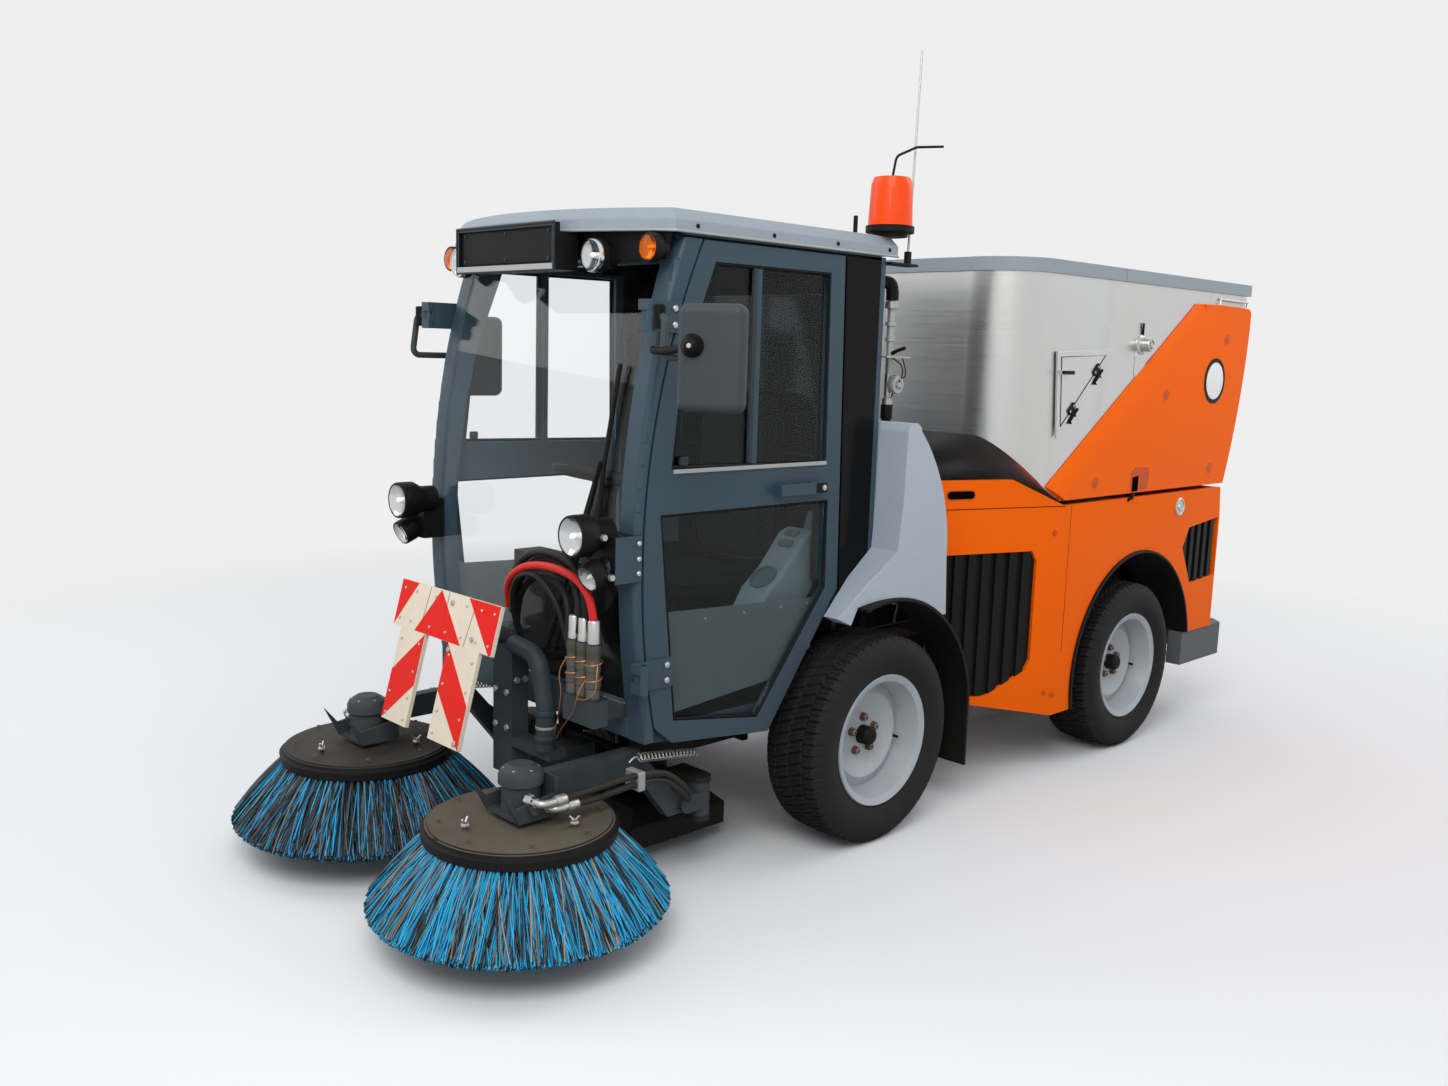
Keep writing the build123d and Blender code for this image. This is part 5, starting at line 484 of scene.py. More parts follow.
def make_road_dirt():
    """Road dust: fine film everywhere, heavier near the ground and in streaks."""
    group, gin, gout = new_group(
        "road_dirt",
        [
            ("Colour", "NodeSocketColor", (0.5, 0.5, 0.5, 1)),
            ("Dust", "NodeSocketColor", (0.22, 0.19, 0.15, 1)),
            ("Amount", "NodeSocketFloat", 0.3),
            ("Reach", "NodeSocketFloat", 0.6),
            ("Roughness", "NodeSocketFloat", 0.4),
            ("Grain", "NodeSocketFloat", 60.0),
        ],
        [("Colour", "NodeSocketColor"), ("Roughness", "NodeSocketFloat"), ("Height", "NodeSocketFloat")],
    )
    coords = group.nodes.new("ShaderNodeTexCoord").outputs["Object"]
    split = group.nodes.new("ShaderNodeSeparateXYZ")
    group.links.new(coords, split.inputs[0])
    film = noise_node(group, coords, 3.0, 5.0, 0.62)
    streak = noise_node(group, coords, 9.0, 3.0, 0.55, (1.6, 1.6, 0.22))
    fine = noise_node(group, coords, gin.outputs["Grain"], 3.0, 0.6)
    low = math(group, "DIVIDE", split.outputs["Z"], gin.outputs["Reach"])
    low = math(group, "SUBTRACT", 1.15, low)
    low = math(group, "MAXIMUM", low, 0.12)
    low = math(group, "MINIMUM", low, 1.0)
    patch = math(group, "MULTIPLY", math(group, "ADD", film, streak), 0.62)
    patch = math(group, "POWER", patch, 1.8)
    amount = math(group, "MULTIPLY", math(group, "MULTIPLY", low, patch), gin.outputs["Amount"])
    amount = math(group, "MINIMUM", math(group, "MULTIPLY", amount, 2.0), 0.9)
    tone = ramp(group, fine, [(0.3, grey(0.955)), (0.7, grey(1.03))])
    tinted = group.nodes.new("ShaderNodeMix")
    tinted.data_type = "RGBA"
    tinted.blend_type = "MULTIPLY"
    tinted.inputs[0].default_value = 0.6
    group.links.new(gin.outputs["Colour"], tinted.inputs[6])
    group.links.new(tone, tinted.inputs[7])
    colour = mix(group, amount, tinted.outputs[2], gin.outputs["Dust"])
    rough = math(group, "ADD", gin.outputs["Roughness"], math(group, "MULTIPLY", amount, 0.45))
    rough = math(group, "MINIMUM", math(group, "ADD", rough, math(group, "MULTIPLY", film, 0.08)), 1.0)
    group.links.new(colour, gout.inputs["Colour"])
    group.links.new(rough, gout.inputs["Roughness"])
    group.links.new(fine, gout.inputs["Height"])
    return group


ROAD_DIRT = make_road_dirt()


COAT_ROUGH = 0.12
GRAIN_HEIGHT = 0.002


def finish(
    name, colour, rough=0.4, metal=0.0, dust=0.3, reach=0.9, grain=60.0, bump=0.0, coat=0.0,
    dust_colour=None, shine=0.3
):
    """A paint, plastic, rubber or metal, weathered by the shared road dirt group."""
    material = bpy.data.materials.new(name)
    material.use_nodes = True
    tree = material.node_tree
    shader = tree.nodes["Principled BSDF"]
    dirt = tree.nodes.new("ShaderNodeGroup")
    dirt.node_tree = ROAD_DIRT
    dirt.inputs["Colour"].default_value = (*colour, 1)
    dirt.inputs["Amount"].default_value = dust
    dirt.inputs["Reach"].default_value = reach
    dirt.inputs["Roughness"].default_value = rough
    dirt.inputs["Grain"].default_value = grain
    if dust_colour:
        dirt.inputs["Dust"].default_value = (*dust_colour, 1)
    tree.links.new(dirt.outputs["Colour"], shader.inputs["Base Color"])
    tree.links.new(dirt.outputs["Roughness"], shader.inputs["Roughness"])
    shader.inputs["Metallic"].default_value = metal
    shader.inputs["Specular IOR Level"].default_value = shine
    shader.inputs["Coat Weight"].default_value = coat
    shader.inputs["Coat Roughness"].default_value = COAT_ROUGH
    if bump:
        node = tree.nodes.new("ShaderNodeBump")
        node.inputs["Strength"].default_value = bump
        node.inputs["Distance"].default_value = GRAIN_HEIGHT
        tree.links.new(dirt.outputs["Height"], node.inputs["Height"])
        tree.links.new(node.outputs["Normal"], shader.inputs["Normal"])
    return material


def brushed(name, colour):
    """Brushed sheet: fine level strokes in roughness and height, with broad soft stains."""
    material = bpy.data.materials.new(name)
    material.use_nodes = True
    tree = material.node_tree
    shader = tree.nodes["Principled BSDF"]
    coords = tree.nodes.new("ShaderNodeTexCoord").outputs["Object"]
    strokes = noise_node(tree, coords, 1.0, 3.0, 0.6, (3.0, 3.0, 260.0))
    stains = noise_node(tree, coords, 1.0, 4.0, 0.55, (1.6, 1.6, 0.7))
    runs = noise_node(tree, coords, 1.0, 3.0, 0.5, (9.0, 9.0, 0.8))
    dark, warm = tuple(c * 0.80 for c in colour), (colour[0] * 0.99, colour[1] * 0.965, colour[2] * 0.93)
    base = mix(tree, ramp(tree, stains, [(0.36, grey(0)), (0.64, grey(1))]), (*warm, 1), (*colour, 1))
    base = mix(tree, ramp(tree, runs, [(0.52, grey(0)), (0.85, grey(0.5))]), base, (*dark, 1))
    tree.links.new(base, shader.inputs["Base Color"])
    tree.links.new(ramp(tree, strokes, [(0.3, grey(0.27)), (0.7, grey(0.36))]), shader.inputs["Roughness"])
    shader.inputs["Metallic"].default_value = 0.9
    node = tree.nodes.new("ShaderNodeBump")
    node.inputs["Strength"].default_value = 0.035
    node.inputs["Distance"].default_value = 0.001
    tree.links.new(strokes, node.inputs["Height"])
    tree.links.new(node.outputs["Normal"], shader.inputs["Normal"])
    return material


# Low, since thin panes hardly bend the light
GLASS_IOR = 1.22


def clear_glass(name, tint, rough=0.0):
    """Clear glazing that light passes through, with a plain tinted shadow."""
    material = bpy.data.materials.new(name)
    material.use_nodes = True
    tree = material.node_tree
    shader = tree.nodes["Principled BSDF"]
    shader.inputs["Roughness"].default_value = rough
    shader.inputs["Base Color"].default_value = (*tint, 1)
    shader.inputs["Transmission Weight"].default_value = 1.0
    shader.inputs["IOR"].default_value = GLASS_IOR
    through = tree.nodes.new("ShaderNodeBsdfTransparent")
    through.inputs["Color"].default_value = (*tint, 1)
    blend = tree.nodes.new("ShaderNodeMixShader")
    tree.links.new(tree.nodes.new("ShaderNodeLightPath").outputs["Is Shadow Ray"], blend.inputs[0])
    tree.links.new(shader.outputs[0], blend.inputs[1])
    tree.links.new(through.outputs[0], blend.inputs[2])
    tree.links.new(blend.outputs[0], tree.nodes["Material Output"].inputs["Surface"])
    return material


SLATE = finish("slate_paint", (0.040, 0.070, 0.094), 0.36, 0.0, 0.08, 1.0, 90.0, 0.02, 0.05, shine=0.2)
ROOF = finish("roof_paint", (0.32, 0.365, 0.405), 0.42, 0.0, 0.08, 4.0, 70.0, 0.01, 0.0, shine=0.2)
SILVER = finish("silver_grey_paint", (0.43, 0.485, 0.545), 0.34, 0.1, 0.06, 1.2, 80.0, 0.01, 0.1, shine=0.25)
ORANGE = finish("orange_paint", (1.0, 0.140, 0.0), 0.45, 0.0, 0.0, 0.7, 70.0, 0.01, 0.02, shine=0.07)
BLACK_STEEL = finish("chassis_black", (0.008, 0.0082, 0.0085), 0.55, 0.1, 0.15, 0.8, 50.0, 0.2, shine=0.15)
GEAR_SLATE = finish("gear_slate", (0.028, 0.041, 0.051), 0.48, 0.1, 0.2, 0.8, 60.0, 0.2, shine=0.2)
DISC_STEEL = finish("dusty_disc", (0.085, 0.068, 0.050), 0.6, 0.2, 0.35, 1.0, 30.0, 0.2, shine=0.15)
DISC_DARK = finish("dark_disc", (0.013, 0.0125, 0.012), 0.5, 0.2, 0.2, 1.0, 30.0, 0.2, shine=0.2)
RIM = finish("wheel_paint", (0.46, 0.495, 0.53), 0.32, 0.15, 0.14, 0.7, 60.0, 0.02, 0.1, shine=0.25)
STAINLESS = brushed("stainless", (0.63, 0.64, 0.65))
RUBBER = finish(
    "tyre_rubber", (0.0085, 0.0087, 0.009), 0.6, 0.0, 0.22, 0.9, 160.0, 0.15, 0.0,
    (0.050, 0.047, 0.042), 0.22
)
BLACK = finish("black_moulding", (0.005, 0.005, 0.0053), 0.48, 0.0, 0.04, 0.8, 220.0, 0.03, shine=0.16)
GLOSS_BLACK = finish("gloss_black", (0.0025, 0.0025, 0.003), 0.12, 0.0, 0.01, 0.8, 60.0, shine=0.10)
SEAT = finish("seat_cloth", (0.006, 0.006, 0.007), 0.85, 0.0, 0.02, 0.5, 500.0, 0.03, shine=0.1)
HOSE = finish("hose_rubber", (0.008, 0.008, 0.0085), 0.42, 0.0, 0.15, 0.9, 200.0, 0.1, shine=0.2)
RED_HOSE = finish("red_hose", (0.60, 0.016, 0.01), 0.4, 0.0, 0.08, 0.9, 120.0, 0.1)
CHROME = finish("chrome", (0.72, 0.73, 0.74), 0.12, 1.0, 0.04, 0.6, 60.0)
ZINC = finish("zinc_fitting", (0.42, 0.42, 0.40), 0.34, 0.9, 0.25, 1.2, 90.0, 0.1)
AMBER = finish("amber_lens", (0.95, 0.070, 0.001), 0.25, 0.0, 0.02, 5.0, 60.0, 0.02, 0.1, shine=0.2)
RED = finish("board_red", (0.82, 0.012, 0.006), 0.42, 0.0, 0.05, 1.2, 60.0, 0.02, shine=0.12)
CREAM = finish(
    "board_cream", (0.84, 0.75, 0.60), 0.48, 0.0, 0.16, 1.4, 40.0, 0.03, 0.0, (0.42, 0.25, 0.12), 0.15
)
WHITE = finish("white_disc", (0.92, 0.92, 0.91), 0.4, 0.0, 0.08, 1.0, 60.0)
BUMPER = finish("bumper_grey", (0.10, 0.12, 0.135), 0.5, 0.0, 0.3, 0.8, 150.0, 0.15)
IRON = finish("dark_iron", (0.025, 0.025, 0.025), 0.7, 0.4, 0.5, 1.4, 40.0, 0.3)
RUST = finish("rusty_bolt", (0.16, 0.065, 0.025), 0.75, 0.3, 0.3, 0.8, 200.0, 0.4)
COPPER = finish("copper_wire", (0.55, 0.24, 0.10), 0.35, 0.9, 0.2, 1.0, 200.0)
INTERIOR = finish("cab_trim", (0.10, 0.115, 0.12), 0.6, 0.0, 0.05, 0.5, 220.0, 0.02)
# Near-black on the cab's inner faces: painted shade inside the cab
CAB_INSIDE_SHADE = finish("cab_inside_painted_shade", (0.006, 0.0065, 0.007), 0.7, 0.0, 0.02, 0.5, 60.0, shine=0.08)
GLASS = clear_glass("clear_glass", (0.97, 0.985, 0.99))
TINTED = clear_glass("tinted_glass", (0.62, 0.68, 0.70))
PRIVACY = finish("privacy_glass", (0.004, 0.0045, 0.005), 0.06, 0.0, 0.02, 0.6, 60.0, shine=0.5)
KICK = finish("kick_plate", (0.135, 0.155, 0.165), 0.5, 0.0, 0.12, 0.9, 90.0, 0.05)
MIRROR = finish("mirror_shell", (0.034, 0.045, 0.054), 0.5, 0.0, 0.1, 3.0, 160.0, 0.12)
# Pale grey: worn alloy on fittings, and on the roof's lower lip a painted highlight
PALE_ALLOY_AND_HIGHLIGHT = finish("worn_alloy_and_painted_highlight", (0.42, 0.43, 0.43), 0.42, 0.5, 0.1, 3.0, 120.0, 0.05)
SCREW = finish("screw_heads", (0.55, 0.55, 0.54), 0.3, 0.8, 0.06, 1.0, 200.0)
SEAL = finish("rubber_seal", (0.004, 0.004, 0.0044), 0.5, 0.0, 0.03, 0.8, 200.0, shine=0.15)
COUPLER = finish("coupler_steel", (0.105, 0.098, 0.085), 0.42, 0.6, 0.2, 1.0, 90.0, 0.1)
HOLE = finish("shadow_gap", (0.003, 0.003, 0.003), 0.9, 0.0, 0.0, 0.8, 60.0, shine=0.0)
AMBER_GLASS = clear_glass("amber_glass", (0.95, 0.42, 0.10), 0.05)
# Darker orange: painted shade on dimple floors, the latch notch, the slot rim and screw heads
ORANGE_PAINTED_SHADE = finish("orange_painted_shade", (0.62, 0.075, 0.003), 0.5, 0.0, 0.05, 0.7, 70.0, 0.02)
CONSOLE = finish("console_plastic", (0.24, 0.29, 0.31), 0.5, 0.0, 0.08, 0.6, 220.0, 0.06, shine=0.2)
CONSOLE_DARK = finish("console_recess", (0.12, 0.15, 0.16), 0.5, 0.0, 0.08, 0.6, 220.0, 0.06, shine=0.2)
TAIL_RED = finish("tail_lens", (0.50, 0.008, 0.006), 0.2, 0.0, 0.05, 1.0, 60.0, 0.0, 0.4)
SPRING = finish("spring_steel", (0.50, 0.49, 0.47), 0.34, 0.8, 0.05, 1.0, 90.0, 0.05)
LENS = clear_glass("lamp_glass", (0.95, 0.96, 0.97), 0.01)


# Frame, cab and bodies from the drawing


def dress_all():
    """Rounds and paints every rigid node that keeps its own shape."""
    table = [
        ("front_frame", BLACK_STEEL, "frame_paint", 0.002),
        ("rear_frame", BLACK_STEEL, "frame_paint", 0.002),
        ("broom_carrier", BLACK_STEEL, "frame_paint", 0.002),
        ("cab_pillars", SLATE, "cab_paint", 0.003),
        ("cab_tub", SLATE, "cab_paint", 0.003),
        ("cab_roof", ROOF, "roof_paint", 0.003),
        ("roof_brow", BLACK, "black_plastic", 0.002),
        ("lamps", BLACK, "lamp_chrome", 0.0015),
        ("cab_controls", INTERIOR, "black_plastic", 0.008),
        ("front_fenders", SILVER, "silver_paint", 0.022),
        ("front_mudguards", BLACK, "black_plastic", 0.003),
        ("suction_gear", BLACK, "black_plastic", 0.003),
        ("front_boom", GEAR_SLATE, "cab_paint", 0.004),
        ("rear_body", ORANGE, "orange_paint", 0.006),
        ("rear_grilles", BLACK, "black_plastic", 0.002),
        ("rear_liners", BLACK, "black_plastic", 0.003),
        ("rear_bumper", BUMPER, "bumper_grey", 0.005),
        ("engine_block", IRON, "engine_iron", 0.01),
        ("hopper_tank", STAINLESS, "stainless", 0.002),
        ("hopper_side_panels", ORANGE, "orange_paint", 0.006),
        ("hopper_cover", ROOF, "roof_paint", 0.003),
        ("hopper_front_lid", ROOF, "roof_paint", 0.003),
        ("hopper_rear_door", STAINLESS, "stainless", 0.003),
    ]
    for side, _ in SIDES:
        table += [
            (f"door_{side}", SLATE, "cab_paint", 0.003),
            (f"mirror_{side}", MIRROR, "black_plastic", 0.0),
            (f"broom_bracket_{side}", GEAR_SLATE, "broom_paint", 0.002),
            (f"broom_arm_{side}", GEAR_SLATE, "broom_paint", 0.002),
            (f"inspection_door_{side}", STAINLESS, "stainless", 0.0015),
            (f"rim_front_{side}", RIM, "rim_paint", 0.0015),
            (f"rim_rear_{side}", RIM, "rim_paint", 0.0015),
        ]
    for node, material, slot, edge in table:
        dress(node, material, edge)
    dress("broom_disc_left", DISC_STEEL, 0.002)
    dress("broom_disc_right", DISC_DARK, 0.002)
    dress("cab_glass", GLASS, 0.0)
    dress("door_glass_left", TINTED, 0.0)
    dress("door_glass_right", GLASS, 0.0)
    dress("quarter_panels", GLOSS_BLACK, 0.002)
    dress("beacon", BLACK, 0.002)
    dress("wiper", BLACK, 0.0)
    dress("warning_board", CREAM, 0.001)
    dress("front_hoses", HOSE, 0.0)


# Tyres

TREAD_PITCHES = 58
TREAD_STEPS = 12
TREAD_DEPTH = 0.0085
TREAD_HALF = 0.80
# Sidewall from the bead to the shoulder: share of the half width, radius
TYRE_SIDE = (
    (0.835, 0.210), (0.84, 0.224), (0.90, 0.238), (0.965, 0.256), (0.995, 0.276),
    (1.0, 0.292), (0.975, 0.310), (0.93, 0.324), (0.87, 0.334), (0.82, 0.3405),
)
CROWN_EDGE, CROWN_STEPS = 0.79, 37
CROWN_FALL, CROWN_POWER = 0.0045, 2.2
SHOULDER = 0.46
GROOVE_SHARES = (-SHOULDER, 0.0, SHOULDER)
GROOVE_HALF = 0.034
ZIGZAG = 0.030
SLANT_MIDDLE, SLANT_SHOULDER = 1.3, 0.5
# Shares of a pitch that the cross cuts take, and of the depth that the sipes reach
CROSS_CUT, SIPE_CUT, SIPE_DEEP = 0.17, 0.09, 0.45
LUG_R, LUG_EDGE, LUG_CUT, LUG_DEPTH = 0.305, 0.95, 0.2, 0.003


def tyre_grid():
    """The tyre's radius and width on a grid, with tread blocks cut into its crown.

    Across the section a parameter s runs from bead to bead. The crown is a shallow
    arc, the sidewall a rounder one. Grooves lower the radius where a slanted comb of
    cross cuts or one of the round grooves passes.
    """
    half = TYRE_W / 2
    side_w, side_r = np.array(TYRE_SIDE).T
    crown = np.linspace(CROWN_EDGE, -CROWN_EDGE, CROWN_STEPS)
    crown_r = WHEEL_R - CROWN_FALL * (np.abs(crown) / CROWN_EDGE) ** CROWN_POWER
    width = np.concatenate([side_w, crown, -side_w[::-1]])
    radius = np.concatenate([side_r, crown_r, side_r[::-1]])
    around = TREAD_PITCHES * TREAD_STEPS
    angle = np.linspace(0, 2 * pi, around, endpoint=False)
    a, w = np.meshgrid(angle, width, indexing="ij")
    r = np.broadcast_to(radius, a.shape).copy()
    phase = a * TREAD_PITCHES / (2 * pi)
    on_crown = np.abs(w) < TREAD_HALF
    shoulder = np.abs(w) > SHOULDER
    zigzag = ZIGZAG * np.sign(np.sin(2 * pi * phase))
    cut = np.zeros_like(r)
    for share in GROOVE_SHARES:
        cut = np.maximum(cut, (np.abs(w - share - zigzag) < GROOVE_HALF).astype(float))
    slant = np.where(shoulder, SLANT_SHOULDER * np.abs(w), SLANT_MIDDLE * w)
    across = (phase + slant) % 1.0
    cut = np.maximum(cut, (across < CROSS_CUT).astype(float))
    sipe = ((phase + slant) % 0.5 < SIPE_CUT).astype(float) * SIPE_DEEP
    cut = np.maximum(cut, sipe)
    r = r - TREAD_DEPTH * cut * on_crown
    lug = ((np.abs(w) >= TREAD_HALF) & (np.abs(w) < LUG_EDGE) & (r > LUG_R)).astype(float)
    r = r - LUG_DEPTH * lug * ((phase + 0.4) % 1.0 < LUG_CUT)
    return a, w * half, r


def tyres():
    """Four tyres of one grid, closed through the bead."""
    a, w, r = tyre_grid()
    rows, cols = a.shape
    quads = grid_faces(rows, cols, wrap_rows=True, wrap_cols=True)
    for end, y in (("front", AXLE_Y), ("rear", REAR_AXLE_Y)):
        for side, sign in SIDES:
            verts = np.stack([sign * (WHEEL_X + w), y + r * np.cos(a), WHEEL_R + r * np.sin(a)], -1)
            faces = quads if sign < 0 else quads[:, ::-1]
            name, body = f"tyre_{end}_{side}", f"wheel_{end}_{side}"
            tread = quad_piece(name + "_tread", verts, faces, RUBBER, body, False, (name,))
            shade_by_angle(tread, 28)


# Broom bristles

BRISTLE_COUNT = 6000
BRISTLE_TUFTS = 84
BRISTLE_SEGMENTS = 5
BRISTLE_W = 0.0026
# Roots lie from ROOT_R inwards by LAYER_STEP; each spread is a standard deviation
ROOT_R, LAYER_STEP, ROOT_SPREAD = 0.258, 0.045, 0.002
ROOT_TURN_SPREAD, TIP_TURN_SPREAD = 0.010, 0.070
INNER_SHORTER, REACH_SPREAD = 0.14, 0.035
DROP_OUTER, DROP_LAYER, DROP_SPREAD = 0.90, 0.10, 0.05
BOW_OUT, BOW_UP = 0.010, 0.022


def bristle_material(name, stops):
    """Plastic bristles: each has its own tone from the tone attribute."""
    material = bpy.data.materials.new(name)
    material.use_nodes = True
    tree = material.node_tree
    shader = tree.nodes["Principled BSDF"]
    tone = tree.nodes.new("ShaderNodeAttribute")
    tone.attribute_name = "tone"
    node = tree.nodes.new("ShaderNodeValToRGB")
    node.color_ramp.interpolation = "CONSTANT"
    while len(node.color_ramp.elements) < len(stops):
        node.color_ramp.elements.new(0.5)
    for element, (position, colour) in zip(node.color_ramp.elements, stops):
        element.position = position
        element.color = (*colour, 1)
    tree.links.new(tone.outputs["Fac"], node.inputs["Fac"])
    tree.links.new(node.outputs["Color"], shader.inputs["Base Color"])
    shader.inputs["Roughness"].default_value = 0.42
    return material


def bristles(side, material, seed):
    """One skirt: each bristle leaves the rim in its tuft and bends out to its tip.

    A bristle is a thin three sided bar along root + (tip - root) t + sag t (1 - t).
    """
    rng = np.random.default_rng(seed)
    low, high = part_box(f"broom_bristles_{side}")
    centre = np.array([(low.x + high.x) / 2, (low.y + high.y) / 2])
    tip_r, top_z, tip_z = (high.x - low.x) / 2 - 0.004, high.z - 0.001, low.z + 0.002
    tuft = rng.integers(0, BRISTLE_TUFTS, BRISTLE_COUNT)
    layer = rng.random(BRISTLE_COUNT)
    around = (tuft + 0.5 * (layer > 0.5)) * 2 * pi / BRISTLE_TUFTS
    root_a = around + rng.normal(0, ROOT_TURN_SPREAD, BRISTLE_COUNT)
    tip_a = around + rng.normal(0, TIP_TURN_SPREAD, BRISTLE_COUNT)
    root_r = ROOT_R - LAYER_STEP * layer + rng.normal(0, ROOT_SPREAD, BRISTLE_COUNT)
    reach = 1 - INNER_SHORTER * layer - np.abs(rng.normal(0, REACH_SPREAD, BRISTLE_COUNT))
    out_r = root_r + (tip_r - root_r) * reach
    down = DROP_OUTER + DROP_LAYER * layer - np.abs(rng.normal(0, DROP_SPREAD, BRISTLE_COUNT))
    drop = top_z - (top_z - tip_z) * down
    t = np.linspace(0, 1, BRISTLE_SEGMENTS + 1)
    rad = root_r[:, None] + (out_r - root_r)[:, None] * t + BOW_OUT * (t * (1 - t))[None]
    ang = root_a[:, None] + (tip_a - root_a)[:, None] * t
    z = top_z + (drop - top_z)[:, None] * t + BOW_UP * (t * (1 - t))[None]
    line = np.stack([centre[0] + rad * np.cos(ang), centre[1] + rad * np.sin(ang), z], -1)
    flat = np.stack([-np.sin(ang), np.cos(ang), np.zeros_like(ang)], -1)
    turn = rng.uniform(0, 2 * pi, BRISTLE_COUNT)[:, None, None]
    up = np.array([0, 0, 1.0])
    out = np.stack([np.cos(ang), np.sin(ang), np.zeros_like(ang)], -1)
    normal = 0.8 * out + 0.6 * up
    rings = []
    for k in range(3):
        phase = turn + 2 * pi * k / 3
        rings.append(line + BRISTLE_W * (np.cos(phase) * flat + np.sin(phase) * normal))
    verts = np.stack(rings, 2)
    verts[..., 2] = np.minimum(verts[..., 2], high.z)
    n, rows, sides = verts.shape[:3]
    base = (np.arange(n) * rows * sides)[:, None, None, None]
    j = np.arange(rows - 1)[None, :, None, None]
    k = np.arange(sides)[None, None, :, None]
    k2 = (k + 1) % sides
    quad = np.concatenate([j * sides + k, j * sides + k2, (j + 1) * sides + k2, (j + 1) * sides + k], -1)
    quads = (base + quad).reshape(-1, 4)[:, ::-1]
    name, node = f"bristle_skirt_{side}", f"broom_bristles_{side}"
    obj = quad_piece(name, verts, quads, material, f"broom_{side}", True, (node,))
    tone = np.repeat(rng.random(n), rows * sides).astype(np.float32)
    attribute = obj.data.attributes.new("tone", "FLOAT", "POINT")
    attribute.data.foreach_set("value", tone)
    return obj


# Where each tone begins, and its colour
LEFT_TONES = (
    (0.0, (0.004, 0.31, 0.56)),
    (0.30, (0.006, 0.45, 0.78)),
    (0.50, (0.003, 0.18, 0.36)),
    (0.58, (0.008, 0.008, 0.009)),
    (0.80, (0.20, 0.16, 0.12)),
    (0.89, (0.40, 0.33, 0.25)),
    (0.93, (0.05, 0.06, 0.07)),
)
RIGHT_TONES = (
    (0.0, (0.004, 0.31, 0.56)),
    (0.16, (0.006, 0.45, 0.78)),
    (0.26, (0.006, 0.16, 0.36)),
    (0.33, (0.006, 0.006, 0.007)),
    (0.74, (0.075, 0.08, 0.085)),
    (0.90, (0.18, 0.17, 0.15)),
    (0.95, (0.03, 0.035, 0.04)),
)


def brooms():
    """Blue skirts mixed with dark and sandy bristles; the right one is darker."""
    left = bristle_material("bristles_blue", LEFT_TONES)
    right = bristle_material("bristles_dark", RIGHT_TONES)
    bristles("left", left, 11)
    bristles("right", right, 12)


# Lamps

LAMP_TABLE = (
    # name, place of the face, radius, degrees turned down, lens
    ("headlamp", (0.458, -1.142, 1.100), 0.058, 0, "clear"),
    ("low_lamp", (0.492, -1.112, 0.992), 0.040, 24, "clear"),
    ("work_lamp", (0.335, -0.992, 1.851), 0.046, 0, "clear"),
    ("indicator", (0.492, -0.922, 1.872), 0.040, 0, "amber"),
)
LAMP_RIM = 0.88
LAMP_PROUD = 0.013


def lamp_faces():
    """Each lamp's ring, reflector bowl, bulb and domed glass.

    All are turned about the lamp's axis. The bowl's depth falls with the square of
    the radius, and the glass rises above the ring by a shallow cosine.
    """
    share = np.linspace(1, 0.04, 9)
    for side, sign in SIDES:
        for name, (x, y, z), radius, turn, lens in LAMP_TABLE:
            face = at(sign * x, y, z)
            out = np.array([0.0, -cos(radians(turn)), -sin(radians(turn))])
            rim, inner = radius * LAMP_RIM, radius * LAMP_RIM * 0.99
            ring = [
                (0, radius * 0.995), (0.009, radius * 0.995), (LAMP_PROUD, radius * 0.96),
                (LAMP_PROUD, rim), (0.001, rim)
            ]
            label = f"{name}_{side}"
            shell = CHROME if name == "work_lamp" else BLACK
            turned(label + "_ring", ring, face, out, shell, "front_unit", 40)
            bowl = [(0.0004, 0.001), (0.0004, inner)] + [(0.0015 + 0.0095 * q * q, inner * q) for q in share]
            turned(label + "_bowl", bowl, face, out, CHROME, "front_unit", 40)
            bulb = [(0.001, radius * 0.15), (0.006, radius * 0.15), (0.009, radius * 0.1), (0.010, 0.001)]
            turned(label + "_bulb", bulb, face, out, WHITE, "front_unit", 20)
            dome = [(0.0115, 0.001), (0.0115, inner)]
            dome += [(0.0125 + 0.009 * cos(q * pi / 2), inner * q) for q in share]
            glass = LENS if lens == "clear" else AMBER_GLASS
            turned(label + "_glass", dome, face, out, glass, "front_unit", 40)


def lamp_brackets():
    """Bolts on the straps that hold the lamps to the pillars, and the clamp screws of the lamps."""
    for side, sign in SIDES:
        strap = [(sign * 0.541, -0.985, z) for z in (0.995, 1.035, 1.078)]
        name = f"lamp_strap_bolts_{side}"
        bolts(name, strap, (sign, 0, 0), 0.0075, 0.006, SCREW, "front_unit")
        yoke = [(sign * 0.515, -1.09, 1.10), (sign * 0.531, -1.075, 0.992)]
        name = f"lamp_yoke_bolts_{side}"
        bolts(name, yoke, (sign, 0, 0), 0.010, 0.012, SCREW, "front_unit", False)


# Roof and brow

ROOF_EDGE_X = 0.543
ROOF_CORNER_Y = -0.880
ROOF_NOSE_Y = -1.046
ROOF_TAIL_Y = 0.074
ROOF_LIP_Z = 1.919
ROOF_SCREW_X = 0.5425
ROOF_SCREW_Y = (-0.80, -0.50, -0.22, 0.03)
ROOF_SCREW_Z = 1.936
# Box for the blank plate on the brow
PLATE_X = 0.008
PLATE_HALF_W = 0.245
PLATE_FRONT_Y = -1.068
PLATE_FOOT_Z, PLATE_TOP_Z = 1.811, 1.939
BLANK_Y = -1.0605


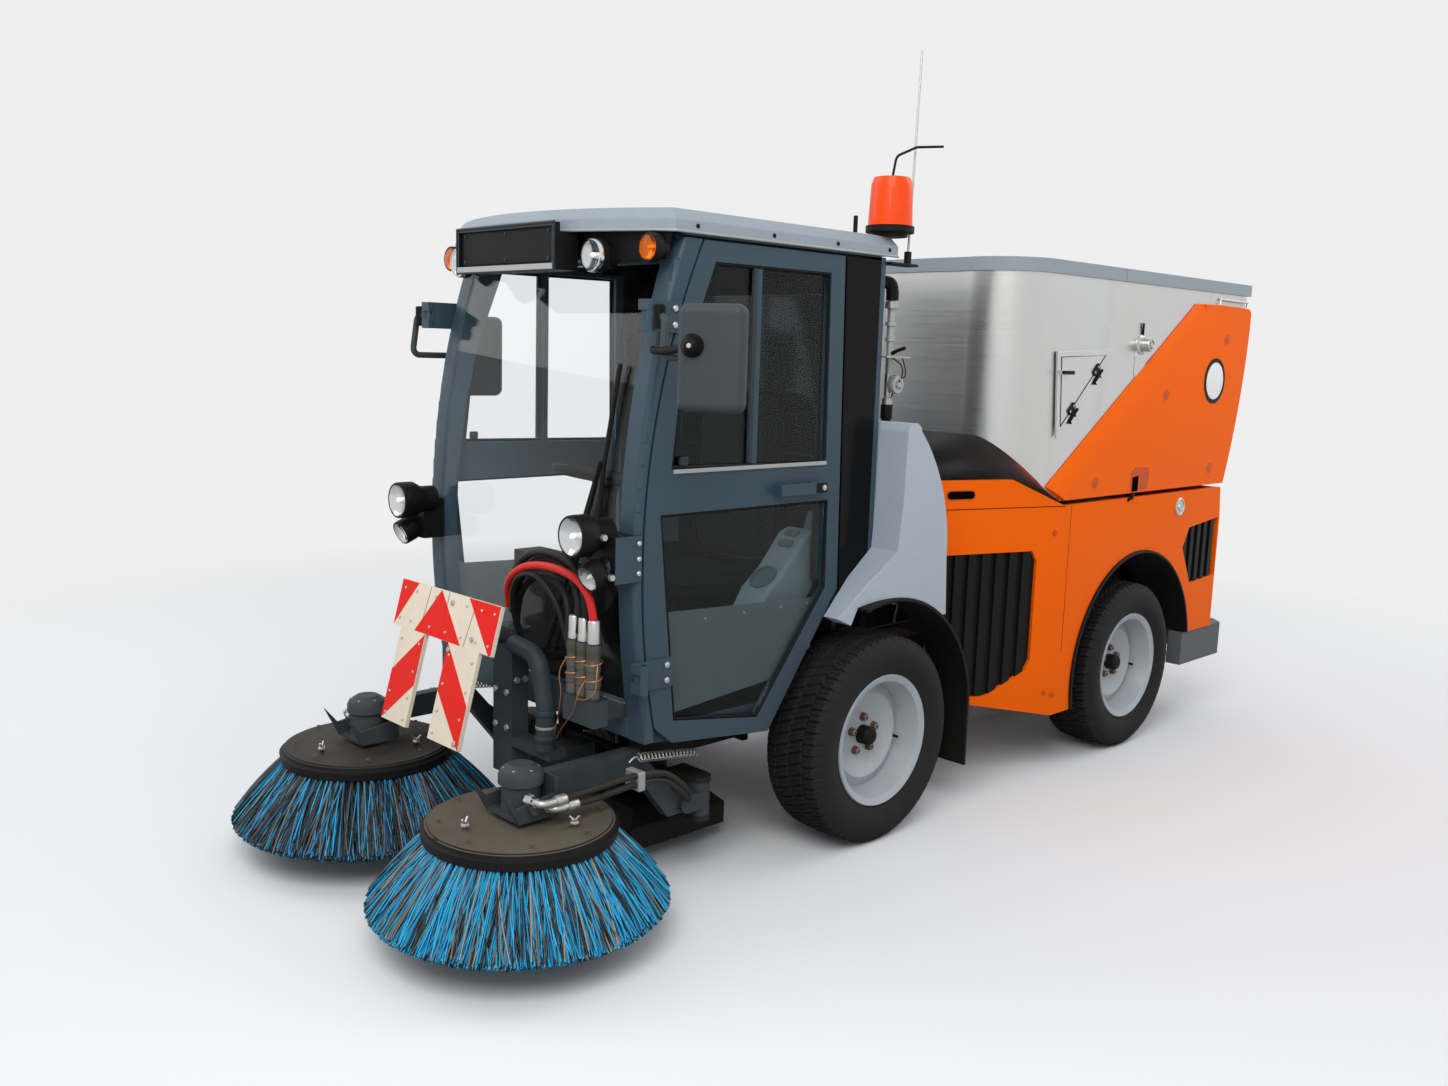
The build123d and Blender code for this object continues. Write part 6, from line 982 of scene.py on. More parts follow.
def roof_trim():
    """Lip round the roof's lower edge, pale as a painted highlight, its screws, and the box with the blank
    plate.

    The nose is the arc through both corners and the middle of the nose.
    """
    drop = ROOF_CORNER_Y - ROOF_NOSE_Y
    arc_r = (ROOF_EDGE_X**2 + drop**2) / (2 * drop)
    x = np.linspace(-ROOF_EDGE_X, ROOF_EDGE_X, 33)
    y = ROOF_NOSE_Y + arc_r - np.sqrt(arc_r**2 - x**2)
    nose = np.stack([x, y + AXLE_Y, np.full_like(x, ROOF_LIP_Z)], -1)
    right, left = (at(sign * ROOF_EDGE_X, ROOF_TAIL_Y, ROOF_LIP_Z) for sign in (-1, 1))
    path = np.vstack([right, nose, left])
    # The lip's pale grey is a painted highlight along the roof's edge
    tube("roof_lip", path, 0.0042, PALE_ALLOY_AND_HIGHLIGHT, "front_unit", 8, 0)
    for side, sign in SIDES:
        places = [(sign * ROOF_SCREW_X, y, ROOF_SCREW_Z) for y in ROOF_SCREW_Y]
        bolts(f"roof_screws_{side}", places, (sign, 0, 0), 0.0065, 0.004, SEAL, "front_unit")
    x_low, x_high, front = PLATE_X - PLATE_HALF_W, PLATE_X + PLATE_HALF_W, PLATE_FRONT_Y
    corners = [(x_low, PLATE_TOP_Z), (x_high, PLATE_TOP_Z), (x_high, PLATE_FOOT_Z), (x_low, PLATE_FOOT_Z)]
    ring = [at(px, front, pz) for px, pz in corners]
    tube("plate_rim", ring, 0.004, GEAR_SLATE, "front_unit", 8, 0, True)
    lip = ((x_low + 0.004, front - 0.0035, PLATE_FOOT_Z + 0.001), (x_high - 0.004, front, 1.828))
    slab("plate_lip", lip, PALE_ALLOY_AND_HIGHLIGHT, "front_unit", 0.001)
    blank = ((x_low + 0.02, BLANK_Y, 1.834), (x_high - 0.02, -1.057, 1.926))
    slab("plate_blank", blank, SEAL, "front_unit", 0.001)
    screws = [(px, BLANK_Y, pz) for px in (x_low + 0.035, PLATE_X, x_high - 0.035) for pz in (1.843, 1.917)]
    bolts("plate_screws", screws, (0, -1, 0), 0.005, 0.003, GEAR_SLATE, "front_unit")


# Doors and windows

UPPER_PANE = ((-0.868, 1.275), (-0.835, 1.560), (-0.721, 1.847), (-0.234, 1.849), (-0.223, 1.265))
LOWER_PANE = ((-0.905, 1.149), (-0.207, 1.151), (-0.203, 0.871), (-0.493, 0.497), (-0.839, 0.550))
DOOR_X = 0.535
SEAL_R = 0.006


def door_trim():
    """Rubber seals, sill, slide, catch, lock, hinge bolts and kick plate of each door."""
    for side, sign in SIDES:
        body = f"door_{side}"
        for name, pane in (("upper", UPPER_PANE), ("lower", LOWER_PANE)):
            middle = np.mean(pane, axis=0)
            shrunk = middle + (np.asarray(pane) - middle) * 0.985
            loop = [at(sign * (DOOR_X - 0.006), y, z) for y, z in shrunk]
            tube(f"seal_{name}_{side}", loop, SEAL_R, SEAL, body, 8, 0, True)
        sill = ((sign * (DOOR_X - 0.002), -0.862, 1.262), (sign * (DOOR_X + 0.005), -0.225, 1.274))
        slab(f"window_sill_{side}", sill, PALE_ALLOY_AND_HIGHLIGHT, body, 0.0015)
        slide = ((sign * (DOOR_X - 0.012), -0.566, 1.28), (sign * (DOOR_X - 0.001), -0.550, 1.84))
        slab(f"window_slide_{side}", slide, GEAR_SLATE, body, 0.0015)
        catch = ((sign * (DOOR_X - 0.010), -0.835, 1.283), (sign * (DOOR_X + 0.002), -0.805, 1.308))
        slab(f"window_catch_{side}", catch, GEAR_SLATE, body, 0.004)
        lock = ((sign * 0.560, -0.300, 1.181), (sign * 0.5715, -0.252, 1.211))
        slab(f"door_lock_{side}", lock, SEAL, body, 0.002)
        barrel = [(0, 0.009), (0.003, 0.009), (0.004, 0.007), (0.004, 0.001)]
        place = at(sign * 0.5715, -0.268, 1.196)
        turned(f"door_barrel_{side}", barrel, place, (sign, 0, 0), SCREW, body, 20)
        plates = [(sign * 0.542, -0.875, z + step) for z in (0.70, 1.69) for step in (-0.022, 0.022)]
        bolts(f"hinge_bolts_{side}", plates, (sign, 0, 0), 0.009, 0.007, SCREW, body)
        screws = [
            (sign * 0.5085, y, z)
            for y, z in ((-0.86, 0.83), (-0.70, 0.828), (-0.54, 0.826), (-0.38, 0.824), (-0.26, 0.82))
        ]
        bolts(f"kick_screws_{side}", screws, (sign, 0, 0), 0.0045, 0.003, SCREW, body)
        door = SKINS[body]
        paint(
            door, KICK,
            lambda x, y, z: (abs(x) < 0.5095) & (abs(x) > 0.502) & (z < 0.862) & (z > 0.55) & (y < -0.215)
        )
        paint(
            door, SEAL,
            lambda x, y, z: (abs(x) > 0.5355) & (z > 1.17) & (z < 1.22) & (y > -0.305) & (y < -0.23)
        )


MIRROR_PLACE = (0.812, -0.985, 1.583)
MIRROR_TURN = 32


def mirror_fittings():
    """Ball joint and elbow on the left mirror's shell, and the socket of each mirror's stalk."""
    turn = radians(MIRROR_TURN)
    out, along = np.array([sin(turn), -cos(turn), 0]), np.array([cos(turn), sin(turn), 0])
    centre = at(*MIRROR_PLACE) - 0.045 * along + (0, 0, 0.030) + 0.030 * out
    profile = [
        (0, 0.030), (0.004, 0.030), (0.010, 0.024), (0.018, 0.022), (0.026, 0.018), (0.032, 0.010),
        (0.034, 0.001)
    ]
    turned("mirror_joint_left", profile, centre, out, SEAL, "door_left", 32)
    head, screw = [(0, 0.006), (0.003, 0.006), (0.004, 0.001)], centre + 0.034 * out
    turned("mirror_screw_left", head, screw, out, SCREW, "door_left", 12)
    elbow = [at(0.592, -0.993, 1.60), at(0.62, -1.000, 1.598), at(0.70, -1.02, 1.602), centre + 0.016 * out]
    tube("mirror_elbow_left", elbow, 0.0105, SEAL, "door_left", 12, 8)
    for side, sign in SIDES:
        socket = [(0, 0.017), (0.060, 0.017), (0.064, 0.012)]
        place, name = at(sign * 0.600, -0.981, 1.655), f"mirror_socket_{side}"
        turned(name, socket, place, (0, 0, 1), SEAL, f"door_{side}", 20)


# Warning board

BOARD_FOOT = (-1.236, 0.732)
BOARD_LEAN = radians(14.7)
BOARD_LEFT, BOARD_RIGHT = -0.328, 0.211
BOARD_H, LEG_H = 0.144, 0.286
BOARD_LEGS = ((-0.281, -0.139), (-0.011, 0.152))
FILM_PROUD = 0.0078
FILM_T = 0.0012
# Stripes on the cross bar: share along its lower edge and along its top edge
BAR_STRIPES = ((0.0, 0.177), (0.232, 0.421), (0.706, 0.421), (0.976, 0.700))


def board_place(x, v, proud=FILM_PROUD):
    """A place on the board's face: x across, v up its slope from the bar's lower edge."""
    up = np.array([0, sin(BOARD_LEAN), cos(BOARD_LEAN)])
    out = np.array([0, -cos(BOARD_LEAN), sin(BOARD_LEAN)])
    return at(0, *BOARD_FOOT) + np.array([x, 0, 0]) + v * up + proud * out


def board_film(name, corners, material=None):
    """A thin reflective film laid on the board between its corners."""
    front = np.array([board_place(x, v) for x, v in corners])
    back = np.array([board_place(x, v, FILM_PROUD - FILM_T) for x, v in corners])
    n = len(corners)
    faces = [list(range(n)), list(range(n, 2 * n))[::-1]]
    faces += [[i, (i + 1) % n, n + (i + 1) % n, n + i] for i in range(n)]
    verts = np.vstack([front, back])
    return flip_out(piece(name, verts, faces, material or RED, "front_unit", False))


def board_stripes():
    """Red chevrons on the cream board, its seams, rivets and bolts."""
    width = BOARD_RIGHT - BOARD_LEFT
    low = [BOARD_LEFT + width * a for a, _ in BAR_STRIPES]
    top = [BOARD_LEFT + width * b for _, b in BAR_STRIPES]
    h, leg = BOARD_H - 0.001, LEG_H - 0.001
    board_film("stripe_bar_left", [(BOARD_LEFT + 0.001, 0.001), (top[0], h), (BOARD_LEFT + 0.001, h)])
    board_film("stripe_bar_middle", [(low[1], 0.001), (low[2], 0.001), (top[1], h)])
    board_film(
        "stripe_bar_right",
        [(low[3], 0.001), (BOARD_RIGHT - 0.001, 0.001), (BOARD_RIGHT - 0.001, h), (top[3], h)]
    )
    (a, b), (c, d) = BOARD_LEGS
    edge = 0.001
    board_film(
        "stripe_leg_left",
        [(b - edge, -edge), (b - edge, -0.55 * leg), (a + edge, -leg), (a + edge, -0.47 * leg)]
    )
    board_film(
        "stripe_leg_right",
        [(c + edge, -edge), (d - edge, -0.55 * leg), (d - edge, -leg), (c + edge, -0.50 * leg)]
    )
    seams = [((-0.176, 0.0), (-0.160, h)), ((-0.058, 0.0), (-0.058, h)), ((0.068, 0.0), (0.090, h))]
    for i, ((x0, v0), (x1, v1)) in enumerate(seams):
        line = [(x0, v0 + 0.001), (x0 + 0.0012, v0 + 0.001), (x1 + 0.0012, v1), (x1, v1)]
        board_film(f"board_seam_{i}", line, HOSE)
    points = [(x, v) for x in (-0.30, -0.235, -0.125, -0.035, 0.045, 0.125, 0.19) for v in (0.025, 0.118)]
    points += [(x, -v * leg) for x in (-0.262, -0.158, 0.010, 0.132) for v in (0.12, 0.42, 0.70, 0.93)]
    out = (0, -cos(BOARD_LEAN), sin(BOARD_LEAN))
    rivets = [bolt_arrays(board_place(x, v), out, 0.0045, 0.0028) for x, v in points]
    join("board_rivets", rivets, SCREW, "front_unit")
    ends = [
        bolt_arrays(board_place(x, v), out, 0.0085, 0.004, False)
        for x, v in ((-0.03, 0.115), (0.105, 0.03), (0.0, -0.02), (0.13, -0.27))
    ]
    join("board_bolts", ends, PALE_ALLOY_AND_HIGHLIGHT, "front_unit")


# Front gear: hoses, couplers, springs and motor fittings

COUPLERS = (
    # x, hose radius
    (0.470, 0.013),
    (0.426, 0.012),
    (0.382, 0.012),
)
COUPLER_Y = -1.080


# Hoses that arch from the couplers over to the post, and a short one beside it
HOSE_RUNS = (
    (RED_HOSE, 0.0115, (
        (0.470, -1.080, 0.790), (0.470, -1.083, 0.870), (0.452, -1.090, 0.935),
        (0.400, -1.098, 0.975), (0.310, -1.103, 0.990), (0.210, -1.105, 0.982),
        (0.125, -1.100, 0.950), (0.065, -1.085, 0.900), (0.035, -1.060, 0.830),
    )),
    (HOSE, 0.0110, (
        (0.430, -1.080, 0.790), (0.431, -1.078, 0.880), (0.415, -1.080, 0.955),
        (0.360, -1.082, 1.008), (0.270, -1.083, 1.024), (0.180, -1.082, 1.010),
        (0.105, -1.078, 0.965), (0.055, -1.065, 0.900), (0.030, -1.045, 0.810),
    )),
    (HOSE, 0.0110, (
        (0.390, -1.080, 0.790), (0.390, -1.073, 0.870), (0.372, -1.068, 0.935),
        (0.320, -1.066, 0.985), (0.240, -1.064, 1.000), (0.160, -1.062, 0.982),
        (0.095, -1.056, 0.930), (0.050, -1.045, 0.860), (0.028, -1.030, 0.770),
    )),
    (HOSE, 0.0100, (
        (0.350, -1.080, 0.790), (0.348, -1.075, 0.850), (0.325, -1.068, 0.905),
        (0.275, -1.062, 0.940), (0.205, -1.060, 0.945), (0.135, -1.056, 0.920),
        (0.080, -1.050, 0.870), (0.045, -1.038, 0.800), (0.025, -1.025, 0.720),
    )),
    (HOSE, 0.0090, (
        (0.040, -1.012, 0.70), (0.075, -1.075, 0.84), (0.130, -1.098, 0.93),
        (0.230, -1.104, 0.955), (0.310, -1.092, 0.89), (0.340, -1.072, 0.78),
        (0.372, -1.060, 0.63),
    )),
)
COUPLER_RINGS = (
    (0, 0.0205), (0.022, 0.0205), (0.024, 0.0195), (0.028, 0.0195), (0.030, 0.0225),
    (0.058, 0.0225), (0.060, 0.0195), (0.074, 0.0195), (0.076, 0.0215), (0.096, 0.0215),
    (0.100, 0.0198), (0.118, 0.0198), (0.120, 0.021), (0.150, 0.021),
)
COUPLER_FOOT_Z, FERRULE_Z = 0.646, 0.800
LOOP_Z = (0.700, 0.745)
LOOP_R, LOOP_WAVE, LOOP_WIRE_R = 0.0245, 0.004, 0.0018
COPPER_STRANDS = (
    ((0.492, -1.083, 0.745), (0.505, -1.095, 0.715), (0.500, -1.098, 0.670),
     (0.470, -1.106, 0.645), (0.43, -1.106, 0.64)),
    ((0.449, -1.085, 0.700), (0.447, -1.112, 0.66), (0.42, -1.110, 0.60),
     (0.36, -1.10, 0.54), (0.31, -1.085, 0.49)),
    ((0.360, -1.085, 0.745), (0.350, -1.105, 0.70), (0.358, -1.106, 0.64),
     (0.34, -1.10, 0.58), (0.30, -1.085, 0.50)),
)


def couplers():
    """Collars and ferrules on the quick couplers, their copper wires, and the hoses that leave them."""
    for i, (x, hose_r) in enumerate(COUPLERS):
        foot = at(x, COUPLER_Y, COUPLER_FOOT_Z)
        turned(f"coupler_rings_{i}", COUPLER_RINGS, foot, (0, 0, 1), COUPLER, "front_unit", 24)
        ferrule = [
            (0, 0.0175), (0.014, 0.0175), (0.018, hose_r + 0.004),
            (0.060, hose_r + 0.0035), (0.064, hose_r + 0.001),
        ]
        top = at(x, COUPLER_Y, FERRULE_Z)
        turned(f"hose_ferrule_{i}", ferrule, top, (0, 0, 1), SCREW, "front_unit", 20)
        t = np.linspace(0, 2 * pi, 25)[:-1]
        for z in LOOP_Z:
            ring_y = COUPLER_Y + AXLE_Y + LOOP_R * np.sin(t)
            loop = np.stack([x + LOOP_R * np.cos(t), ring_y, z + LOOP_WAVE * np.sin(t + i)], -1)
            name = f"wire_loop_{i}_{int(z * 1000)}"
            tube(name, loop, LOOP_WIRE_R, COPPER, "front_unit", 6, 0, True)
    for i, points in enumerate(COPPER_STRANDS):
        run = [at(*p) for p in points]
        tube(f"copper_strand_{i}", run, 0.0016, COPPER, "front_unit", 6, 6)
    for i, (colour, radius, points) in enumerate(HOSE_RUNS):
        tube(f"front_hose_{i}", [at(*p) for p in points], radius, colour, "front_unit", 14, 10)


HOSE_CUT_Z = 0.803
TUBE_PLACE = (0.214, -1.054)


def front_gear():
    """Finishes of the couplers, clamps on the bent tube and bolts on the post.

    The hoses' upper runs go, and the arches of HOSE_RUNS replace them.
    """
    hoses = SKINS["front_hoses"]
    paint_solids(hoses, COUPLER, lambda low, high: (high[:, 2] < HOSE_CUT_Z - 0.001) & (low[:, 2] > 0.635))
    paint_solids(hoses, GEAR_SLATE, lambda low, high: high[:, 2] < 0.6405)
    cut_away(hoses, lambda x, y, z: (z > HOSE_CUT_Z) & (x > -0.02))
    clamp = [(0, 0.0305), (0.003, 0.032), (0.016, 0.032), (0.019, 0.0305)]
    for i, z in enumerate((0.53, 0.452)):
        foot = at(*TUBE_PLACE, z)
        turned(f"tube_clamp_{i}", clamp, foot, (0, 0, 1), GEAR_SLATE, "front_unit", 32)
    seam = [(0, 0.0292), (0.004, 0.0300), (0.008, 0.0292)]
    turned("tube_seam", seam, at(*TUBE_PLACE, 0.492), (0, 0, 1), PALE_ALLOY_AND_HIGHLIGHT, "front_unit", 32)
    places = [(0.052, y, z) for y in (-1.045, -1.015) for z in (0.60, 0.70, 0.335)]
    bolts("post_bolts", places, (1, 0, 0), 0.011, 0.008, SCREW, "front_unit", False)
    plates = [(x, -1.0615, z) for x in (-0.03, 0.03) for z in (0.45, 0.56)]
    bolts("post_face_bolts", plates, (0, -1, 0), 0.011, 0.008, SCREW, "front_unit", False)


SPRING_X = 0.492
SPRING_START = (-0.93, 0.448)
SPRING_RUN = (0.22, -0.030)
SPRING_TURNS = 16
SPRING_R = 0.0125
SPRING_WIRE_R = 0.0030
SPRING_HOOK_R = 0.0035


def return_spring(side, sign):
    """A coil along the arm, start + run t + R (cos, sin) of its turns, with a hook at each end."""
    arm = f"arm_{side}"
    t = np.linspace(0, 1, SPRING_TURNS * 14)
    angle = 2 * pi * SPRING_TURNS * t
    coil = at(sign * SPRING_X, *SPRING_START) + t[:, None] * np.array([0.0, *SPRING_RUN])
    coil += SPRING_R * np.stack([np.cos(angle), 0 * t, np.sin(angle)], -1)
    tube(f"return_spring_{side}", coil, SPRING_WIRE_R, SPRING, arm, 6, 0)
    hook = [(SPRING_X, -0.965, 0.440), (SPRING_X, -0.945, 0.452), (SPRING_X, *SPRING_START)]
    tail = [(SPRING_X, -0.71, 0.418), (0.486, -0.695, 0.410), (0.470, -0.69, 0.390)]
    for name, points in (("hook", hook), ("tail", tail)):
        points = [at(sign * x, y, z) for x, y, z in points]
        tube(f"spring_{name}_{side}", points, SPRING_HOOK_R, SPRING, arm, 8, 4)


MOTOR = (0.424, -1.285)
MOTOR_PORTS = ((0.410, -0.020), (0.388, 0.020))


def broom_fittings():
    """Motor ports and bolts, the hoses along each arm, the return spring and the disc's clamps and bolts."""
    for side, sign in SIDES:
        arm = f"arm_{side}"
        x, y = sign * MOTOR[0], MOTOR[1]
        for i, (z, step) in enumerate(MOTOR_PORTS):
            start = at(x + sign * 0.060, y + step, z)
            nut = [(0, 0.0165), (0.016, 0.0165), (0.018, 0.013), (0.040, 0.013)]
            turned(f"port_nut_{side}_{i}", nut, start, (sign, 0, 0), SCREW, arm, 6)
            bend = [
                start + (sign * 0.030, 0, 0), start + (sign * 0.052, 0.004, 0),
                start + (sign * 0.060, 0.024, 0), start + (sign * 0.058, 0.060, 0)
            ]
            tube(f"port_elbow_{side}_{i}", bend, 0.0105, SCREW, arm, 12, 6)
            ferrule = [(0, 0.0140), (0.004, 0.0150), (0.030, 0.0150), (0.034, 0.0125)]
            name, end = f"port_ferrule_{side}_{i}", bend[-1] - (0, 0.012, 0)
            turned(name, ferrule, end, (0, 1, 0), SCREW, arm, 20)
            run = [
                bend[-1],
                at(sign * 0.542, -1.12, z + 0.004 - 0.006 * i),
                at(sign * 0.548, -1.00, z + 0.012 - 0.004 * i),
                at(sign * (0.540 - 0.004 * i), -0.88, z - 0.006),
                at(sign * (0.520 - 0.004 * i), -0.79, z - 0.060),
                at(sign * (0.490 - 0.008 * i), -0.722, 0.292 - 0.02 * i),
            ]
            tube(f"arm_hose_{side}_{i}", run, 0.0095, HOSE, arm, 12, 8)
        clip = ((sign * 0.500, -0.985, 0.376), (sign * 0.562, -0.960, 0.432))
        slab(f"hose_clip_{side}", clip, PALE_ALLOY_AND_HIGHLIGHT, arm, 0.004)
        cap = [
            (x + 0.044 * cos(a), y + 0.044 * sin(a), 0.4765)
            for a in np.linspace(0, 2 * pi, 6, endpoint=False)
        ]
        bolts(f"motor_bolts_{side}", cap, (0, 0, 1), 0.006, 0.006, SCREW, arm, False)
        return_spring(side, sign)
        disc_fittings(side, sign)


DISC_TOP_Z = 0.350
CLAMP_CIRCLE_R = 0.165
CLAMP_TURNS = (24, 144, 264)
WING_REACH, WING_RISE = 0.014, 0.020
BOLT_CIRCLE_R = 0.218
RUBBER_EDGE_R = 0.232


def disc_fittings(side, sign):
    """Black rubber edge of a disc, its three wing clamps and its ring of rusty bolts."""
    disc, body = SKINS[f"broom_disc_{side}"], f"broom_{side}"
    x0, y0 = sign * MOTOR[0], MOTOR[1]
    paint(disc, BLACK, lambda x, y, z: np.hypot(x - x0, y - y0) > RUBBER_EDGE_R)
    paint(
        disc, SCREW,
        lambda x, y, z: (abs(np.hypot(x - x0, y - y0) - CLAMP_CIRCLE_R) < 0.012) & (z > 0.3495)
    )
    parts = []
    for a in np.radians(CLAMP_TURNS) * sign + (0 if sign > 0 else pi):
        stud = at(x0 + CLAMP_CIRCLE_R * cos(a), y0 + CLAMP_CIRCLE_R * sin(a), DISC_TOP_Z)
        across = np.array([cos(a + 0.6), sin(a + 0.6), 0.0])
        parts.append(bolt_arrays(stud - (0, 0, 0.001), (0, 0, 1), 0.0125, 0.0080, False))
        for reach in (-WING_REACH, WING_REACH):
            wing = np.array([stud + (0, 0, 0.007), stud + across * reach + (0, 0, WING_RISE)])
            parts.append(tube_arrays(wing, 0.0030, 8))
    join(f"disc_clamps_{side}", parts, SCREW, body)
    turns = np.linspace(0.3, 2 * pi + 0.3, 9)[:-1]
    ring = [(x0 + BOLT_CIRCLE_R * cos(a), y0 + BOLT_CIRCLE_R * sin(a), 0.3465) for a in turns]
    bolts(f"disc_bolts_{side}", ring, (0, 0, 1), 0.006, 0.005, RUST, body)


# Behind the cab


PIPE_PLACE = (0.490, 0.120)


def rear_pipes():
    """Air elbow, pale riser, valve lever, drain cock, bracket and wires behind the cab on the left."""
    x, y = PIPE_PLACE
    body = "front_unit"
    elbow = [
        at(0.452, 0.030, 1.838), at(0.470, 0.070, 1.842), at(0.486, y - 0.010, 1.838),
        at(x, y, 1.812), at(x, y, 1.770)
    ]
    tube("air_elbow", elbow, 0.021, SEAL, body, 16, 6)
    collar = [(0, 0.0245), (0.022, 0.0245), (0.025, 0.021)]
    turned("elbow_collar", collar, at(x, y, 1.758), (0, 0, 1), ZINC, body, 24)
    riser = [
        (0, 0.0125), (0.045, 0.0125), (0.047, 0.019), (0.060, 0.019), (0.062, 0.0125), (0.095, 0.0125),
        (0.097, 0.017), (0.110, 0.017), (0.112, 0.011), (0.250, 0.011)
    ]
    turned("pale_riser", riser, at(x, y, 1.762), (0, 0, -1), PALE_ALLOY_AND_HIGHLIGHT, body, 24)
    slab("valve_shelf", ((0.400, 0.026, 1.598), (0.556, 0.150, 1.603)), ZINC, body, 0.001)
    slab("valve_web", ((0.440, 0.026, 1.440), (0.444, 0.105, 1.598)), GEAR_SLATE, body, 0.001)
    lever = [at(0.500, y, 1.612), at(0.520, y + 0.005, 1.622), at(0.546, y + 0.012, 1.632)]
    tube("valve_lever", lever, 0.006, SEAL, body, 10, 6)
    wheel = [
        (0, 0.016), (0.012, 0.016), (0.014, 0.028), (0.026, 0.030), (0.034, 0.028), (0.035, 0.018),
        (0.030, 0.016), (0.030, 0.010), (0.040, 0.009), (0.041, 0.001)
    ]
    turned("drain_cock", wheel, at(0.500, y, 1.511), (1, 0, 0), PALE_ALLOY_AND_HIGHLIGHT, body, 32)
    cock = [(0, 0.013), (0.075, 0.013), (0.078, 0.018), (0.100, 0.018)]
    turned("cock_body", cock, at(x, y, 1.545), (0, 0, -1), ZINC, body, 20)
    sleeve = [(0, 0.020), (0.045, 0.020), (0.048, 0.016), (0.100, 0.016)]
    turned("cock_sleeve", sleeve, at(x, y, 1.445), (0, 0, -1), SEAL, body, 20)
    wires = (
        [(0.500, y, 1.60), (0.530, y + 0.015, 1.575), (0.535, y + 0.015, 1.54),
         (0.520, y, 1.50), (0.50, y, 1.45)],
        [(0.545, y, 1.60), (0.552, y + 0.01, 1.56), (0.540, y + 0.02, 1.535),
         (0.505, y + 0.01, 1.54)],
    )
    for i, points in enumerate(wires):
        tube(f"cock_wire_{i}", [at(*p) for p in points], 0.0022, SEAL, body, 6, 6)


# Orange bodywork and hopper

PANEL_X = 0.655
DIMPLES = ((2.262, 1.720), (1.740, 1.481), (2.198, 1.160), (1.220, 1.143))
ROUNDEL = (2.174, 1.541)
SIDE_CAP = (1.948, 1.003)
FILLER = (1.544, 1.680)
TANK_FACE = 0.6325
HINGE_HALF = 0.016
DIMPLE_R = 0.026
CROWN_RAIL = ((2.195, 1.868), (2.195, 1.892), (2.470, 1.890), (2.470, 1.866))
LATCH_NOTCH = (
    (1.500, 1.096), (1.500, 1.170), (1.530, 1.190),
    (1.640, 1.186), (1.652, 1.160), (1.640, 1.098),
)
LATCH_HOLE = ((1.512, 1.092), (1.512, 1.150), (1.560, 1.156), (1.560, 1.092))
LATCH_HOOK = (
    (0.652, 1.490, 1.056), (0.664, 1.495, 1.070),
    (0.664, 1.512, 1.080), (0.654, 1.522, 1.064),
)


def round_recess(name, y, z, radius, sign, body):
    """A pressed dimple: a shallow rounded ring with a darker orange floor as painted shade, all turned."""
    ring = [
        (0, radius * 1.12), (0.0016, radius * 1.06), (0.0022, radius), (0.0012, radius * 0.9),
        (0.0004, radius * 0.82)
    ]
    place, out = at(sign * PANEL_X, y, z), (sign, 0, 0)
    turned(name + "_ring", ring, place, out, ORANGE, body, 28)
    floor = [
        (0, radius * 0.90), (0.0009, radius * 0.88), (0.0009, radius * 0.45), (0.0016, radius * 0.40),
        (0.0017, 0.001)
    ]
    turned(name + "_floor", floor, place, out, ORANGE_PAINTED_SHADE, body, 28)


def hopper_trim():
    """Dimples, blank roundel, rail and latch of the hopper's sides, with their small trims.

    On the tank, the filler's neck and the strip beside the inspection hinge are painted.
    """
    for side, sign in SIDES:
        for i, (y, z) in enumerate(DIMPLES):
            round_recess(f"dimple_{side}_{i}", y, z, DIMPLE_R, sign, "hopper")
        centre, out = at(sign * PANEL_X, *ROUNDEL), (sign, 0, 0)
        black = [(0, 0.098), (0.0022, 0.0975), (0.0024, 0.088), (0.0018, 0.087), (0.0018, 0.001)]
        turned(f"roundel_rim_{side}", black, centre, out, SEAL, "hopper", 56)
        white = [(0.0010, 0.0792), (0.0026, 0.0790), (0.0028, 0.0780), (0.0028, 0.001)]
        turned(f"roundel_face_{side}", white, centre, out, WHITE, "hopper", 56)
        rail = [at(sign * 0.640, y, z) for y, z in CROWN_RAIL]
        tube(f"crown_rail_{side}", rail, 0.0055, SCREW, "hopper", 10, 0)
        # The latch notch takes the darker orange as painted shade
        films = (
            ("latch_notch", LATCH_NOTCH, -0.001, 0.0025, ORANGE_PAINTED_SHADE, "orange_paint", 0.0008),
            ("latch_hole", LATCH_HOLE, 0.001, 0.0012, HOLE, "black_plastic", 0.0),
        )
        for name, outline, proud, depth, material, slot, edge in films:
            plane = at(sign * (PANEL_X + proud), 0, 0), (0, 1, 0), (0, 0, 1)
            plate(f"{name}_{side}", outline, *plane, sign * depth, material, "hopper", slot, edge)
        hook = [at(sign * x, y, z) for x, y, z in LATCH_HOOK]
        tube(f"latch_hook_{side}", hook, 0.006, SEAL, "rear_unit", 10, 6)
        inspection_trim(side, sign)
        filler_trim(side, sign)
    tank = SKINS["hopper_tank"]
    paint(tank, SCREW, lambda x, y, z: (np.hypot(y - FILLER[0], z - FILLER[1]) < 0.032) & (abs(x) > 0.632))
    (y0, z0), (y1, z1) = INSPECTION_FOOT, INSPECTION_END
    length = np.hypot(y1 - y0, z1 - z0)

    def by_hinge(x, y, z):
        off = abs((z1 - z0) * (y - y0) - (y1 - y0) * (z - z0))
        return (abs(x) > TANK_FACE) & (off < HINGE_HALF * length) & (y > 0.96) & (y < 1.28)

    paint(tank, SEAL, by_hinge)


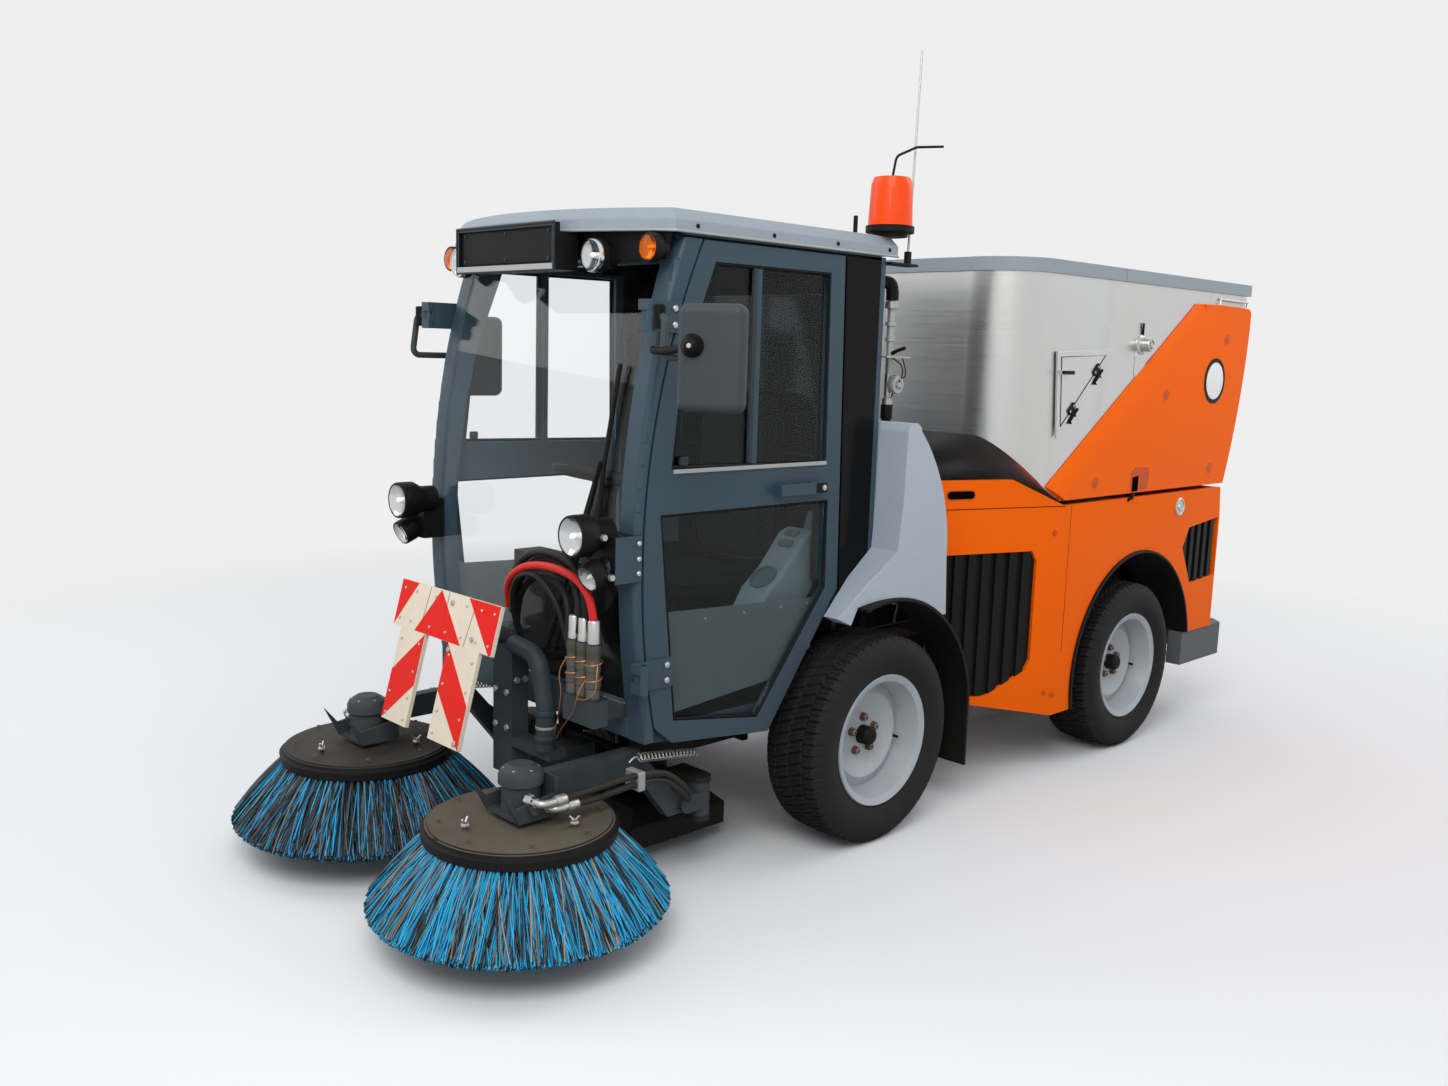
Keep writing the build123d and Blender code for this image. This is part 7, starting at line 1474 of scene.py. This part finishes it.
def filler_trim(side, sign):
    """Collar, face, pins and key of the filler on one hopper side, with the seat pressed below it."""
    place = at(sign * 0.630, *FILLER)
    collar = [(0, 0.040), (0.004, 0.040), (0.007, 0.036), (0.010, 0.030), (0.014, 0.030), (0.014, 0.0275)]
    turned(f"filler_collar_{side}", collar, place, (sign, 0, 0), SCREW, "hopper", 40)
    face = [
        (0.0425, 0.026), (0.046, 0.024), (0.046, 0.019), (0.043, 0.018), (0.043, 0.010), (0.048, 0.009),
        (0.048, 0.001)
    ]
    turned(f"filler_face_{side}", face, place, (sign, 0, 0), SCREW, "hopper", 40)
    pins = [(sign * 0.674, FILLER[0] + 0.0145 * cos(a), FILLER[1] + 0.0145 * sin(a)) for a in (0.5, 2.6, 4.7)]
    bolts(f"filler_pins_{side}", pins, (sign, 0, 0), 0.003, 0.002, SEAL, "hopper")
    y, z = FILLER
    key = [at(sign * 0.634, y + 0.002, z + 0.036), at(sign * 0.636, y - 0.002, z + 0.085)]
    tube(f"filler_key_{side}", key, 0.0045, SEAL, "hopper", 8, 0)
    seat = [(FILLER[0] + y, FILLER[1] - 0.075 + z) for y, z in rounded(0.088, 0.120, 0.030)]
    plane = at(sign * 0.6300, 0, 0), (0, 1, 0), (0, 0, 1)
    plate(f"filler_seat_{side}", seat, *plane, sign * 0.0022, STAINLESS, "hopper", "stainless", 0.0015)


INSPECTION_TOP, INSPECTION_END, INSPECTION_FOOT = (0.905, 1.640), (1.300, 1.655), (0.935, 1.322)
INSPECTION_FACE = 0.6432
GROOVE_SHARE = 0.80
GROOVE_R = 0.0022
WING_SHARES = (0.28, 0.72)
WING_STEP = 0.020
WING_SIZE = (0.052, 0.026)
WING_ROUND = 0.006
WING_T = 0.005
WING_HOLE = 0.015


def inspection_trim(side, sign):
    """Pressed line, hinge wings along the slanted edge and the grip of one inspection door."""
    body = f"inspection_{side}"
    top, end, foot = (np.array(p) for p in (INSPECTION_TOP, INSPECTION_END, INSPECTION_FOOT))
    middle = (top + end + foot) / 3
    line = [middle + (p - middle) * GROOVE_SHARE for p in (top, end, foot)]
    ring = [at(sign * INSPECTION_FACE, y, z) for y, z in line]
    tube(f"inspection_groove_{side}", ring, GROOVE_R, SEAL, body, 6, 0, True)
    slope = (end - foot) / np.linalg.norm(end - foot)
    inward = np.array([-slope[1], slope[0]])
    for i, share in enumerate(WING_SHARES):
        mid = foot + (end - foot) * share + inward * WING_STEP
        origin = at(sign * INSPECTION_FACE, mid[0], mid[1])
        along, across = (0, slope[0], slope[1]), (0, inward[0], inward[1])
        wing = rounded(*WING_SIZE, WING_ROUND)
        plane, name = (origin, along, across), f"inspection_wing_door_{side}_{i}"
        plate(name, wing, *plane, sign * WING_T, SEAL, body, "black_plastic", 0.0012)
        holes = [(sign * (INSPECTION_FACE + WING_T), *(mid + slope * k)) for k in (-WING_HOLE, WING_HOLE)]
        name = f"inspection_screws_door_{side}_{i}"
        bolts(name, holes, (sign, 0, 0), 0.0045, 0.002, SCREW, body)
    grip = ((sign * 0.6570, 0.925, 1.557), (sign * 0.6640, 0.999, 1.571))
    slab(f"inspection_grip_{side}", grip, SEAL, body, 0.002)
    skin = SKINS[f"inspection_door_{side}"]
    paint(skin, SEAL, lambda x, y, z: (abs(x) > 0.6436) & (y > foot[0] + 0.030))


def body_trim():
    """Round cap and corner seam on each side of the orange body."""
    for side, sign in SIDES:
        cap = [
            (0, 0.040), (0.003, 0.040), (0.006, 0.037), (0.006, 0.031),
            (0.003, 0.029), (0.004, 0.018), (0.008, 0.016), (0.008, 0.001),
        ]
        place = at(sign * PANEL_X, *SIDE_CAP)
        turned(f"side_cap_{side}", cap, place, (sign, 0, 0), SCREW, "rear_unit", 40)
        seam = ((sign * (PANEL_X - 0.001), 1.0585, 0.50), (sign * (PANEL_X + 0.0004), 1.0605, 1.064))
        slab(f"corner_seam_{side}", seam, HOLE, "rear_unit", 0.0)


NOSE_FOOT, NOSE_RUN = (0.475, 0.455), (0.3085, 0.9512)


def nose_place(along, z, sign, proud=0.0005):
    """A place on the slanted front side of the orange body, by its run along the side and its height."""
    x = NOSE_FOOT[0] + NOSE_RUN[0] * along + NOSE_RUN[1] * proud
    return at(sign * x, NOSE_FOOT[1] + NOSE_RUN[1] * along - NOSE_RUN[0] * proud, z)


def nose_trim():
    """Level seam, rounded slot and screws on the slanted side of the orange body."""
    for side, sign in SIDES:
        along, up = np.array([sign * NOSE_RUN[0], NOSE_RUN[1], 0]), (0, 0, 1)
        line = [(0.0, -0.0012), (0.600, -0.0012), (0.600, 0.0012), (0.0, 0.0012)]
        plane, thin = (nose_place(-0.012, 1.066, sign), along, up), sign * 0.0006
        plate(f"nose_seam_{side}", line, *plane, thin, HOLE, "rear_unit", "orange_paint", 0.0)
        slot = rounded(0.120, 0.028, 0.0139)
        rim = [(y * 1.07, z * 1.28) for y, z in slot]
        # The slot's rim takes the darker orange as painted shade, and so do the screws below
        plane, thick = (nose_place(0.10, 1.118, sign), along, up), sign * 0.0012
        plate(f"nose_slot_rim_{side}", rim, *plane, thick, ORANGE_PAINTED_SHADE, "rear_unit", "orange_paint", 0.0006)
        plane = nose_place(0.10, 1.118, sign, 0.0016), along, up
        plate(f"nose_slot_{side}", slot, *plane, thin, HOLE, "rear_unit", "black_plastic", 0.0)
        screws = [
            nose_place(a, z, sign, 0.001) - (0, AXLE_Y, 0)
            for a, z in ((0.545, 0.965), (0.545, 0.345), (0.585, 0.335))
        ]
        out, name = (sign * NOSE_RUN[1], -NOSE_RUN[0], 0), f"nose_screws_{side}"
        bolts(name, screws, out, 0.011, 0.003, ORANGE_PAINTED_SHADE, "rear_unit")


# Wheels

NUT_CIRCLE_R = 0.060
NUT_COUNT = 5
STUD_OUT = 0.018
# Radius and height of each washer, nut and stud tip
WASHER, NUT, STUD_TIP = (0.0150, 0.0030), (0.0135, 0.0170), (0.0060, 0.0070)
VALVE_CIRCLE_R = 0.148
VALVE_TURN = -0.2
VALVE_R = 0.0052
VALVE_OUT = (-0.01, 0.012, 0.040)


def wheel_trim():
    """Rusty nuts with washers and studs round each hub, and a valve."""
    for end, centre_y in (("front", 0.0), ("rear", REAR_AXLE_Y - AXLE_Y)):
        for side, sign in SIDES:
            skin = SKINS[f"rim_{end}_{side}"]
            points = np.empty(len(skin.data.vertices) * 3)
            skin.data.vertices.foreach_get("co", points)
            x, y, z = points.reshape(-1, 3).T
            radius = np.hypot(y - AXLE_Y - centre_y, z - WHEEL_R)
            near = abs(radius - NUT_CIRCLE_R) < 0.0085
            face_x = np.abs(x[near]).max() - STUD_OUT
            parts = []
            for a in np.linspace(0, 2 * pi, NUT_COUNT, endpoint=False) + pi / 2:
                place = at(sign * face_x, centre_y + NUT_CIRCLE_R * cos(a), WHEEL_R + NUT_CIRCLE_R * sin(a))
                parts.append(bolt_arrays(place, (sign, 0, 0), *WASHER))
                parts.append(bolt_arrays(place, (sign, 0, 0), *NUT, False))
                parts.append(bolt_arrays(place + (sign * 0.016, 0, 0), (sign, 0, 0), *STUD_TIP))
            join(f"wheel_nuts_{end}_{side}", parts, RUST, f"wheel_{end}_{side}")
            y, z = centre_y + VALVE_CIRCLE_R * cos(VALVE_TURN), WHEEL_R + VALVE_CIRCLE_R * sin(VALVE_TURN)
            stem = [at(sign * (face_x + out), y, z) for out in VALVE_OUT]
            tube(f"valve_{end}_{side}", stem, VALVE_R, SEAL, f"wheel_{end}_{side}", 10, 4)


# Driver's seat

SEAT_PADS = (
    # name, half width, half length, half thickness, centre, degrees leaned back
    ("cushion", 0.222, 0.212, 0.046, (0.0, -0.280, 0.816), 0),
    ("backrest", 0.203, 0.300, 0.040, (0.0, -0.077, 1.176), 90),
)
PAD_ROUND, PAD_PLAN = 0.55, 0.36
PAD_CAP = 0.012
PAD_ROWS, PAD_COLUMNS = 33, 96
PAD_VOXEL = 0.006
PAD_PRESSURE = 4.0
PAD_FRAMES = 20


def pad_arrays(width, length, depth):
    """A crowned pad, a superellipsoid: c(e) c(o), c(e) s(o) and s(e) with softened powers."""
    def soft(value, power):
        return np.sign(value) * np.abs(value) ** power

    rise = np.linspace(-pi / 2, pi / 2, PAD_ROWS)
    around = np.linspace(0, 2 * pi, PAD_COLUMNS, endpoint=False)
    e, o = np.meshgrid(rise, around, indexing="ij")
    ring = soft(np.cos(e), PAD_ROUND)
    x = width * ring * soft(np.cos(o), PAD_PLAN)
    y = length * ring * soft(np.sin(o), PAD_PLAN)
    z = depth * soft(np.sin(e), 0.8)
    return np.stack([x, y, z], -1), grid_faces(PAD_ROWS, PAD_COLUMNS, wrap_cols=True)


def puff(obj):
    """Swells a pad as cloth under pressure, with each point kept near where it began."""
    remesh = obj.modifiers.new("even", "REMESH")
    remesh.mode = "VOXEL"
    remesh.voxel_size = PAD_VOXEL
    graph = bpy.context.evaluated_depsgraph_get()
    even = bpy.data.meshes.new_from_object(obj.evaluated_get(graph))
    obj.modifiers.clear()
    obj.data = even
    cloth = obj.modifiers.new("cloth", "CLOTH")
    cloth.settings.use_pressure = True
    cloth.settings.uniform_pressure_force = PAD_PRESSURE
    cloth.settings.effector_weights.gravity = 0.0
    cloth.point_cache.frame_start, cloth.point_cache.frame_end = 1, PAD_FRAMES
    start = np.empty(len(even.vertices) * 3)
    even.vertices.foreach_get("co", start)
    for frame_number in range(1, PAD_FRAMES + 1):
        bpy.context.scene.frame_set(frame_number)
    graph = bpy.context.evaluated_depsgraph_get()
    swollen = obj.evaluated_get(graph).to_mesh()
    end = np.empty(len(swollen.vertices) * 3)
    swollen.vertices.foreach_get("co", end)
    obj.evaluated_get(graph).to_mesh_clear()
    move = (end - start).reshape(-1, 3)
    reach = np.linalg.norm(move, axis=1, keepdims=True)
    move *= np.minimum(1, PAD_CAP / np.maximum(reach, 1e-9))
    obj.modifiers.clear()
    even.vertices.foreach_set("co", (start.reshape(-1, 3) + move).ravel())
    even.update()
    bpy.context.scene.frame_set(1)
    return obj


def seat_pads():
    """Seat cushion and backrest puffed as cloth, each with two welts, over a boxed base."""
    for name, width, length, depth, centre, lean in SEAT_PADS:
        verts, quads = pad_arrays(width, length, depth)
        turn = np.array(Matrix.Rotation(radians(lean - 2.4 * (lean > 0)), 3, "X"))
        verts = verts.reshape(-1, 3) @ turn.T + at(*centre)
        obj = flip_out(piece(f"seat_{name}", verts, quads.tolist(), SEAT, "front_unit"))
        puff(obj)
        obj.data.materials.clear()
        obj.data.materials.append(SEAT)
        obj.data.polygons.foreach_set("use_smooth", [True] * len(obj.data.polygons))
        smooth = obj.modifiers.new("smooth", "SUBSURF")
        smooth.levels = smooth.render_levels = 1
        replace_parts(obj, "seat")
        o = np.linspace(0, 2 * pi, PAD_COLUMNS + 1)[:-1]
        for tag, share in (("rim", 0.30), ("channel", 0.62)):
            e = share * pi / 2
            ring = cos(e) ** PAD_ROUND * (1.0 if tag == "rim" else 0.78)
            loop = np.stack([
                (width + 0.004) * ring * np.sign(np.cos(o)) * np.abs(np.cos(o)) ** PAD_PLAN,
                (length + 0.004) * ring * np.sign(np.sin(o)) * np.abs(np.sin(o)) ** PAD_PLAN,
                np.full_like(o, (depth + 0.007) * sin(e) ** 0.8),
            ], -1) @ turn.T + at(*centre)
            tube(f"seat_{name}_{tag}", loop, 0.0032, SEAT, "front_unit", 8, 0, True)
    base = ((-0.190, -0.420, 0.531), (0.190, -0.100, 0.765))
    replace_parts(slab("seat_base", base, BLACK, "front_unit", 0.012), "seat")


CONSOLE_SIDE = (
    (-0.445, 0.640), (-0.430, 0.790), (-0.385, 0.860), (-0.300, 0.930), (-0.215, 1.030),
    (-0.165, 1.045), (-0.160, 0.640)
)


def console_moulding():
    """Side console: its outline thickened across, with a cup well and two switch pads on its slope."""
    plane = at(0.330, 0, 0), (0, 1, 0), (0, 0, 1)
    plate("console_shell", CONSOLE_SIDE, *plane, 0.122, CONSOLE, "front_unit", "black_plastic", 0.016, 4)
    slope = np.array([0, 0.085, 0.070]) / np.hypot(0.085, 0.070)
    normal = np.array([0, -slope[2], slope[1]])
    well = [
        (0.0005, 0.001), (0.0005, 0.036), (0.003, 0.040), (0.006, 0.040), (0.007, 0.046),
        (0.001, 0.048), (0, 0.046)
    ]
    foot = at(0.394, -0.342, 0.895)
    turned("cup_well", well, foot, normal, CONSOLE_DARK, "front_unit", 36)
    for i, y in enumerate((-0.245, -0.215)):
        plane = at(0.394, y, 0.997 + 0.030 * i), (1, 0, 0), (0, 0.65, 0.76)
        pad = rounded(0.060, 0.026, 0.006)
        plate(f"switch_pad_{i}", pad, *plane, 0.004, CONSOLE_DARK, "front_unit", "black_plastic", 0.001)


# Lenses, privacy glass and other second finishes


def second_finishes():
    """Paints the parts of a node that differ from the rest of it, and painted shade inside the cab."""
    paint(SKINS["beacon"], AMBER, lambda x, y, z: (z > 2.0135) & (z < 2.1665) & (y < 0.1335))
    paint(SKINS["beacon"], SPRING, lambda x, y, z: (y > 0.134) & (z > 1.96) & (abs(x - 0.53) < 0.02))
    paint(SKINS["cab_glass"], PRIVACY, lambda x, y, z: y > -0.02)
    paint(SKINS["rear_bumper"], TAIL_RED, lambda x, y, z: (z > 0.60) & (abs(z - 0.860) < 0.056) & (y > 2.28))
    paint(SKINS["rear_bumper"], AMBER, lambda x, y, z: (z > 0.60) & (abs(z - 0.752) < 0.048) & (y > 2.28))
    paint(SKINS["cab_controls"], SEAL, lambda x, y, z: (abs(x) < 0.20) & (y < -0.45))
    # A strip of the cab's rear wall is painted the shadow gap's near-black: painted shade
    paint(SKINS["cab_tub"], HOLE, lambda x, y, z: (y > -0.004) & (y < 0.006) & (abs(x) < 0.50) & (z > 0.9))
    paint(SKINS["roof_brow"], GEAR_SLATE, lambda x, y, z: y < -1.066)
    paint(SKINS["lamps"], SLATE, lambda x, y, z: (abs(x) > 0.515) & (z > 0.95) & (z < 1.12) & (y > -1.08))
    # The cab's inner faces are painted near-black: painted shade
    for name in ("cab_tub", "cab_pillars"):
        paint(SKINS[name], CAB_INSIDE_SHADE, lambda x, y, z: (abs(x) < 0.495) & (y > -0.72) & (z > 0.42) & (y < -0.004))
    for end, centre_y in (("front", 0.0), ("rear", REAR_AXLE_Y - AXLE_Y)):
        for side, _ in SIDES:
            rim = SKINS[f"rim_{end}_{side}"]
            paint(rim, SEAL, lambda x, y, z: (np.hypot(y - centre_y, z - WHEEL_R) < 0.0335) & (abs(x) > 0.56))


# Stage, light and camera

PHOTO_W = 1448
PHOTO_FOCAL = 1236.2
SENSOR = 36.0
CAMERA_PLACE = (3.085, -3.134, 1.599)
CAMERA_AZIMUTH = 45.83
CAMERA_DROP = 8.76
CAMERA_ROLL = 1.76
BACKGROUND = (0.86, 0.86, 0.86)
FLOOR_TONE = 0.92
BOUNCE_TONE = 0.45
FADE_REACH = 12.0
FLOOR_R, FLOOR_Z = 60.0, -0.0005
SKY, SKY_STRENGTH = (0.86, 0.90, 0.95), 0.60
LAMPS = (
    # name, place, target, power
    ("key", (3.6, -4.6, 5.6), (0, -0.2, 0.7), 250),
    ("fill", (-4.5, -3.5, 4.5), (0, 0, 0.8), 80),
    ("rear", (2.5, 5.5, 5.0), (0, 0.6, 0.9), 90),
)
LAMP_SIZE = 4.0


def backdrop_material():
    """Pale floor that keeps shadows near the machine and fades to the background."""
    material = bpy.data.materials.new("studio_floor")
    material.use_nodes = True
    tree = material.node_tree
    shader = tree.nodes["Principled BSDF"]
    seen = tree.nodes.new("ShaderNodeLightPath").outputs["Is Camera Ray"]
    tree.links.new(mix(tree, seen, grey(BOUNCE_TONE), grey(FLOOR_TONE)), shader.inputs["Base Color"])
    shader.inputs["Roughness"].default_value = 0.7
    shader.inputs["Specular IOR Level"].default_value = 0.15
    output = tree.nodes["Material Output"]
    glow = tree.nodes.new("ShaderNodeEmission")
    glow.inputs["Color"].default_value = (*BACKGROUND, 1)
    coords = tree.nodes.new("ShaderNodeTexCoord").outputs["Object"]
    length = tree.nodes.new("ShaderNodeVectorMath")
    length.operation = "LENGTH"
    tree.links.new(coords, length.inputs[0])
    far = math(tree, "DIVIDE", length.outputs["Value"], FADE_REACH)
    reach = ramp(tree, far, [(0.20, grey(0)), (0.50, grey(1))])
    blend = tree.nodes.new("ShaderNodeMixShader")
    tree.links.new(reach, blend.inputs[0])
    tree.links.new(shader.outputs[0], blend.inputs[1])
    tree.links.new(glow.outputs[0], blend.inputs[2])
    tree.links.new(blend.outputs[0], output.inputs["Surface"])
    return material


def stage():
    """Floor, world light and three soft lamps."""
    t = np.linspace(0, 2 * pi, 96, endpoint=False)
    verts = np.stack([FLOOR_R * np.cos(t), FLOOR_R * np.sin(t), np.full_like(t, FLOOR_Z)], -1)
    mesh = bpy.data.meshes.new("floor")
    mesh.from_pydata(verts.tolist(), [], [list(range(len(t)))])
    mesh.materials.append(backdrop_material())
    floor = bpy.data.objects.new("floor", mesh)
    bpy.context.scene.collection.objects.link(floor)
    world = bpy.data.worlds.new("studio")
    world.use_nodes = True
    bpy.context.scene.world = world
    tree = world.node_tree
    background = tree.nodes["Background"]
    background.inputs["Color"].default_value = (*SKY, 1)
    background.inputs["Strength"].default_value = SKY_STRENGTH
    seen = tree.nodes.new("ShaderNodeBackground")
    seen.inputs["Color"].default_value = (*BACKGROUND, 1)
    seen.inputs["Strength"].default_value = 1.0
    path = tree.nodes.new("ShaderNodeLightPath")
    visible = math(tree, "MAXIMUM", path.outputs["Is Camera Ray"], path.outputs["Is Transmission Ray"])
    visible = math(tree, "MAXIMUM", visible, path.outputs["Is Glossy Ray"])
    blend = tree.nodes.new("ShaderNodeMixShader")
    tree.links.new(visible, blend.inputs[0])
    tree.links.new(background.outputs[0], blend.inputs[1])
    tree.links.new(seen.outputs[0], blend.inputs[2])
    tree.links.new(blend.outputs[0], tree.nodes["World Output"].inputs["Surface"])
    for name, place, target, power in LAMPS:
        lamp(name, place, target, power)


def lamp(name, place, target, power):
    """A square soft lamp aimed at a point."""
    light = bpy.data.lights.new(name, "AREA")
    light.energy = power
    light.size = LAMP_SIZE
    obj = bpy.data.objects.new(name, light)
    obj.location = place
    obj.rotation_euler = (Vector(target) - Vector(place)).to_track_quat("-Z", "Y").to_euler()
    bpy.context.scene.collection.objects.link(obj)


def camera():
    """The photograph's camera, rolled a little about its own axis."""
    data = bpy.data.cameras.new("photo_camera")
    data.sensor_fit = "HORIZONTAL"
    data.sensor_width = SENSOR
    data.lens = PHOTO_FOCAL / PHOTO_W * SENSOR
    obj = bpy.data.objects.new("photo_camera", data)
    az, drop, roll = radians(CAMERA_AZIMUTH), radians(CAMERA_DROP), radians(CAMERA_ROLL)
    ahead = np.array([-sin(az) * cos(drop), cos(az) * cos(drop), -sin(drop)])
    right = np.array([cos(az), sin(az), 0.0])
    up = np.cross(right, ahead)
    side = right * cos(roll) + up * sin(roll)
    top = -right * sin(roll) + up * cos(roll)
    turn = Matrix([side, top, -ahead]).transposed().to_4x4()
    obj.matrix_world = Matrix.Translation(Vector(at(*CAMERA_PLACE))) @ turn
    bpy.context.scene.collection.objects.link(obj)
    bpy.context.scene.camera = obj


camera()
stage()
dress_all()
second_finishes()
tyres()
brooms()
lamp_faces()
lamp_brackets()
roof_trim()
door_trim()
mirror_fittings()
board_stripes()
couplers()
front_gear()
broom_fittings()
rear_pipes()
hopper_trim()
body_trim()
nose_trim()
wheel_trim()
seat_pads()
console_moulding()

bpy.context.scene.view_settings.view_transform = "Standard"
